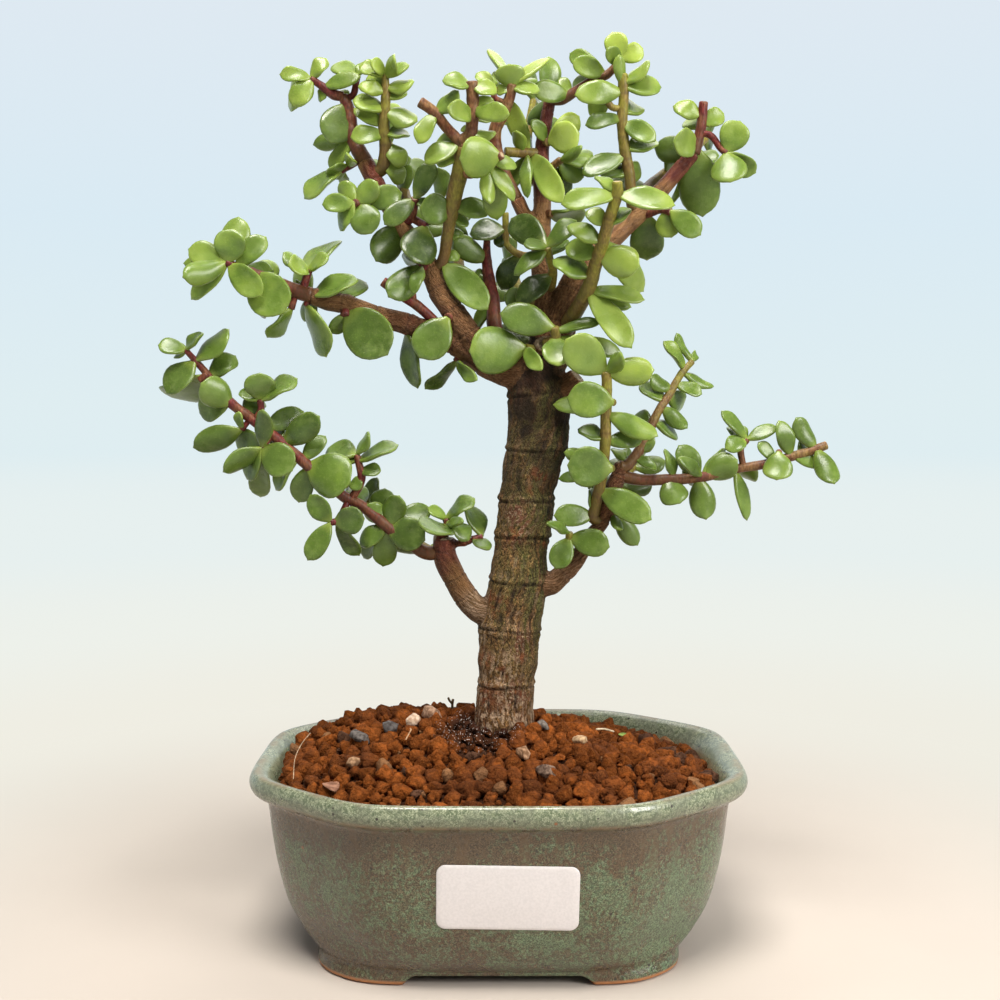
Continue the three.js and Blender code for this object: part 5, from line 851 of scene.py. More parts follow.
def lay_leaf(row, shift, stems):
    """Base, axis, side and upper face of one leaf, facing the viewing point and then turned."""
    bx, bz, tx, tz, dy, turn, *width = row
    place = nearest_on(stems, bx, bz)
    base = pushed(place["x"], place["z"], place["y"])
    tip = pushed(tx, tz, place["y"] + dy + shift)
    visible = np.linalg.norm(tip - pushed(bx, bz, place["y"]))
    length = np.linalg.norm(tip - base)
    axis = (tip - base) / length
    view = unit(EYE - base)
    view = unit(view - axis * view.dot(axis))
    side = unit(np.cross(view, axis))
    if side.dot(place["tangent"]) < 0:
        side = -side
    angle = math.radians(turn)
    normal = view * math.cos(angle) + side * math.sin(angle)
    if normal.dot(place["tangent"]) < 0:
        normal = -normal
    leaf = {"base": base, "axis": axis, "across": unit(np.cross(normal, axis)), "normal": normal,
            "length": length, "width": width[0] if width else LEAF_ASPECT * visible}
    leaf["probes"] = np.array([
        base + u * length * axis + v * half_width(u) * leaf["width"] * leaf["across"] for u, v in PROBES])
    return leaf


def grow_pairs(shoot, stem, chance):
    """Leaf pairs of a far shoot, each pair a right angle on from the last."""
    rows = []
    points = stem["points"]
    last = len(points) - 1
    for i in range(BACK_PAIRS):
        place = 0.9 + (last - 0.9) * i / (BACK_PAIRS - 1)
        k = min(int(place), last - 1)
        base = points[k] + (points[k + 1] - points[k]) * (place - k)
        tangent = unit(points[k + 1] - points[k])
        right = unit(np.array((1.0, 0, 0)) - tangent * tangent[0])
        turn = i * math.pi / 2 + (next(chance) - 0.5) * 0.5
        right = right * math.cos(turn) + np.cross(tangent, right) * math.sin(turn)
        for way in (1, -1):
            rise = 1 if i == BACK_PAIRS - 1 else 0.55
            size = shoot["size"] * (0.85 + 0.25 * next(chance)) * (1 - 0.25 * i / BACK_PAIRS)
            tip = flattened(base + unit(right * way + tangent * rise) * size)
            x, z, y = flattened(base)
            rows.append((x, z, tip[0], tip[1], tip[2] - y, 30 + 30 * next(chance), size * 0.72))
    return rows


class Crowd:
    """Leaves and stems already placed, to try a new leaf against."""

    def __init__(self, limbs, shoots):
        starts, ends, limits, owners = [], [], [], []
        for owner, stems in [(-1, limbs)] + [(i, shoot["laid"]) for i, shoot in enumerate(shoots)]:
            for stem in stems:
                for i in range(1, len(stem["points"])):
                    starts.append(stem["points"][i - 1])
                    ends.append(stem["points"][i])
                    limits.append(max(stem["radii"][i - 1], stem["radii"][i]) + CLEAR_STEM)
                    owners.append(owner)
        self.starts = np.array(starts)
        self.runs = np.array(ends) - self.starts
        self.squares = np.maximum((self.runs ** 2).sum(1), 1e-12)
        self.limits = np.array(limits)
        self.owners = np.array(owners)
        self.leaves = []

    def strikes_stem(self, points, chosen):
        runs, starts = self.runs[chosen], self.starts[chosen]
        offset = points[:, None, :] - starts[None]
        t = np.clip((offset * runs).sum(2) / self.squares[chosen], 0, 1)
        gap = np.linalg.norm(offset - t[..., None] * runs, axis=2)
        return bool((gap < self.limits[chosen]).any())

    @staticmethod
    def strikes_blade(points, leaf):
        offset = points - leaf["base"]
        u = offset @ leaf["axis"] / leaf["length"]
        limit = half_width(np.clip(u, 0, 1)) * leaf["width"] + CLEAR_EDGE
        inside = (u > -0.03) & (u < 1 + CLEAR_EDGE / leaf["length"])
        inside &= np.abs(offset @ leaf["across"]) < limit
        return bool((inside & (np.abs(offset @ leaf["normal"]) < CLEAR_PLATE)).any())

    def clear(self, leaf, owner, strict):
        points = leaf["probes"]
        if self.strikes_stem(points[1:], self.owners == -1):
            return False
        if self.strikes_stem(points, (self.owners != -1) & (self.owners != owner)):
            return False
        for other, theirs in self.leaves:
            if theirs == owner and not strict:
                continue
            apart = np.linalg.norm(leaf["base"] - other["base"])
            if apart > (leaf["length"] + other["length"]) * 1.1 + 6:
                continue
            skip = 3 if theirs == owner and apart < 4 else 0
            if self.strikes_blade(points[skip:], other) or self.strikes_blade(other["probes"][skip:], leaf):
                return False
        return True

    def place(self, row, owner, stems):
        trials = [lay_leaf(row, shift, stems) for shift in SHIFTS]
        for strict in (True, False):
            for leaf in trials:
                if self.clear(leaf, owner, strict):
                    self.leaves.append((leaf, owner))
                    return leaf
        return None


def seated(leaves):
    """The rows of a shoot's leaves in full: one without a seat shares that of the leaf before."""
    shared = ()
    for row in leaves:
        row = row if len(row) > 5 else (*shared, *row)
        shared = row[:2]
        yield row


def lay_tree():
    """Limbs, and shoots with their stems and leaves, all in millimetres."""
    limbs = {}
    for name, parent, lean, line in LIMBS:
        start = nearest_on([limbs[parent]], *line[0][:2]) if parent else None
        limbs[name] = lay_stem(lean, line, start)
    shoots = [dict(zip(("name", "on", "look", "stem", "stems", "leaves"), shoot)) for shoot in SHOOTS]
    shoots += [{"name": name, "on": parent, "look": look, "stem": "olive", "stems": [stem], "size": size}
               for name, parent, look, size, *stem in BACK_SHOOTS]
    for shoot in shoots:
        shoot["laid"] = []
        for i, (lean, *line) in enumerate(shoot["stems"]):
            parents = [limbs[shoot["on"]]] if i == 0 else shoot["laid"]
            shoot["laid"].append(lay_stem(lean, line, nearest_on(parents, *line[0][:2])))
    crowd = Crowd(list(limbs.values()), shoots)
    chance = random_from(LAYOUT_SEED)
    small = []
    for owner, shoot in enumerate(shoots):
        shoot["blades"] = []
        rows = grow_pairs(shoot, shoot["laid"][0], chance) if "size" in shoot else seated(shoot["leaves"])
        for row in rows:
            if math.hypot(row[2] - row[0], row[3] - row[1]) <= SMALLEST_SOLID_LEAF:
                small.append((owner, row))
                continue
            leaf = crowd.place(row, owner, shoot["laid"])
            if leaf is None and "size" not in shoot:
                leaf = lay_leaf(row, 0, shoot["laid"])
                crowd.leaves.append((leaf, owner))
            if leaf is not None:
                shoot["blades"].append(leaf)
    for owner, row in small:
        leaf = crowd.place(row, owner, shoots[owner]["laid"])
        if leaf is not None:
            shoots[owner]["blades"].append(leaf)
    return limbs, shoots


TREE = {}


def tree_layout():
    """Limbs and shoots, laid out once."""
    if not TREE:
        TREE["limbs"], TREE["shoots"] = lay_tree()
    return TREE["limbs"], TREE["shoots"]


# ---------------------------------------------------------------- round bars
def smooth_line(points, radii, step):
    """A Catmull-Rom curve through the points, sampled about every step, with its radii and lengths."""
    points = np.asarray(points, float)
    padded = np.vstack((2 * points[0] - points[1], points, 2 * points[-1] - points[-2]))
    line, widths = [], []
    for i in range(1, len(padded) - 2):
        p0, p1, p2, p3 = padded[i - 1:i + 3]
        pieces = max(1, int(round(np.linalg.norm(p2 - p1) / step)))
        for j in range(pieces):
            t = j / pieces
            line.append(0.5 * (2 * p1 + (p2 - p0) * t + (2 * p0 - 5 * p1 + 4 * p2 - p3) * t ** 2
                               + (3 * p1 - p0 - 3 * p2 + p3) * t ** 3))
            widths.append(radii[i - 1] + (radii[i] - radii[i - 1]) * t)
    line.append(points[-1])
    widths.append(radii[-1])
    line = np.array(line)
    lengths = np.concatenate(([0], np.cumsum(np.linalg.norm(np.diff(line, axis=0), axis=1))))
    return line, np.array(widths), lengths


def bar(line, radii, sides, bevel=0.35):
    """Vertices and faces of a closed round bar. Its end is cut flat with a small bevel."""
    end = unit(line[-1] - line[-2])
    line = np.vstack((line, line[-1] + end * bevel, line[-1] + end * bevel))
    radii = np.concatenate((radii, (radii[-1] * 0.82, radii[-1] * 0.4)))
    verts = [line[0]]
    across = np.array((0, 1.0, 0))
    last = len(line) - 1
    for i, point in enumerate(line):
        tangent = unit(line[min(i + 1, last - 2)] - line[max(min(i - 1, last - 3), 0)])
        across = unit(across - tangent * across.dot(tangent))
        other = np.cross(tangent, across)
        verts += [point + radii[i] * (c * across + s * other) for c, s in round_steps(sides)]
    verts.append(line[-1])
    faces = lid(0, 1, sides) + skin(len(line), sides, 1) + lid(len(verts) - 1, 1 + last * sides, sides)
    return np.array(verts), faces


# ---------------------------------------------------------------- bark
# Rusty spots and pale scars on the front of the trunk: middle, full reach and faded reach.
RUST_SPOTS = (((0.5, -7.5, 120.5), 1.5, 6.5), ((8.2, -9.5, 102), 0.6, 3.0), ((5.5, -8.6, 144.5), 1, 4.5),
              ((-4.7, -6.6, 101), 1, 5.5), ((-4, -7, 87), 1.5, 7), ((11.6, -10.4, 161), 0.5, 2.6))
WOOD_SCARS = (((6.7, -9.4, 152), 3, 9), ((5.5, -8.6, 146), 2, 7),
              ((7, -9.8, 107), 3, 9), ((6, -10, 88), 3, 9))
# Above this height limbs turn into young wood. Young wood is tan to the right of and above a point of the
# elevation, and reddish again from a height on.
YOUNG_FROM = 232
RIPE_FROM = (-45, 225)
RIPE_UP_TO = 258
# How many points of the limbs are asked which limb a place of the bark belongs to.
NEAR_SAMPLES = 24


def bark_material():
    """Old bark in brown streaks with algae, rust and pale scrapes; young wood reddish and smoother."""
    s = settings()
    material, tree, shader, place = blank_material("bark")
    young, crevice, tan = (attribute(tree, name) for name in ("young", "crevice", "tan"))
    grain = attribute(tree, "grain", "Vector")
    parts = add_node(tree, "ShaderNodeSeparateXYZ", {"Vector": place})
    close = stretched(grain, (1, 1, 2.2))
    streaks = mottle(close, 1150, 0.38, 0.62, 8)
    hairs = mottle(close, 2500, 0.42, 0.6, 5)
    blotches = mottle(place, 75, 0.42, 0.62, 7)
    flakes = mottle(place, 1100, 0.5, 0.62, 8)
    old = varied(streaks, s.bark, 0.4, 1.65)
    old = coat(old, flakes, shaded(s.bark, 2.7), 0.6)
    old = coat(old, hairs, shaded(s.bark, 0.2), 0.6)
    scrapes = times(mottle(close, 700, 0.47, 0.57, 8), mottle(place, 70, 0.36, 0.56, 4))
    low = ramp(parts.outputs["Z"], 0.07, 0.165, 1.0, 0.3)
    ruddy = ramp(parts.outputs["Z"], 0.07, 0.115, 0.75, 0.1)
    old = coat(old, times(ruddy, blotches), mix(streaks, (0.085, 0.026, 0.012), (0.27, 0.095, 0.042)))
    old = coat(old, times(scrapes, low), (0.58, 0.39, 0.25))
    moss_side = ramp(parts.outputs["X"], -0.004, 0.016, 0.35, 1.0)
    moss_height = ramp(parts.outputs["Z"], 0.085, 0.12, 0.2, 1.0)
    moss = times(times(mottle(grain, 320, 0.34, 0.56, 9), moss_side), moss_height)
    old = coat(old, moss, mix(hairs, (0.150, 0.162, 0.042), (0.042, 0.048, 0.013)), 0.85)
    broken = mottle(close, 620, 0.44, 0.56, 7)
    for centre, inner, outer in WOOD_SCARS:
        scar = times(round_spot(place, centre, inner, outer), broken)
        old = coat(old, scar, mix(flakes, (0.20, 0.085, 0.045), (0.52, 0.36, 0.22)))
    rust = times(mottle(place, 130, 0.60, 0.68, 5), mottle(close, 900, 0.42, 0.56, 6))
    for centre, inner, outer in RUST_SPOTS:
        spot = times(round_spot(place, centre, inner, outer), mottle(place, 420, 0.44, 0.56, 6))
        rust = maths("MAXIMUM", rust, spot)
    old = coat(old, rust, (0.27, 0.075, 0.025), 0.75)
    high = ramp(parts.outputs["Z"], 0.15, 0.19, 0.0, 0.9)
    old = coat(old, times(high, plus(blotches, 0.6), True), (0.035, 0.021, 0.009))
    limb = mix(streaks, (0.140, 0.062, 0.023), (0.30, 0.150, 0.062))
    limb = coat(limb, hairs, (0.085, 0.036, 0.014), 0.35)
    limb = coat(limb, flakes, (0.36, 0.21, 0.10), 0.35)
    old = coat(old, attribute(tree, "limb"), limb)
    cork = mottle(grain, 700, 0.3, 0.7, 6)
    fresh = mix(cork, shaded(s.stem_maroon, 0.6), (0.19, 0.055, 0.030))
    ripe = plus(mottle(place, 48, 0.46, 0.62, 2), attribute(tree, "ripe"), True)
    fresh = coat(fresh, ripe, mix(cork, (0.14, 0.064, 0.022), (0.27, 0.140, 0.052)))
    body = mix(young, old, fresh)
    body = coat(body, tan, mix(streaks, (0.15, 0.085, 0.035), (0.46, 0.31, 0.20)), 0.8)
    # Painted shade: the fissures and ring grooves are darkened almost to black.
    body = coat(body, crevice, (0.018, 0.011, 0.007))
    wood = mix(mottle(place, 900, 0.3, 0.7, 5), (0.23, 0.16, 0.09), (0.50, 0.38, 0.24))
    body = coat(body, attribute(tree, "cut"), wood)
    rough = plus(times(young, -0.38), 0.8)
    fill(shader, {"Base Color": body, "Roughness": rough, "Specular IOR Level": 0.2})
    relief = plus(grit(close, 1800.0, 8.0, 0.7), streaks)
    relief = minus(plus(relief, times(flakes, 0.7)), hairs)
    calm = maths("MAXIMUM", young, times(attribute(tree, "limb"), 0.45))
    smooth = plus(times(calm, -0.85), 1.0)
    bump(shader, times(relief, smooth), 1.0, 0.0007)
    return material


def limb_samples(step):
    """Skins of all limbs, and for points along them the limb's numbers."""
    limbs, _ = tree_layout()
    chance = random_from(BARK_SEED)
    verts, faces, samples = [], [], []
    for name, limb in limbs.items():
        line, widths, lengths = smooth_line(limb["points"], limb["radii"], step)
        widths = widths * (1 + 0.015 * np.sin(lengths * 0.55 + 3 * next(chance)))
        made, rings = bar(line, widths, 28 if name == "trunk" else 18)
        faces += [tuple(i + len(verts) for i in face) for face in rings]
        verts += list(made)
        marks = []
        place = 5 + 4 * next(chance)
        while name != "trunk" and place < lengths[-1] - 1:
            marks.append(place)
            place += 7 + 6 * next(chance)
        foot, tip = YOUNG[name]
        for i, point in enumerate(line):
            share = lengths[i] / lengths[-1]
            tangent = unit(line[min(i + 1, len(line) - 1)] - line[max(i - 1, 0)])
            samples.append({
                "name": name, "point": Vector(point), "tangent": Vector(tangent), "width": widths[i],
                "young": foot + (tip - foot) * share ** 1.5, "marks": marks,
                "length": lengths[i], "total": lengths[-1]})
    return verts, faces, samples


def ring_relief(sample, place, p):
    """Height and groove of the scar rings at one place of the bark."""
    relief = groove = 0.0
    if sample["name"] == "trunk":
        wobble = 1.1 * noise.noise(Vector((p.x * 0.11, p.y * 0.11, p.z * 0.04)))
        for ring, tilt in TRUNK_RINGS:
            away = p.z - ring - tilt * (p.x - 8) + wobble
            if abs(away) < 4:
                depth = 0.7 + 0.6 * noise.noise(Vector((p.x * 0.2, p.y * 0.2, ring)))
                relief += 0.6 * bell(away - 1.1, 1.1) + 0.3 * bell(away + 1.3, 1)
                groove = max(groove, depth * bell(away, 0.36))
    else:
        for ring in sample["marks"]:
            away = place - ring
            if abs(away) < 3:
                relief += 0.16 * bell(away, 0.9)
                groove = max(groove, 0.6 * bell(away - 0.8, 0.3))
    return relief, groove


def vertex_values(mesh, key):
    """Places or normals of a mesh's vertices."""
    values = np.zeros(len(mesh.vertices) * 3, np.float32)
    mesh.vertices.foreach_get(key, values)
    return values.reshape(-1, 3)


def build_wood(step=0.9, voxel=0.00055):
    """Trunk and limbs as one skin, with scar rings, fissures and corky relief."""
    verts, faces, samples = limb_samples(step)
    piece = mesh_object("trunk_and_limbs", verts, faces)
    wrap = piece.modifiers.new("Wrap", "REMESH")
    wrap.mode = "VOXEL"
    wrap.voxel_size = voxel
    wrap.use_smooth_shade = True
    soften = piece.modifiers.new("Soften", "SMOOTH")
    soften.factor = 0.6
    soften.iterations = 5
    baked(piece)
    lookup = kdtree.KDTree(len(samples))
    for i, sample in enumerate(samples):
        lookup.insert(sample["point"], i)
    lookup.balance()
    mesh = piece.data
    count = len(mesh.vertices)
    co = vertex_values(mesh, "co") / MM
    normals = vertex_values(mesh, "normal")
    marks = {name: np.zeros(count) for name in ("young", "crevice", "cut", "tan", "limb", "ripe")}
    grain = np.zeros((count, 3))
    for i in range(count):
        p = Vector(co[i])
        sample = min((samples[row[1]] for row in lookup.find_n(p, NEAR_SAMPLES)),
                     key=lambda row: (p - row["point"]).length - row["width"])
        name, tangent = sample["name"], sample["tangent"]
        young = sample["young"]
        if name != "trunk":
            young = min(1.0, young + 0.75 * ease((p.z - YOUNG_FROM) / 28))
        offset = p - sample["point"]
        run = offset.dot(tangent)
        place = sample["length"] + run
        coarse = 1.0 - 0.85 * young
        if name != "trunk":
            coarse *= 0.4
        drawn = offset - tangent * run + tangent * (0.2 * place)
        fissure = noise.fractal(drawn * 0.62, 0.75, 2.1, 5)
        plates = noise.fractal(p * 0.17 + Vector((7, 3, 1)), 0.9, 2.0, 4)
        relief = coarse * (0.34 * fissure + 0.3 * plates)
        lift, groove = ring_relief(sample, place, p)
        relief += (lift - 0.55 * groove) * (1 - 0.5 * young)
        if place > sample["total"] - 0.05 and abs(Vector(normals[i]).dot(tangent)) > 0.8:
            relief *= 0.2
            marks["cut"][i] = 0.3 if name == "trunk" else 1.0
        co[i] += normals[i] * relief
        grain[i] = drawn * MM
        marks["young"][i] = min(1.0, max(0.0, young + 0.2 * plates))
        # How deep the place lies in a fissure or ring groove, for the painted shade there.
        marks["crevice"][i] = min(0.9, 0.75 * groove + max(0.0, -fissure - 0.2) * 1.3 * coarse)
        marks["limb"][i] = 0.0 if name == "trunk" else min(1.0, place / 8)
        if p.z > RIPE_FROM[1] and p.x > RIPE_FROM[0]:
            marks["ripe"][i] = 0.8 - 1.5 * ease((p.z - RIPE_UP_TO) / 16)
        start, end, most = TAN_FOOT.get(name, (0, 0, 0))
        marks["tan"][i] = most * ease((place - start) / 6) * ease((end - place) / 8) * (0.85 + 0.5 * plates)
    mesh.vertices.foreach_set("co", (co * MM).ravel())
    write_attributes(piece, **marks)
    write_attributes(piece, "FLOAT_VECTOR", grain=grain)
    mesh.update()
    mesh.shade_smooth()
    set_material(piece, bark_material())
    seat(piece, "bark", "trunk")
    return piece


# ---------------------------------------------------------------- leaves and young stems
def leaf_material():
    """Waxy green, deep to bright by tone and painted shade, paler underneath, pale at the tips with wax and
    painted sheen, and a few dots.
    """
    s = settings()
    material, tree, shader, place = blank_material("leaf")
    tone, rim, along, upper = (attribute(tree, name) for name in ("tone", "rim", "along", "upper"))
    cloud = mottle(place, 130, 0.3, 0.75, 5)
    level = plus(tone, times(minus(cloud, 0.5), 0.22))
    level = plus(level, times(minus(along, 0.4), 0.16), True)
    shade = ramp(level, 0.0, 0.5)
    light = ramp(level, 0.45, 1.0)
    body = mix(shade, s.leaf_deep, s.leaf_middle)
    body = coat(body, light, s.leaf_bright)
    body = coat(body, minus(1.0, upper), (0.15, 0.22, 0.04), 0.3)
    body = coat(body, mottle(place, 1700, 0.58, 0.7, 3), (0.34, 0.42, 0.10), 0.14)
    # Paler towards the tip: partly the leaf's waxy bloom, partly painted sheen.
    bloom_and_sheen = times(mottle(place, 420, 0.4, 0.7, 6), maths("POWER", along, 1.6))
    body = coat(body, bloom_and_sheen, (0.30, 0.37, 0.12), 0.22)
    body = coat(body, maths("POWER", rim, 12.0), (0.33, 0.40, 0.08), 0.22)
    body = coat(body, ramp(along, 0.0, 0.28, 0.55, 0.0), (0.30, 0.37, 0.06))
    body = coat(body, specks(place, 95, 0.075, 0.16), (0.016, 0.012, 0.010))
    sheen = plus(times(mottle(place, 55, 0.4, 0.62, 3), 0.34), 0.04)
    fill(shader, {
        "Base Color": body, "Roughness": plus(times(cloud, 0.12), 0.26), "Specular IOR Level": 0.28,
        "Coat Weight": sheen, "Coat Roughness": 0.3, "Subsurface Weight": 0.12,
        "Subsurface Scale": 0.0012, "Subsurface Radius": (0.6, 1.0, 0.25)})
    bump(shader, plus(grit(place, 1500.0, 4.0), times(cloud, 2.0)), 0.18, 0.0003)
    return material


def stem_material():
    """Olive, tan or maroon by the stem's tint, brown at the foot, with dark rings and pale cut ends."""
    s = settings()
    material, tree, shader, place = blank_material("young_stem")
    tint, ring, cut, foot = (attribute(tree, name) for name in ("tint", "ring", "cut", "foot"))
    blush = mottle(place, 220, 0.35, 0.7, 5)
    streak = mottle(stretched(place, (1, 1, 0.4)), 1500, 0.35, 0.7, 5)
    red = varied(streak, s.stem_maroon, 0.6, 1.6)
    tan = mix(streak, (0.13, 0.062, 0.020), (0.27, 0.155, 0.058))
    olive = varied(streak, s.stem_olive, 0.85, 1.3)
    wander = plus(times(minus(blush, 0.5), 0.35), tint)
    body = mix(times(wander, 2.0, True), olive, tan)
    body = coat(body, times(minus(wander, 0.5), 2.0, True), red)
    body = coat(body, foot, (0.085, 0.045, 0.014), 0.75)
    body = coat(body, ring, (0.06, 0.03, 0.022), 0.6)
    body = coat(body, cut, (0.46, 0.36, 0.22), 0.8)
    rough = plus(times(streak, 0.2), 0.38)
    fill(shader, {"Base Color": body, "Roughness": rough, "Specular IOR Level": 0.25})
    bump(shader, streak, 0.2, 0.0002)
    return material


# Rounded blades are this much wider and longer than the six-sided solid ones.
BLADE_SPREAD = 1.04
BLADE_REACH = 1.02
# Half-width and half-thickness of a fine blade at steps along its length.
FINE_BLADE = ((0.0, 0.08, 0.34), (0.04, 0.115, 0.36), (0.1, 0.19, 0.40), (0.2, 0.315, 0.46),
              (0.32, 0.415, 0.50), (0.45, 0.48, 0.50), (0.58, 0.50, 0.48), (0.7, 0.488, 0.45),
              (0.81, 0.435, 0.41),
              (0.9, 0.337, 0.36), (0.955, 0.222, 0.30), (0.99, 0.092, 0.2))
# Cup, droop, twist and wave of the rim of each blade, in thicknesses.
LEAF_SHAPES = ((0.45, 0.15, 0.0, 0.12), (0.8, 0.5, 0.25, 0.32), (-0.3, -0.6, 0.1, 0.25),
               (0.2, 0.9, -0.2, -0.35), (0.7, -0.2, 0.35, -0.22))
# Where the point at a blade's end lies, as a share of its length.
LEAF_CUSP = 1.028


def leaf_shape(index, cup, droop, twist, wave, around=14):
    """One blade of length 1, width 1 and thickness 1, its heel at the origin and its tip along +Y."""
    verts, rim, along, upper = [], [], [], []
    for u, half, thick in FINE_BLADE:
        for c, s in round_steps(around):
            x = half * math.copysign(abs(c) ** 0.85, c)
            z = thick * math.copysign(abs(s) ** 0.9, s)
            lift = cup * (x / 0.5) ** 2 * 0.9 - droop * max(0.0, u - 0.35) ** 2 * 1.6 + twist * x * u
            lift += wave * 2 * abs(x) * math.sin(7.5 * u + math.copysign(1.1, x))
            verts.append((x, u, z + lift))
            rim.append(abs(c) if u < 0.9 else max(abs(c), (u - 0.8) / 0.2))
            along.append(u)
            upper.append(1.0 if s >= 0 else 0.0)
    heel, tip = len(verts), len(verts) + 1
    faces = skin(len(FINE_BLADE), around) + lid(heel, 0, around) + lid(tip, heel - around, around)
    verts += [(0, -0.01, 0), (0, LEAF_CUSP, -droop * 0.65 ** 2 * 1.6)]
    rim += [0.0, 1.0]
    along += [0.0, 1.0]
    upper += [1.0, 1.0]
    shape = mesh_object(f"leaf_shape_{index}", np.array(verts) / MM, faces)
    write_attributes(shape, rim=rim, along=along, upper=upper, blade=[1.0] * len(verts))
    return shape


def leaf_tree():
    """Geometry nodes: one leaf on each point of a shoot, and the shoot's stems with them."""
    tree, entry, keys = geometry_group("Leaves on a shoot", (
        ("Leaf places", "Geometry"), ("Leaf shapes", "Collection"), ("Stems", "Object"),
        ("Leaf finish", "Material")), "Shoot")
    turn = add_node(tree, "FunctionNodeEulerToRotation", {"Euler": stored(tree, "turn", "FLOAT_VECTOR")})
    leaves = placed_shapes(entry["Leaf places"], entry["Leaf shapes"], stored(tree, "shape", "INT"),
                           turn.outputs["Rotation"], stored(tree, "size", "FLOAT_VECTOR"))
    stems = add_node(tree, "GeometryNodeObjectInfo", {"Object": entry["Stems"]}).outputs["Geometry"]
    joined((stems, leaves), "Shoot", entry["Leaf finish"], stored(tree, "blade"))
    return tree, keys


# Millimetres from a stem's start to its first ring, and between rings.
FIRST_RING = 5.0
RING_GAP = 7.5


def stem_object(name, shoot, finish):
    """All stems of a shoot, swollen at each leaf seat, with rings, cut ends and a reddish or olive tint."""
    seats = np.array([leaf["base"] for leaf in shoot["blades"]]) if shoot["blades"] else np.zeros((0, 3))
    verts, faces, tint, ring, cut, foot = [], [], [], [], [], []
    foot_tint, tip_tint, side_tint = TINTS[shoot["stem"]]
    woody = shoot["laid"][0]["radii"][0] > 1.9
    for number, stem in enumerate(shoot["laid"]):
        line, widths, lengths = smooth_line(stem["points"], stem["radii"], 0.7)
        swell = np.zeros(len(line))
        for place in seats:
            swell = np.maximum(swell, np.exp(-(np.linalg.norm(line - place, axis=1) / 1.1) ** 2))
        marks = swell * 0.35
        place = FIRST_RING
        while place < lengths[-1]:
            marks = np.maximum(marks, 0.8 * np.exp(-((lengths - place) / 0.35) ** 2))
            swell = np.maximum(swell, 0.6 * np.exp(-((lengths - place) / 0.8) ** 2))
            place += RING_GAP
        widths = widths * (1 + 0.07 * swell)
        sides = 12 if widths.max() > 1.6 else 9
        made, rings = bar(line, widths, sides, bevel=0.3)
        faces += [tuple(i + len(verts) for i in face) for face in rings]
        verts += list(made)
        for i in range(len(made)):
            row = min(max(i - 1, 0) // sides, len(line) - 1)
            share = lengths[row] / lengths[-1]
            tint.append(side_tint if number else foot_tint + (tip_tint - foot_tint) * share)
            ring.append(marks[row])
            cut.append(1.0 if i >= 1 + (len(line) + 1) * sides and lengths[-1] > 9 else 0.0)
            foot.append(max(0.0, 1 - share * 1.5) if woody and number == 0 else 0.0)
    piece = mesh_object(name, verts, faces)
    write_attributes(piece, tint=tint, ring=ring, cut=cut, foot=foot)
    set_material(piece, finish)
    return piece


def listed_shade_and_light(middle):
    """How much painted light the leaf with this middle gets over its look, by the nearest listed leaf; below
    nothing, painted shade.
    """
    x, z, _ = flattened(middle)
    away, tone = min((math.hypot(x - row[0], z - row[1]), row[2]) for row in LEAF_SHADE_AND_LIGHT)
    return tone if away < 3.6 else 0.0


def build_shoots(front):
    """Every leafy shoot of the front or of the back."""
    _, shoots = tree_layout()
    s = settings()
    finish = bpy.data.materials.get("leaf") or leaf_material()
    young = bpy.data.materials.get("young_stem") or stem_material()
    store = bpy.data.collections.new("leaf shapes")
    shapes = [leaf_shape(i, *numbers) for i, numbers in enumerate(LEAF_SHAPES)]
    for shape in shapes:
        bpy.context.scene.collection.objects.unlink(shape)
        store.objects.link(shape)
    tree, keys = leaf_tree()
    chance = random_from(FRONT_LEAVES_SEED if front else BACK_LEAVES_SEED)
    for shoot in shoots:
        if ("size" in shoot) == front:
            continue
        stems = stem_object(shoot["name"] + "_stems", shoot, young)
        if not shoot["blades"]:
            stems.name = "shoot_" + shoot["name"]
            seat(stems, "foliage", shoot["name"])
            continue
        turns, sizes, picks, tones, places = [], [], [], [], []
        for leaf in shoot["blades"]:
            base, axis, length = leaf["base"], leaf["axis"], leaf["length"]
            basis = Matrix((-Vector(leaf["across"]), Vector(axis), Vector(leaf["normal"]))).transposed()
            turns.append(tuple(basis.to_euler("XYZ")))
            thickness = s.leaf_thickness * min(1.0, 0.45 + length / 20)
            sizes.append((leaf["width"] * BLADE_SPREAD * MM, length * BLADE_REACH * MM, thickness))
            picks.append(int(next(chance) * len(LEAF_SHAPES)) % len(LEAF_SHAPES))
            inner = np.linalg.norm((base + axis * length - CROWN_HEART) * CROWN_SQUASH)
            # A leaf's tone: its shoot's look, a random share, and the listed leaves' painted shade and light.
            tone = LOOKS[shoot["look"]] + 0.22 * (next(chance) - 0.5) + listed_shade_and_light(base + axis * length * 0.5)
            # Lighter higher up and when small; darker behind the middle and in the crown's inside, as painted
            # shade.
            tone += (base[2] - 235) / 480 - 0.011 * max(0.0, base[1])
            tone += 0.24 * (1 - min(1.0, length / 12)) - 0.42 * max(0.0, 1 - inner / 30)
            tones.append(tone)
            places.append(base)
        piece = mesh_object("shoot_" + shoot["name"], places, [])
        write_attributes(piece, "FLOAT_VECTOR", turn=turns, size=sizes)
        write_attributes(piece, "INT", shape=picks)
        write_attributes(piece, tone=tones)
        grow = piece.modifiers.new("Leaves", "NODES")
        grow.node_group = tree
        for name, value in (("Leaf shapes", store), ("Stems", stems), ("Leaf finish", finish)):
            grow[keys[name]] = value
        baked(piece)
        bpy.data.objects.remove(stems)
        piece.data.shade_smooth()
        seat(piece, "foliage", shoot["name"])
    for shape in shapes:
        bpy.data.objects.remove(shape)
    bpy.data.collections.remove(store)


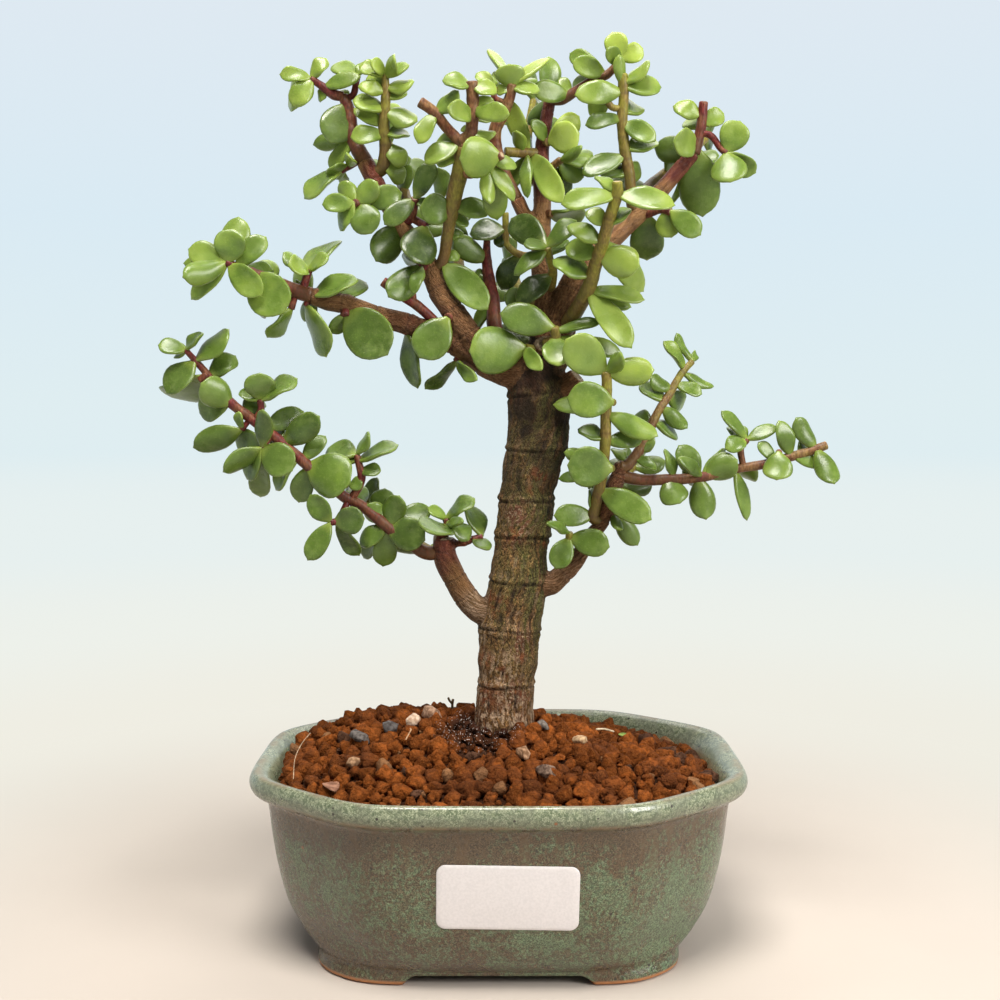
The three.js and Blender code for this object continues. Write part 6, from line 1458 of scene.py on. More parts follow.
# ---------------------------------------------------------------- pot
def plan_share(angle, square=0.0):
    """Share of the half-width at which the pot's plan lies in one direction; the feet are squarer in plan."""
    total = 0.0
    for direction, distance in POT_SIDES:
        distance += FOOT_CORNER * square if direction % 90 else 0
        facing = math.cos(angle - math.radians(direction))
        if facing > 0:
            total += (facing / distance) ** POT_PLAN_POWER
    return total ** (-1 / POT_PLAN_POWER) / POT_HALF_WIDTH


def rounded(profile, rounds, share=0.22):
    """Cuts the corners of an open profile again and again."""
    for _ in range(rounds):
        made = [profile[0]]
        for (ax, ay), (bx, by) in zip(profile, profile[1:]):
            made.append((ax + (bx - ax) * share, ay + (by - ay) * share))
            made.append((bx + (ax - bx) * share, by + (ay - by) * share))
        profile = made + [profile[-1]]
    return profile


def ease(value):
    """A soft step from nothing to one."""
    value = min(1.0, max(0.0, value))
    return value * value * (3 - 2 * value)


def glaze_material():
    """Mottled green over grey-brown; thin and brown under the lip, partly painted shade; pale on the lip;
    clay under the feet.
    """
    s = settings()
    material, tree, shader, place = blank_material("glaze")
    height = add_node(tree, "ShaderNodeSeparateXYZ", {"Vector": place}).outputs["Z"]
    lip = attribute(tree, "lip")
    thin = attribute(tree, "thin")
    clouds = mottle(place, 24, 0.34, 0.66, 8)
    patches = mottle(place, 130, 0.42, 0.6, 9)
    grains = mottle(place, 780, 0.47, 0.58, 7)
    fine = mottle(place, 2600, 0.42, 0.62, 4)
    green = varied(fine, s.glaze_green, 0.42, 1.75)
    brown = varied(fine, s.glaze_brown, 0.45, 1.45)
    share = plus(plus(times(clouds, 0.52), times(patches, 0.34)), times(grains, 0.44))
    # The thin mask turns the glaze brown: thin glaze on the corners and over the feet, and under the lip
    # partly painted shade.
    share = ramp(minus(share, times(thin, 0.55)), 0.27, 0.98)
    body = mix(share, brown, green)
    body = coat(body, times(mottle(place, 1500, 0.54, 0.62, 7), share), (0.26, 0.33, 0.21), 0.45)
    body = coat(body, mottle(place, 1300, 0.56, 0.64, 7), (0.045, 0.040, 0.024), 0.4)
    runs = mottle(stretched(place, (1, 1, 0.15)), 260, 0.5, 0.62, 5)
    body = coat(body, times(runs, times(thin, 0.7)), (0.11, 0.065, 0.03))
    pale = mix(fine, (0.136, 0.160, 0.092), (0.335, 0.355, 0.235))
    pale = coat(pale, grains, shaded(s.glaze_green, 0.55), 0.6)
    pale = coat(pale, patches, (0.12, 0.125, 0.085), 0.4)
    body = coat(body, lip, pale)
    worn = times(attribute(tree, "edge"), plus(patches, 0.25))
    body = coat(body, worn, (0.22, 0.13, 0.06), 0.55)
    body = coat(body, specks(place, 420, 0.2, 0.14), (0.035, 0.03, 0.022))
    body = coat(body, specks(place, 170, 0.11, 0.06), (0.26, 0.10, 0.04))
    bare_line = ramp(height, 0.0012, 0.0019, 1.0, 0.0)
    body = coat(body, bare_line, (0.42, 0.17, 0.06))
    rough = plus(plus(times(patches, 0.16), 0.24), times(bare_line, 0.5))
    fill(shader, {"Base Color": body, "Roughness": rough, "Coat Weight": 0.35, "Coat Roughness": 0.16})
    bump(shader, plus(times(patches, 0.7), grains), 0.22, 0.0004)
    return material


# The arches between the feet: half-widths at the front and at the sides, height, and the feet's top and
# inner side.
FOOT_GAP_X = 31.5
FOOT_GAP_Y = 17.5
FOOT_GAP_HEIGHT = 3.3
FOOT_TOP = 5.2
FOOT_INSIDE = 50
UNDERSIDE = 5
POT_FLOOR = 10
# Radius and height where the lip stands out from the wall.
LIP_UNDERSIDE = (79, 57.5)
# Heights at which the lip's edges are worn, and degrees from the bowl's front or back to its slanting sides.
LIP_LOWER_EDGE = 58.6
LIP_UPPER_EDGE = 65.9
SLANT_ANGLE = 38


def build_pot(around=176):
    """The bowl, spun round its plan, with a soft lip, a foot ring cut into four feet and drain holes."""
    profile = rounded(POT_PROFILE, 2)
    dense = [profile[0]]
    for (ax, ay), (bx, by) in zip(profile, profile[1:]):
        pieces = max(1, int(math.hypot(bx - ax, by - ay) / 4))
        for j in range(1, pieces + 1):
            dense.append((ax + (bx - ax) * j / pieces, ay + (by - ay) * j / pieces))
    verts, lip, thin, edge = [], [], [], []
    shares = [plan_share(2 * math.pi * k / around) for k in range(around)]
    squares = [plan_share(2 * math.pi * k / around, 1) for k in range(around)]
    for r, z in dense[1:-1]:
        for k in range(around):
            turn = 2 * math.pi * k / around
            square = ease((FOOT_BLEND - z) / FOOT_BLEND)
            share = shares[k] + (squares[k] - shares[k]) * square
            x, y = r * share * math.cos(turn), r * share * math.sin(turn)
            gap = FOOT_GAP_HEIGHT * max(ease((FOOT_GAP_X - abs(x)) / 3), ease((FOOT_GAP_Y - abs(y)) / 3))
            low = z < FOOT_TOP and r > FOOT_INSIDE
            verts.append((x, y, gap + z * (FOOT_TOP - gap) / FOOT_TOP if low else z))
            outside = r >= LIP_UNDERSIDE[0] and z >= LIP_UNDERSIDE[1]
            lip.append(ease((z - 58.5) / 1.6) if outside else ease((z - 56) / 4))
            # The thin mask: brown under the lip, partly as painted shade of the lip; thin on the slanting
            # corners and just over the feet.
            corner = max(0.0, 1 - abs(abs(math.degrees(turn) % 180 - 90) - SLANT_ANGLE) / 7)
            band = 0.75 * ease((z - 38) / 12) if z < 57 else 0.0
            over_feet = 0.4 * bell(z - 6.5, 2)
            thin.append(min(1.0, band + 0.5 * bell(z - 56, 2.6) + 0.3 * corner + over_feet))
            edge.append(max(bell(z - LIP_LOWER_EDGE, 0.8), 0.8 * bell(z - LIP_UPPER_EDGE, 0.5)))
    count = len(verts)
    verts += [(0, 0, UNDERSIDE), (0, 0, POT_FLOOR)]
    faces = skin(len(dense) - 2, around) + lid(count, 0, around) + lid(count + 1, count - around, around)
    piece = mesh_object("glazed_pot", verts, faces)
    write_attributes(piece, edge=edge + [0, 0], lip=lip + [0, 0], thin=thin + [0, 0])
    cutters = []
    for side in (-1, 1):
        ring = [(DRAIN_RADIUS * c + side * DRAIN_OFFSET, DRAIN_RADIUS * s) for c, s in round_steps(48)]
        posts = [(x, y, z) for z in (1, POT_FLOOR + 4) for x, y in ring]
        cutter = mesh_object("drain_cutter", posts, skin(2, 48) + [tuple(range(48)), tuple(range(48, 96))])
        cut = piece.modifiers.new("Drain", "BOOLEAN")
        cut.object = cutter
        cut.operation = "DIFFERENCE"
        cut.solver = "EXACT"
        cutters.append(cutter)
    baked(piece)
    for cutter in cutters:
        bpy.data.objects.remove(cutter)
    piece.data.shade_smooth()
    set_material(piece, glaze_material())
    seat(piece, "glaze", "pot")
    return piece


# ---------------------------------------------------------------- sticker
def wall_half(z):
    """Half-width of the outer wall at a height."""
    return np.interp(z, [row[1] for row in OUTER_WALL], [row[0] for row in OUTER_WALL])


def front_wall(x, z):
    """Depth of the pot's front wall behind a point of the elevation."""
    near, far = -80.0, 0.0
    for _ in range(30):
        middle = (near + far) / 2
        if math.hypot(x, middle) > wall_half(z) * plan_share(math.atan2(middle, x)):
            near = middle
        else:
            far = middle
    return far


def paper_material():
    """White paper with a faint fibre."""
    material, _, shader, place = blank_material("blank_paper")
    fibre = mottle(place, 1200, 0.3, 0.7, 5)
    body = mix(fibre, (0.68, 0.64, 0.635), (0.75, 0.705, 0.70))
    body = coat(body, mottle(place, 60, 0.3, 0.7, 3), (0.60, 0.57, 0.53), 0.12)
    fill(shader, {"Base Color": body, "Roughness": 0.42})
    bump(shader, fibre, 0.08, 0.0001)
    return material


STICKER_MIDDLE = (3.0, 34.4)
STICKER_PROUD = 0.42
STICKER_EDGE = 0.3
STICKER_BACK = 0.06
# Rings of the sticker's face as shares of its outline: the outermost is bent back to make a soft edge.
STICKER_RINGS = (1.0, 0.985, 0.9, 0.75, 0.55, 0.32, 0.12)


def build_sticker(width=45.6, height=22.0, corner=3.0, tilt=-1.0, steps=24):
    """A blank paper sticker that follows the curve of the front wall."""
    c, s = math.cos(math.radians(tilt)), math.sin(math.radians(tilt))
    outline = []
    for quarter in range(4):
        cx = (width / 2 - corner) * (1 if quarter in (0, 3) else -1)
        cz = (height / 2 - corner) * (1 if quarter in (0, 1) else -1)
        for step in range(steps):
            turn = (quarter + step / (steps - 1)) * math.pi / 2
            outline.append((cx + corner * math.cos(turn), cz + corner * math.sin(turn)))
    around = len(outline)

    def place(u, v, proud):
        x, z = STICKER_MIDDLE[0] + u * c - v * s, STICKER_MIDDLE[1] + u * s + v * c
        return x, front_wall(x, z) - proud, z

    verts = []
    for share in STICKER_RINGS:
        proud = STICKER_PROUD if share < 0.99 else STICKER_EDGE
        verts += [place(u * share, v * share, proud) for u, v in outline]
    face = len(verts)
    verts.append(place(0, 0, STICKER_PROUD))
    verts += [place(u, v, STICKER_BACK) for u, v in outline] + [place(0, 0, STICKER_BACK)]
    faces = skin(len(STICKER_RINGS), around) + lid(face, face - around, around)
    faces += lid(len(verts) - 1, face + 1, around)
    faces += [(k, (k + 1) % around, face + 1 + (k + 1) % around, face + 1 + k) for k in range(around)]
    piece = mesh_object("blank_sticker", verts, faces)
    set_material(piece, paper_material())
    seat(piece, "sticker", "sticker")


# ---------------------------------------------------------------- soil
def soil_height(share, x, y):
    """Height of the bed's top: a mound, heaped towards the back left and low at the back right."""
    heaps = sum(high * math.exp(-((x - cx) ** 2 + (y - cy) ** 2) / spread ** 2 / 2)
                for cx, cy, high, spread in SOIL_HEAPS)
    return SOIL_EDGE_HEIGHT + SOIL_MOUND_HEIGHT * (1 - share ** SOIL_MOUND_POWER) + heaps


def inner_half(z):
    """Half-width inside the pot at a height."""
    return float(np.interp(z, [row[1] for row in INNER_WALL], [row[0] for row in INNER_WALL]))


def granule_material():
    """Dusty fired clay; a few dark and sandy granules, dark fine soil round the trunk and a bed painted dark
    as shade.
    """
    s = settings()
    material, tree, shader, place = blank_material("fired_clay")
    tone = attribute(tree, "tone")
    bits = mottle(place, 620, 0.36, 0.66, 8)
    dust = mottle(place, 2400, 0.5, 0.66, 4)
    humus = mottle(place, 60, 0.48, 0.62, 5)
    body = varied(tone, s.soil, 0.6, 1.45)
    body = coat(body, bits, shaded(s.soil, 0.36), 0.65)
    body = coat(body, dust, (0.38, 0.142, 0.037), 0.3)
    dark = times(maths("GREATER_THAN", tone, 0.97), 0.85)
    body = coat(body, dark, mix(bits, (0.085, 0.050, 0.034), (0.026, 0.016, 0.011)))
    sandy = times(maths("LESS_THAN", tone, 0.018), 0.65)
    body = coat(body, sandy, (0.34, 0.175, 0.08))
    wet = times(round_spot(place, HUMUS_SPOT, *HUMUS_REACH), plus(humus, 0.8), True)
    body = coat(body, wet, (0.030, 0.013, 0.008), 0.9)
    body = coat(body, times(wet, specks(place, 1250, 0.28, 0.6)), (0.60, 0.52, 0.48))
    body = coat(body, humus, (0.05, 0.02, 0.012), 0.35)
    # Painted shade: the bed under the granules is darkened to stand for the shade in the gaps between them.
    body = coat(body, attribute(tree, "bed"), (0.045, 0.017, 0.008))
    fill(shader, {"Base Color": body, "Roughness": 0.95, "Specular IOR Level": 0.08})
    bump(shader, plus(grit(place, 1300.0, 9.0, 0.74), bits), 1.0, 0.0007)
    return material


def granule_shape(index, chance, corners=12, bevel=0.05):
    """One angular granule about 1 across: a hull round random corners with worn edges."""
    work = bmesh.new()
    stretch = (0.42 + 0.16 * next(chance), 0.38 + 0.14 * next(chance), 0.33 + 0.12 * next(chance))
    for i in range(corners):
        high = 1 - (2 * i + 1) / corners
        turn = 2.4 * i + 1.3 * next(chance)
        across = math.sqrt(1 - high ** 2)
        way = Vector((across * math.cos(turn), across * math.sin(turn), high)) * (0.74 + 0.52 * next(chance))
        work.verts.new([w * k for w, k in zip(way, stretch)])
    made = bmesh.ops.convex_hull(work, input=work.verts)
    inside = [v for v in made["geom_interior"] if isinstance(v, bmesh.types.BMVert)]
    bmesh.ops.delete(work, geom=inside, context="VERTS")
    if bevel:
        bmesh.ops.bevel(
            work, geom=work.edges[:], offset=bevel, segments=1, affect="EDGES", clamp_overlap=True)
        bmesh.ops.triangulate(work, faces=work.faces[:])
        for vert in work.verts:
            vert.co *= 1 + 0.13 * noise.noise(vert.co * 6 + Vector((index * 3.0, 1, 2)))
    bmesh.ops.recalc_face_normals(work, faces=work.faces[:])
    mesh = bpy.data.meshes.new(f"granule_{index}")
    work.to_mesh(mesh)
    work.free()
    if bevel:
        mesh.shade_smooth()
    return bpy.data.objects.new(f"granule_{index}", mesh)


def scattered(entry, where, words, seeds, least, most, lift):
    """Nodes that scatter the shapes of one size over a part of the bed."""
    tree = entry["Bed"].id_data
    shapes, spacing, size = (entry[word] for word in words)
    spread = add_node(tree, "GeometryNodeDistributePointsOnFaces", {
        "Mesh": entry["Bed"], "Selection": stored(tree, where), "Distance Min": spacing,
        "Density Max": 600000.0, "Seed": entry["Seed"]}, distribute_method="POISSON")
    pick = drawn_value(tree, "INT", Min=0, Max=SHAPES_EACH - 1, Seed=seeds)
    turn = drawn_value(tree, "FLOAT_VECTOR", Max=(6.283, 6.283, 6.283), Seed=seeds + 1)
    grow = drawn_value(tree, "FLOAT", Min=least, Max=most, Seed=seeds + 2)
    made = placed_shapes(spread.outputs["Points"], shapes, pick, turn, times(grow, size))
    made = add_node(tree, "GeometryNodeTranslateInstances", {
        "Instances": made, "Translation": (0, 0, lift), "Local Space": False}).outputs["Instances"]
    # Granules take none of the bed's painted shade, and a random tone each.
    for name, value in (("bed", 0.0), ("tone", drawn_value(tree, "FLOAT", Seed=seeds + 3))):
        made = add_node(tree, "GeometryNodeStoreNamedAttribute", {
            "Geometry": made, "Name": name, "Value": value}, data_type="FLOAT", domain="INSTANCE")
        made = made.outputs["Geometry"]
    return made


def granule_tree():
    """Geometry nodes: granules, and crumbs between them, scattered over a bed by a fixed seed."""
    tree, entry, keys = geometry_group("Granules on a bed", (
        ("Bed", "Geometry"), ("Granules", "Collection"), ("Crumbs", "Collection"), ("Spacing", "Float"),
        ("Size", "Float"), ("Crumb spacing", "Float"), ("Crumb size", "Float"), ("Seed", "Int"),
        ("Finish", "Material")), "Soil")
    granules = scattered(entry, "open", ("Granules", "Spacing", "Size"), 3, 0.6, 1.3, 0.0018)
    crumbs = scattered(entry, "top", ("Crumbs", "Crumb spacing", "Crumb size"), 23, 0.5, 1.4, 0.0012)
    joined((entry["Bed"], granules, crumbs), "Soil", entry["Finish"])
    return tree, keys


# The hole for the trunk's foot, and how far the bed keeps off the pot's wall below its top.
TRUNK_HOLE = (2.0, 11.9, 50.5)
BED_CLEARANCE = 1.2
BED_UNDERSIDE = 11.8


def soil_bed(drop=3.0, around=96, rings=22):
    """The closed body of the bed: a mounded top a little under the granules, the wall and the underside."""
    hole_x, hole_radius, hole_bottom = TRUNK_HOLE
    steps = round_steps(around)
    shares = [plan_share(2 * math.pi * k / around) for k in range(around)]
    reach = inner_half(SOIL_EDGE_HEIGHT) - 1.5
    top_radii = [hole_radius] + [reach * i / rings for i in range(5, rings)] + [reach - 1.2]
    rows = [(radius, None) for radius in top_radii]
    rows += [(inner_half(at) - BED_CLEARANCE, z)
             for at, z in ((55, 54), (40, 40), (24, 24), (14, 14), (POT_FLOOR, BED_UNDERSIDE))]
    verts, top, coarse = [], [], []
    for r, z in rows:
        for share, (c, s) in zip(shares, steps):
            x, y = (hole_x + r * c, r * s) if r < 14 else (r * share * c, r * share * s)
            bumpy = 1.1 * noise.noise(Vector((x * 0.11, y * 0.11, 3.0)))
            verts.append((x, y, z if z else soil_height(r / reach, x, y) - drop + bumpy))
            fine = 10.5 + 3 * noise.noise(Vector((x, y, 0)) * 0.2)
            top.append(0.0 if z else 1.0)
            coarse.append(0.0 if z or math.hypot(x - HUMUS_SPOT[0], y - HUMUS_SPOT[1]) < fine else 1.0)
    hole = len(verts)
    verts += [(hole_x + hole_radius * c, hole_radius * s, hole_bottom) for c, s in steps]
    verts += [(hole_x, 0, hole_bottom), (0, 0, BED_UNDERSIDE)]
    faces = skin(len(rows), around)
    faces += [(hole + k, hole + (k + 1) % around, (k + 1) % around, k) for k in range(around)]
    faces += lid(hole + around, hole, around) + lid(hole + around + 1, hole - around, around)
    piece = mesh_object("soil_bed", verts, faces)
    below = [0.0] * (len(verts) - hole)
    # The bed is marked for the painted shade of the gaps; its top and open parts take crumbs and granules.
    write_attributes(piece, top=top + below, open=coarse + below, bed=[1.0] * len(verts))
    return piece


# Crumbs beside granules: how close they lie, and how large they are.
CRUMB_SPACING = 0.55
CRUMB_SIZE = 0.45
SHAPES_EACH = 7


def build_soil():
    """The bed with its granules and crumbs, in one piece."""
    s = settings()
    piece = soil_bed()
    finish = granule_material()
    set_material(piece, finish)
    chance = random_from(GRANULE_SHAPES_SEED)
    store = bpy.data.collections.new("granule shapes")
    crumbs = bpy.data.collections.new("crumb shapes")
    shapes = [granule_shape(i, chance) for i in range(SHAPES_EACH)]
    shapes += [granule_shape(i, chance, bevel=0) for i in range(SHAPES_EACH, 2 * SHAPES_EACH)]
    for i, shape in enumerate(shapes):
        (store if i < SHAPES_EACH else crumbs).objects.link(shape)
    tree, keys = granule_tree()
    scatter = piece.modifiers.new("Granules", "NODES")
    scatter.node_group = tree
    for name, value in (("Granules", store), ("Spacing", s.granule_spacing), ("Size", s.granule_size),
                        ("Crumbs", crumbs), ("Crumb spacing", s.granule_spacing * CRUMB_SPACING),
                        ("Crumb size", s.granule_size * CRUMB_SIZE), ("Seed", s.granule_seed),
                        ("Finish", finish)):
        scatter[keys[name]] = value
    baked(piece)
    for shape in shapes:
        bpy.data.objects.remove(shape)
    for spare in (store, crumbs):
        bpy.data.collections.remove(spare)
    seat(piece, "fired_clay_soil", "soil")
    return piece


# ---------------------------------------------------------------- loose bits on the soil
def plain_material(name, first, second, scale, rough, relief=0.5):
    """Two colours in patches."""
    material, _, shader, place = blank_material(name)
    patches = mottle(place, scale, 0.35, 0.65, 6)
    fill(shader, {
        "Base Color": mix(patches, first, second), "Roughness": plus(times(patches, 0.1), rough - 0.05),
        "Specular IOR Level": 0.2})
    bump(shader, patches, relief, 0.0004)
    return material


def build_drain_mesh():
    """The squares of mesh keep their solids, in black plastic."""
    finish = plain_material("black_plastic", (0.012, 0.013, 0.014), (0.03, 0.03, 0.032), 900, 0.5, 0.3)
    for name in ("drain_mesh_left", "drain_mesh_right"):
        set_material(frame["nodes"][name], finish)


def on_soil(x, y, lift):
    """A point above the soil's mounded top."""
    share = math.hypot(x, y) / (inner_half(SOIL_EDGE_HEIGHT) * plan_share(math.atan2(y, x)))
    return np.array((x, y, soil_height(min(share, 1.0), x, y) + lift))


def lay_bit(piece, spot, size, turn, finish, squash=(1, 1, 1)):
    """Sizes, turns and lays one loose bit, and seats it on the object's body."""
    matrix = Matrix.Translation(Vector(spot) * MM) @ Matrix.Rotation(turn, 4, (0.3, 0.2, 1))
    matrix @= Matrix.Diagonal((*[size * MM * k for k in squash], 1))
    piece.data.transform(matrix)
    piece.data.shade_smooth()
    set_material(piece, finish)
    seat(piece, "fired_clay_soil")


# How high the middle of a loose bit lies over the bed.
BIT_LIFT = 1.2
# Stones among the granules: place, size, and two colours.
STONES = (("pale_stone", -30.7, -3.8, 6.6, (0.54, 0.41, 0.30), (0.30, 0.19, 0.12)),
          ("grey_stone", -38.7, -6.5, 5.6, (0.10, 0.088, 0.082), (0.035, 0.028, 0.025)),
          ("far_grey_stone", -48.8, -11.4, 6.6, (0.13, 0.112, 0.10), (0.05, 0.04, 0.035)),
          ("cream_stone", 28.8, -15.2, 5.2, (0.50, 0.35, 0.20), (0.28, 0.16, 0.08)),
          ("pumice", 16.0, -38.9, 7.2, (0.20, 0.13, 0.09), (0.06, 0.033, 0.022)),
          ("sandstone", 8.6, -28.7, 6.2, (0.36, 0.21, 0.12), (0.15, 0.075, 0.035)),
          ("tan_stone", -49.4, -27.6, 5.2, (0.34, 0.20, 0.11), (0.16, 0.085, 0.04)),
          ("grey_flake", 15.5, -7.5, 4.6, (0.20, 0.17, 0.145), (0.08, 0.065, 0.055)),
          ("bark_chip", -24.5, 1.5, 7.5, (0.36, 0.22, 0.14), (0.15, 0.08, 0.045)))
# Straws, fibres and a dry sprout: radius, colour, then points as place on the soil and height over it.
STRAWS = (("long_straw", 0.14, (0.46, 0.33, 0.21),
           ((-68.5, 3, 3.4), (-70, -8, 4.2), (-70.4, -20, 3.8), (-69, -32, 2.6))),
          ("short_straw", 0.35, (0.62, 0.50, 0.33), ((35, -3, 3.4), (38, -2, 4.1), (41.5, -1.5, 4))),
          ("bent_fibre", 0.25, (0.55, 0.33, 0.18), ((-31, -13, 2.4), (-30.5, -17, 3.8), (-32, -21, 2.8))),
          ("dry_sprout", 0.55, (0.16, 0.10, 0.05), ((-17, 20, -2), (-17.5, 20, 1), (-17.2, 20, 3.6))),
          ("sprout_fork", 0.45, (0.20, 0.13, 0.06), ((-17.4, 20, 1.8), (-18.6, 20, 3.2), (-19, 20, 4.2))))
# Fallen leaves: cup, droop, twist and wave of all; place, length, turn, and colours of each.
FALLEN_SHAPE = (0.9, 0.8, 0.6, 0.0)
FALLEN = (("dry_leaf", -53.5, -42.5, 8, 0.5, (0.30, 0.15, 0.09), (0.13, 0.055, 0.03)),
          ("green_leaf_bit", 48.9, 5.8, 5.5, 1.2, (0.20, 0.27, 0.05), (0.10, 0.17, 0.03)))


def build_loose_bits():
    """Stones, straws, a dry sprout and fallen leaves that lie on the granules."""
    chance = random_from(LOOSE_BITS_SEED)
    scene = bpy.context.scene.collection.objects
    for i, (name, x, y, size, first, second) in enumerate(STONES):
        stone = granule_shape(30 + i, chance, 30, 0.1)
        stone.name = name
        scene.link(stone)
        finish = plain_material(name, first, second, 800, 0.8)
        lay_bit(stone, on_soil(x, y, BIT_LIFT), size, 6 * next(chance), finish)
    for name, radius, colour, points in STRAWS:
        line, widths, _ = smooth_line([on_soil(*point) for point in points], [radius] * len(points), 0.8)
        straw = mesh_object(name, *bar(line, widths, 6, bevel=0.1))
        straw.data.shade_smooth()
        set_material(straw, plain_material(name, colour, [c * 0.6 for c in colour], 900, 0.7))
        seat(straw, "fired_clay_soil")
    for name, x, y, size, turn, first, second in FALLEN:
        leaf = leaf_shape(name, *FALLEN_SHAPE)
        leaf.name = name
        finish = plain_material(name, first, second, 500, 0.6)
        lay_bit(leaf, on_soil(x, y, BIT_LIFT), size, turn, finish, (0.7, 1, 0.12))


# ---------------------------------------------------------------- stage
HORIZON = (0.738, 0.85, 0.88)
SKY = (0.70, 0.825, 0.90)
SKY_TOP = (0.735, 0.815, 0.885)
ROOM = (0.22, 0.224, 0.228)
BLACK = (0.0, 0.0, 0.0)
# Light of the floor at a distance from the pot, in metres.
FLOOR_BANDS = (((0.12, 0.36), (0.868, 0.850, 0.765)), ((0.33, 0.68), (0.850, 0.877, 0.825)),
               ((0.6, 1.3), (0.800, 0.870, 0.862)), ((1.3, 5.0), HORIZON))


def floor_material():
    """Cream near the pot, glowing softly farther off so that no horizon shows."""
    s = settings()
    material, tree, shader, place = blank_material("floor")
    away = add_node(tree, "ShaderNodeVectorMath", {0: place}, operation="LENGTH").outputs["Value"]
    grain = mottle(place, 30, 0.3, 0.7, 5)
    lit = mix(grain, shaded(s.floor, 0.985), s.floor)
    glow = BLACK
    for (start, end), colour in FLOOR_BANDS:
        far = add_node(tree, "ShaderNodeMapRange", {"Value": away, "From Min": start, "From Max": end},
                       interpolation_type="SMOOTHSTEP").outputs["Result"]
        lit = coat(lit, far, BLACK)
        glow = coat(glow, far, colour)
    fill(shader, {
        "Base Color": lit, "Emission Color": glow, "Emission Strength": 1.0, "Roughness": 0.9,
        "Specular IOR Level": 0.0})
    return material


def sky_world():
    """A pale backdrop, bluer towards the top, with a dimmer room on the other sides and overhead."""
    world = bpy.data.worlds.new("pale sky")
    world.use_nodes = True
    tree = world.node_tree
    way = add_node(tree, "ShaderNodeSeparateXYZ", {
        "Vector": add_node(tree, "ShaderNodeTexCoord").outputs["Generated"]})
    up = ramp(way.outputs["Z"], 0.0, 0.14)
    top = ramp(way.outputs["Z"], 0.14, 0.3)
    backdrop = mix(top, mix(up, HORIZON, SKY), SKY_TOP)
    behind = ramp(way.outputs["Y"], -0.2, 0.6)
    overhead = ramp(way.outputs["Z"], 0.33, 0.6, 1.0, 0.0)
    open_side = times(behind, overhead)
    light = tree.nodes["Background"]
    tree.links.new(mix(open_side, ROOM, backdrop), light.inputs["Color"])
    light.inputs["Strength"].default_value = 1.0
    return world


FLOOR_RADIUS = 9000
# Lamps: name, place, size, watts and colour; all face a point inside the crown.
LAMPS = (("key", (-0.1, -0.40, 1.15), 0.42, 17.5, (1.0, 0.97, 0.92)),
         ("fill", (0.7, -0.6, 0.6), 0.4, 10.0, (1.0, 0.98, 0.95)),
         ("back", (0.1, 0.6, 0.95), 0.8, 5.0, (1.0, 0.98, 0.95)))
LAMP_AIM = Vector((0, 0, 0.17))
CAMERA_DIP = 4.4


def build_stage():
    """Floor, backdrop, lamps and camera."""
    floor = mesh_object("floor", [(FLOOR_RADIUS * c, FLOOR_RADIUS * s, -0.05) for c, s in round_steps(64)],
                        [tuple(range(64))])
    set_material(floor, floor_material())
    scene = bpy.context.scene
    scene.world = sky_world()
    scene.view_settings.view_transform = "Standard"
    for name, place, size, power, colour in LAMPS:
        data = bpy.data.lights.new(name, "AREA")
        data.shape, data.size, data.energy, data.color = "SQUARE", size, power, colour
        lamp = bpy.data.objects.new(name, data)
        lamp.location = place
        lamp.rotation_euler = (LAMP_AIM - Vector(place)).to_track_quat("-Z", "Y").to_euler()
        scene.collection.objects.link(lamp)
    data = bpy.data.cameras.new("camera")
    data.lens, data.sensor_width, data.clip_start = 45, 36, 0.01
    camera = bpy.data.objects.new("camera", data)
    camera.location = EYE * MM
    camera.rotation_euler = (math.radians(90 - CAMERA_DIP), 0, 0)
    scene.collection.objects.link(camera)
    scene.camera = camera


# ---------------------------------------------------------------- operators and panel
class BONSAI_OT_stage(bpy.types.Operator):
    """Lay the floor, the lights and the camera"""
    bl_idname = "bonsai.stage"
    bl_label = "Stage"

    def execute(self, context):
        build_stage()
        return {"FINISHED"}


class BONSAI_OT_pot(bpy.types.Operator):
    """Make the glazed pot with its lip, feet and drain holes"""
    bl_idname = "bonsai.pot"
    bl_label = "Pot"

    def execute(self, context):
        build_pot()
        return {"FINISHED"}


class BONSAI_OT_sticker(bpy.types.Operator):
    """Make the blank sticker on the pot's front"""
    bl_idname = "bonsai.sticker"
    bl_label = "Sticker"

    def execute(self, context):
        build_sticker()
        return {"FINISHED"}


class BONSAI_OT_drain_mesh(bpy.types.Operator):
    """Finish the plastic mesh over the drain holes"""
    bl_idname = "bonsai.drain_mesh"
    bl_label = "Drain mesh"

    def execute(self, context):
        build_drain_mesh()
        return {"FINISHED"}


class BONSAI_OT_soil(bpy.types.Operator):
    """Make the bed of fired-clay granules"""
    bl_idname = "bonsai.soil"
    bl_label = "Soil"

    def execute(self, context):
        build_soil()
        return {"FINISHED"}


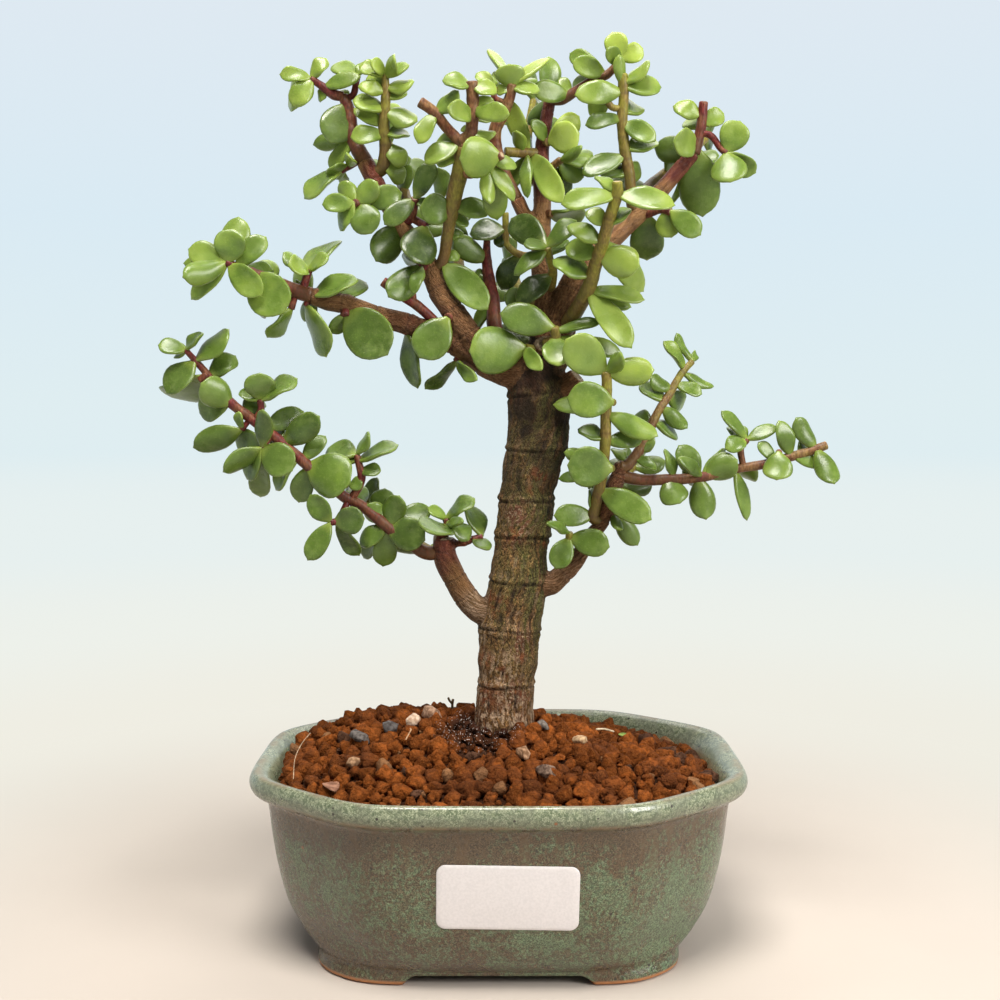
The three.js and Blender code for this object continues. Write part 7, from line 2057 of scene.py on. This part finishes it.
class BONSAI_OT_loose_bits(bpy.types.Operator):
    """Lay stones and dry bits on the soil"""
    bl_idname = "bonsai.loose_bits"
    bl_label = "Loose bits"

    def execute(self, context):
        build_loose_bits()
        return {"FINISHED"}


class BONSAI_OT_wood(bpy.types.Operator):
    """Make the trunk and its woody limbs with their bark"""
    bl_idname = "bonsai.wood"
    bl_label = "Trunk and limbs"

    def execute(self, context):
        build_wood()
        return {"FINISHED"}


class BONSAI_OT_front_shoots(bpy.types.Operator):
    """Make the leafy shoots at the front and sides"""
    bl_idname = "bonsai.front_shoots"
    bl_label = "Front shoots"

    def execute(self, context):
        build_shoots(True)
        return {"FINISHED"}


class BONSAI_OT_back_shoots(bpy.types.Operator):
    """Make the leafy shoots at the back"""
    bl_idname = "bonsai.back_shoots"
    bl_label = "Back shoots"

    def execute(self, context):
        build_shoots(False)
        return {"FINISHED"}


STEPS = ("stage", "pot", "sticker", "drain_mesh", "soil", "loose_bits", "wood", "front_shoots", "back_shoots")


class BONSAI_PT_panel(bpy.types.Panel):
    """Lists the bonsai's settings and pieces"""
    bl_label = "Bonsai"
    bl_idname = "BONSAI_PT_panel"
    bl_space_type = "VIEW_3D"
    bl_region_type = "UI"
    bl_category = "Bonsai"

    def draw(self, context):
        for name in BonsaiSettings.__annotations__:
            self.layout.prop(context.scene.bonsai, name)
        for step in STEPS:
            self.layout.operator("bonsai." + step)


CLASSES = (BonsaiSettings, BONSAI_OT_stage, BONSAI_OT_pot, BONSAI_OT_sticker, BONSAI_OT_drain_mesh,
           BONSAI_OT_soil, BONSAI_OT_loose_bits, BONSAI_OT_wood, BONSAI_OT_front_shoots,
           BONSAI_OT_back_shoots, BONSAI_PT_panel)


def register():
    for cls in CLASSES:
        bpy.utils.register_class(cls)
    bpy.types.Scene.bonsai = bpy.props.PointerProperty(type=BonsaiSettings)


def unregister():
    del bpy.types.Scene.bonsai
    for cls in reversed(CLASSES):
        bpy.utils.unregister_class(cls)


def main():
    register()
    for step in STEPS:
        getattr(bpy.ops.bonsai, step)()


if __name__ == "__main__":
    main()
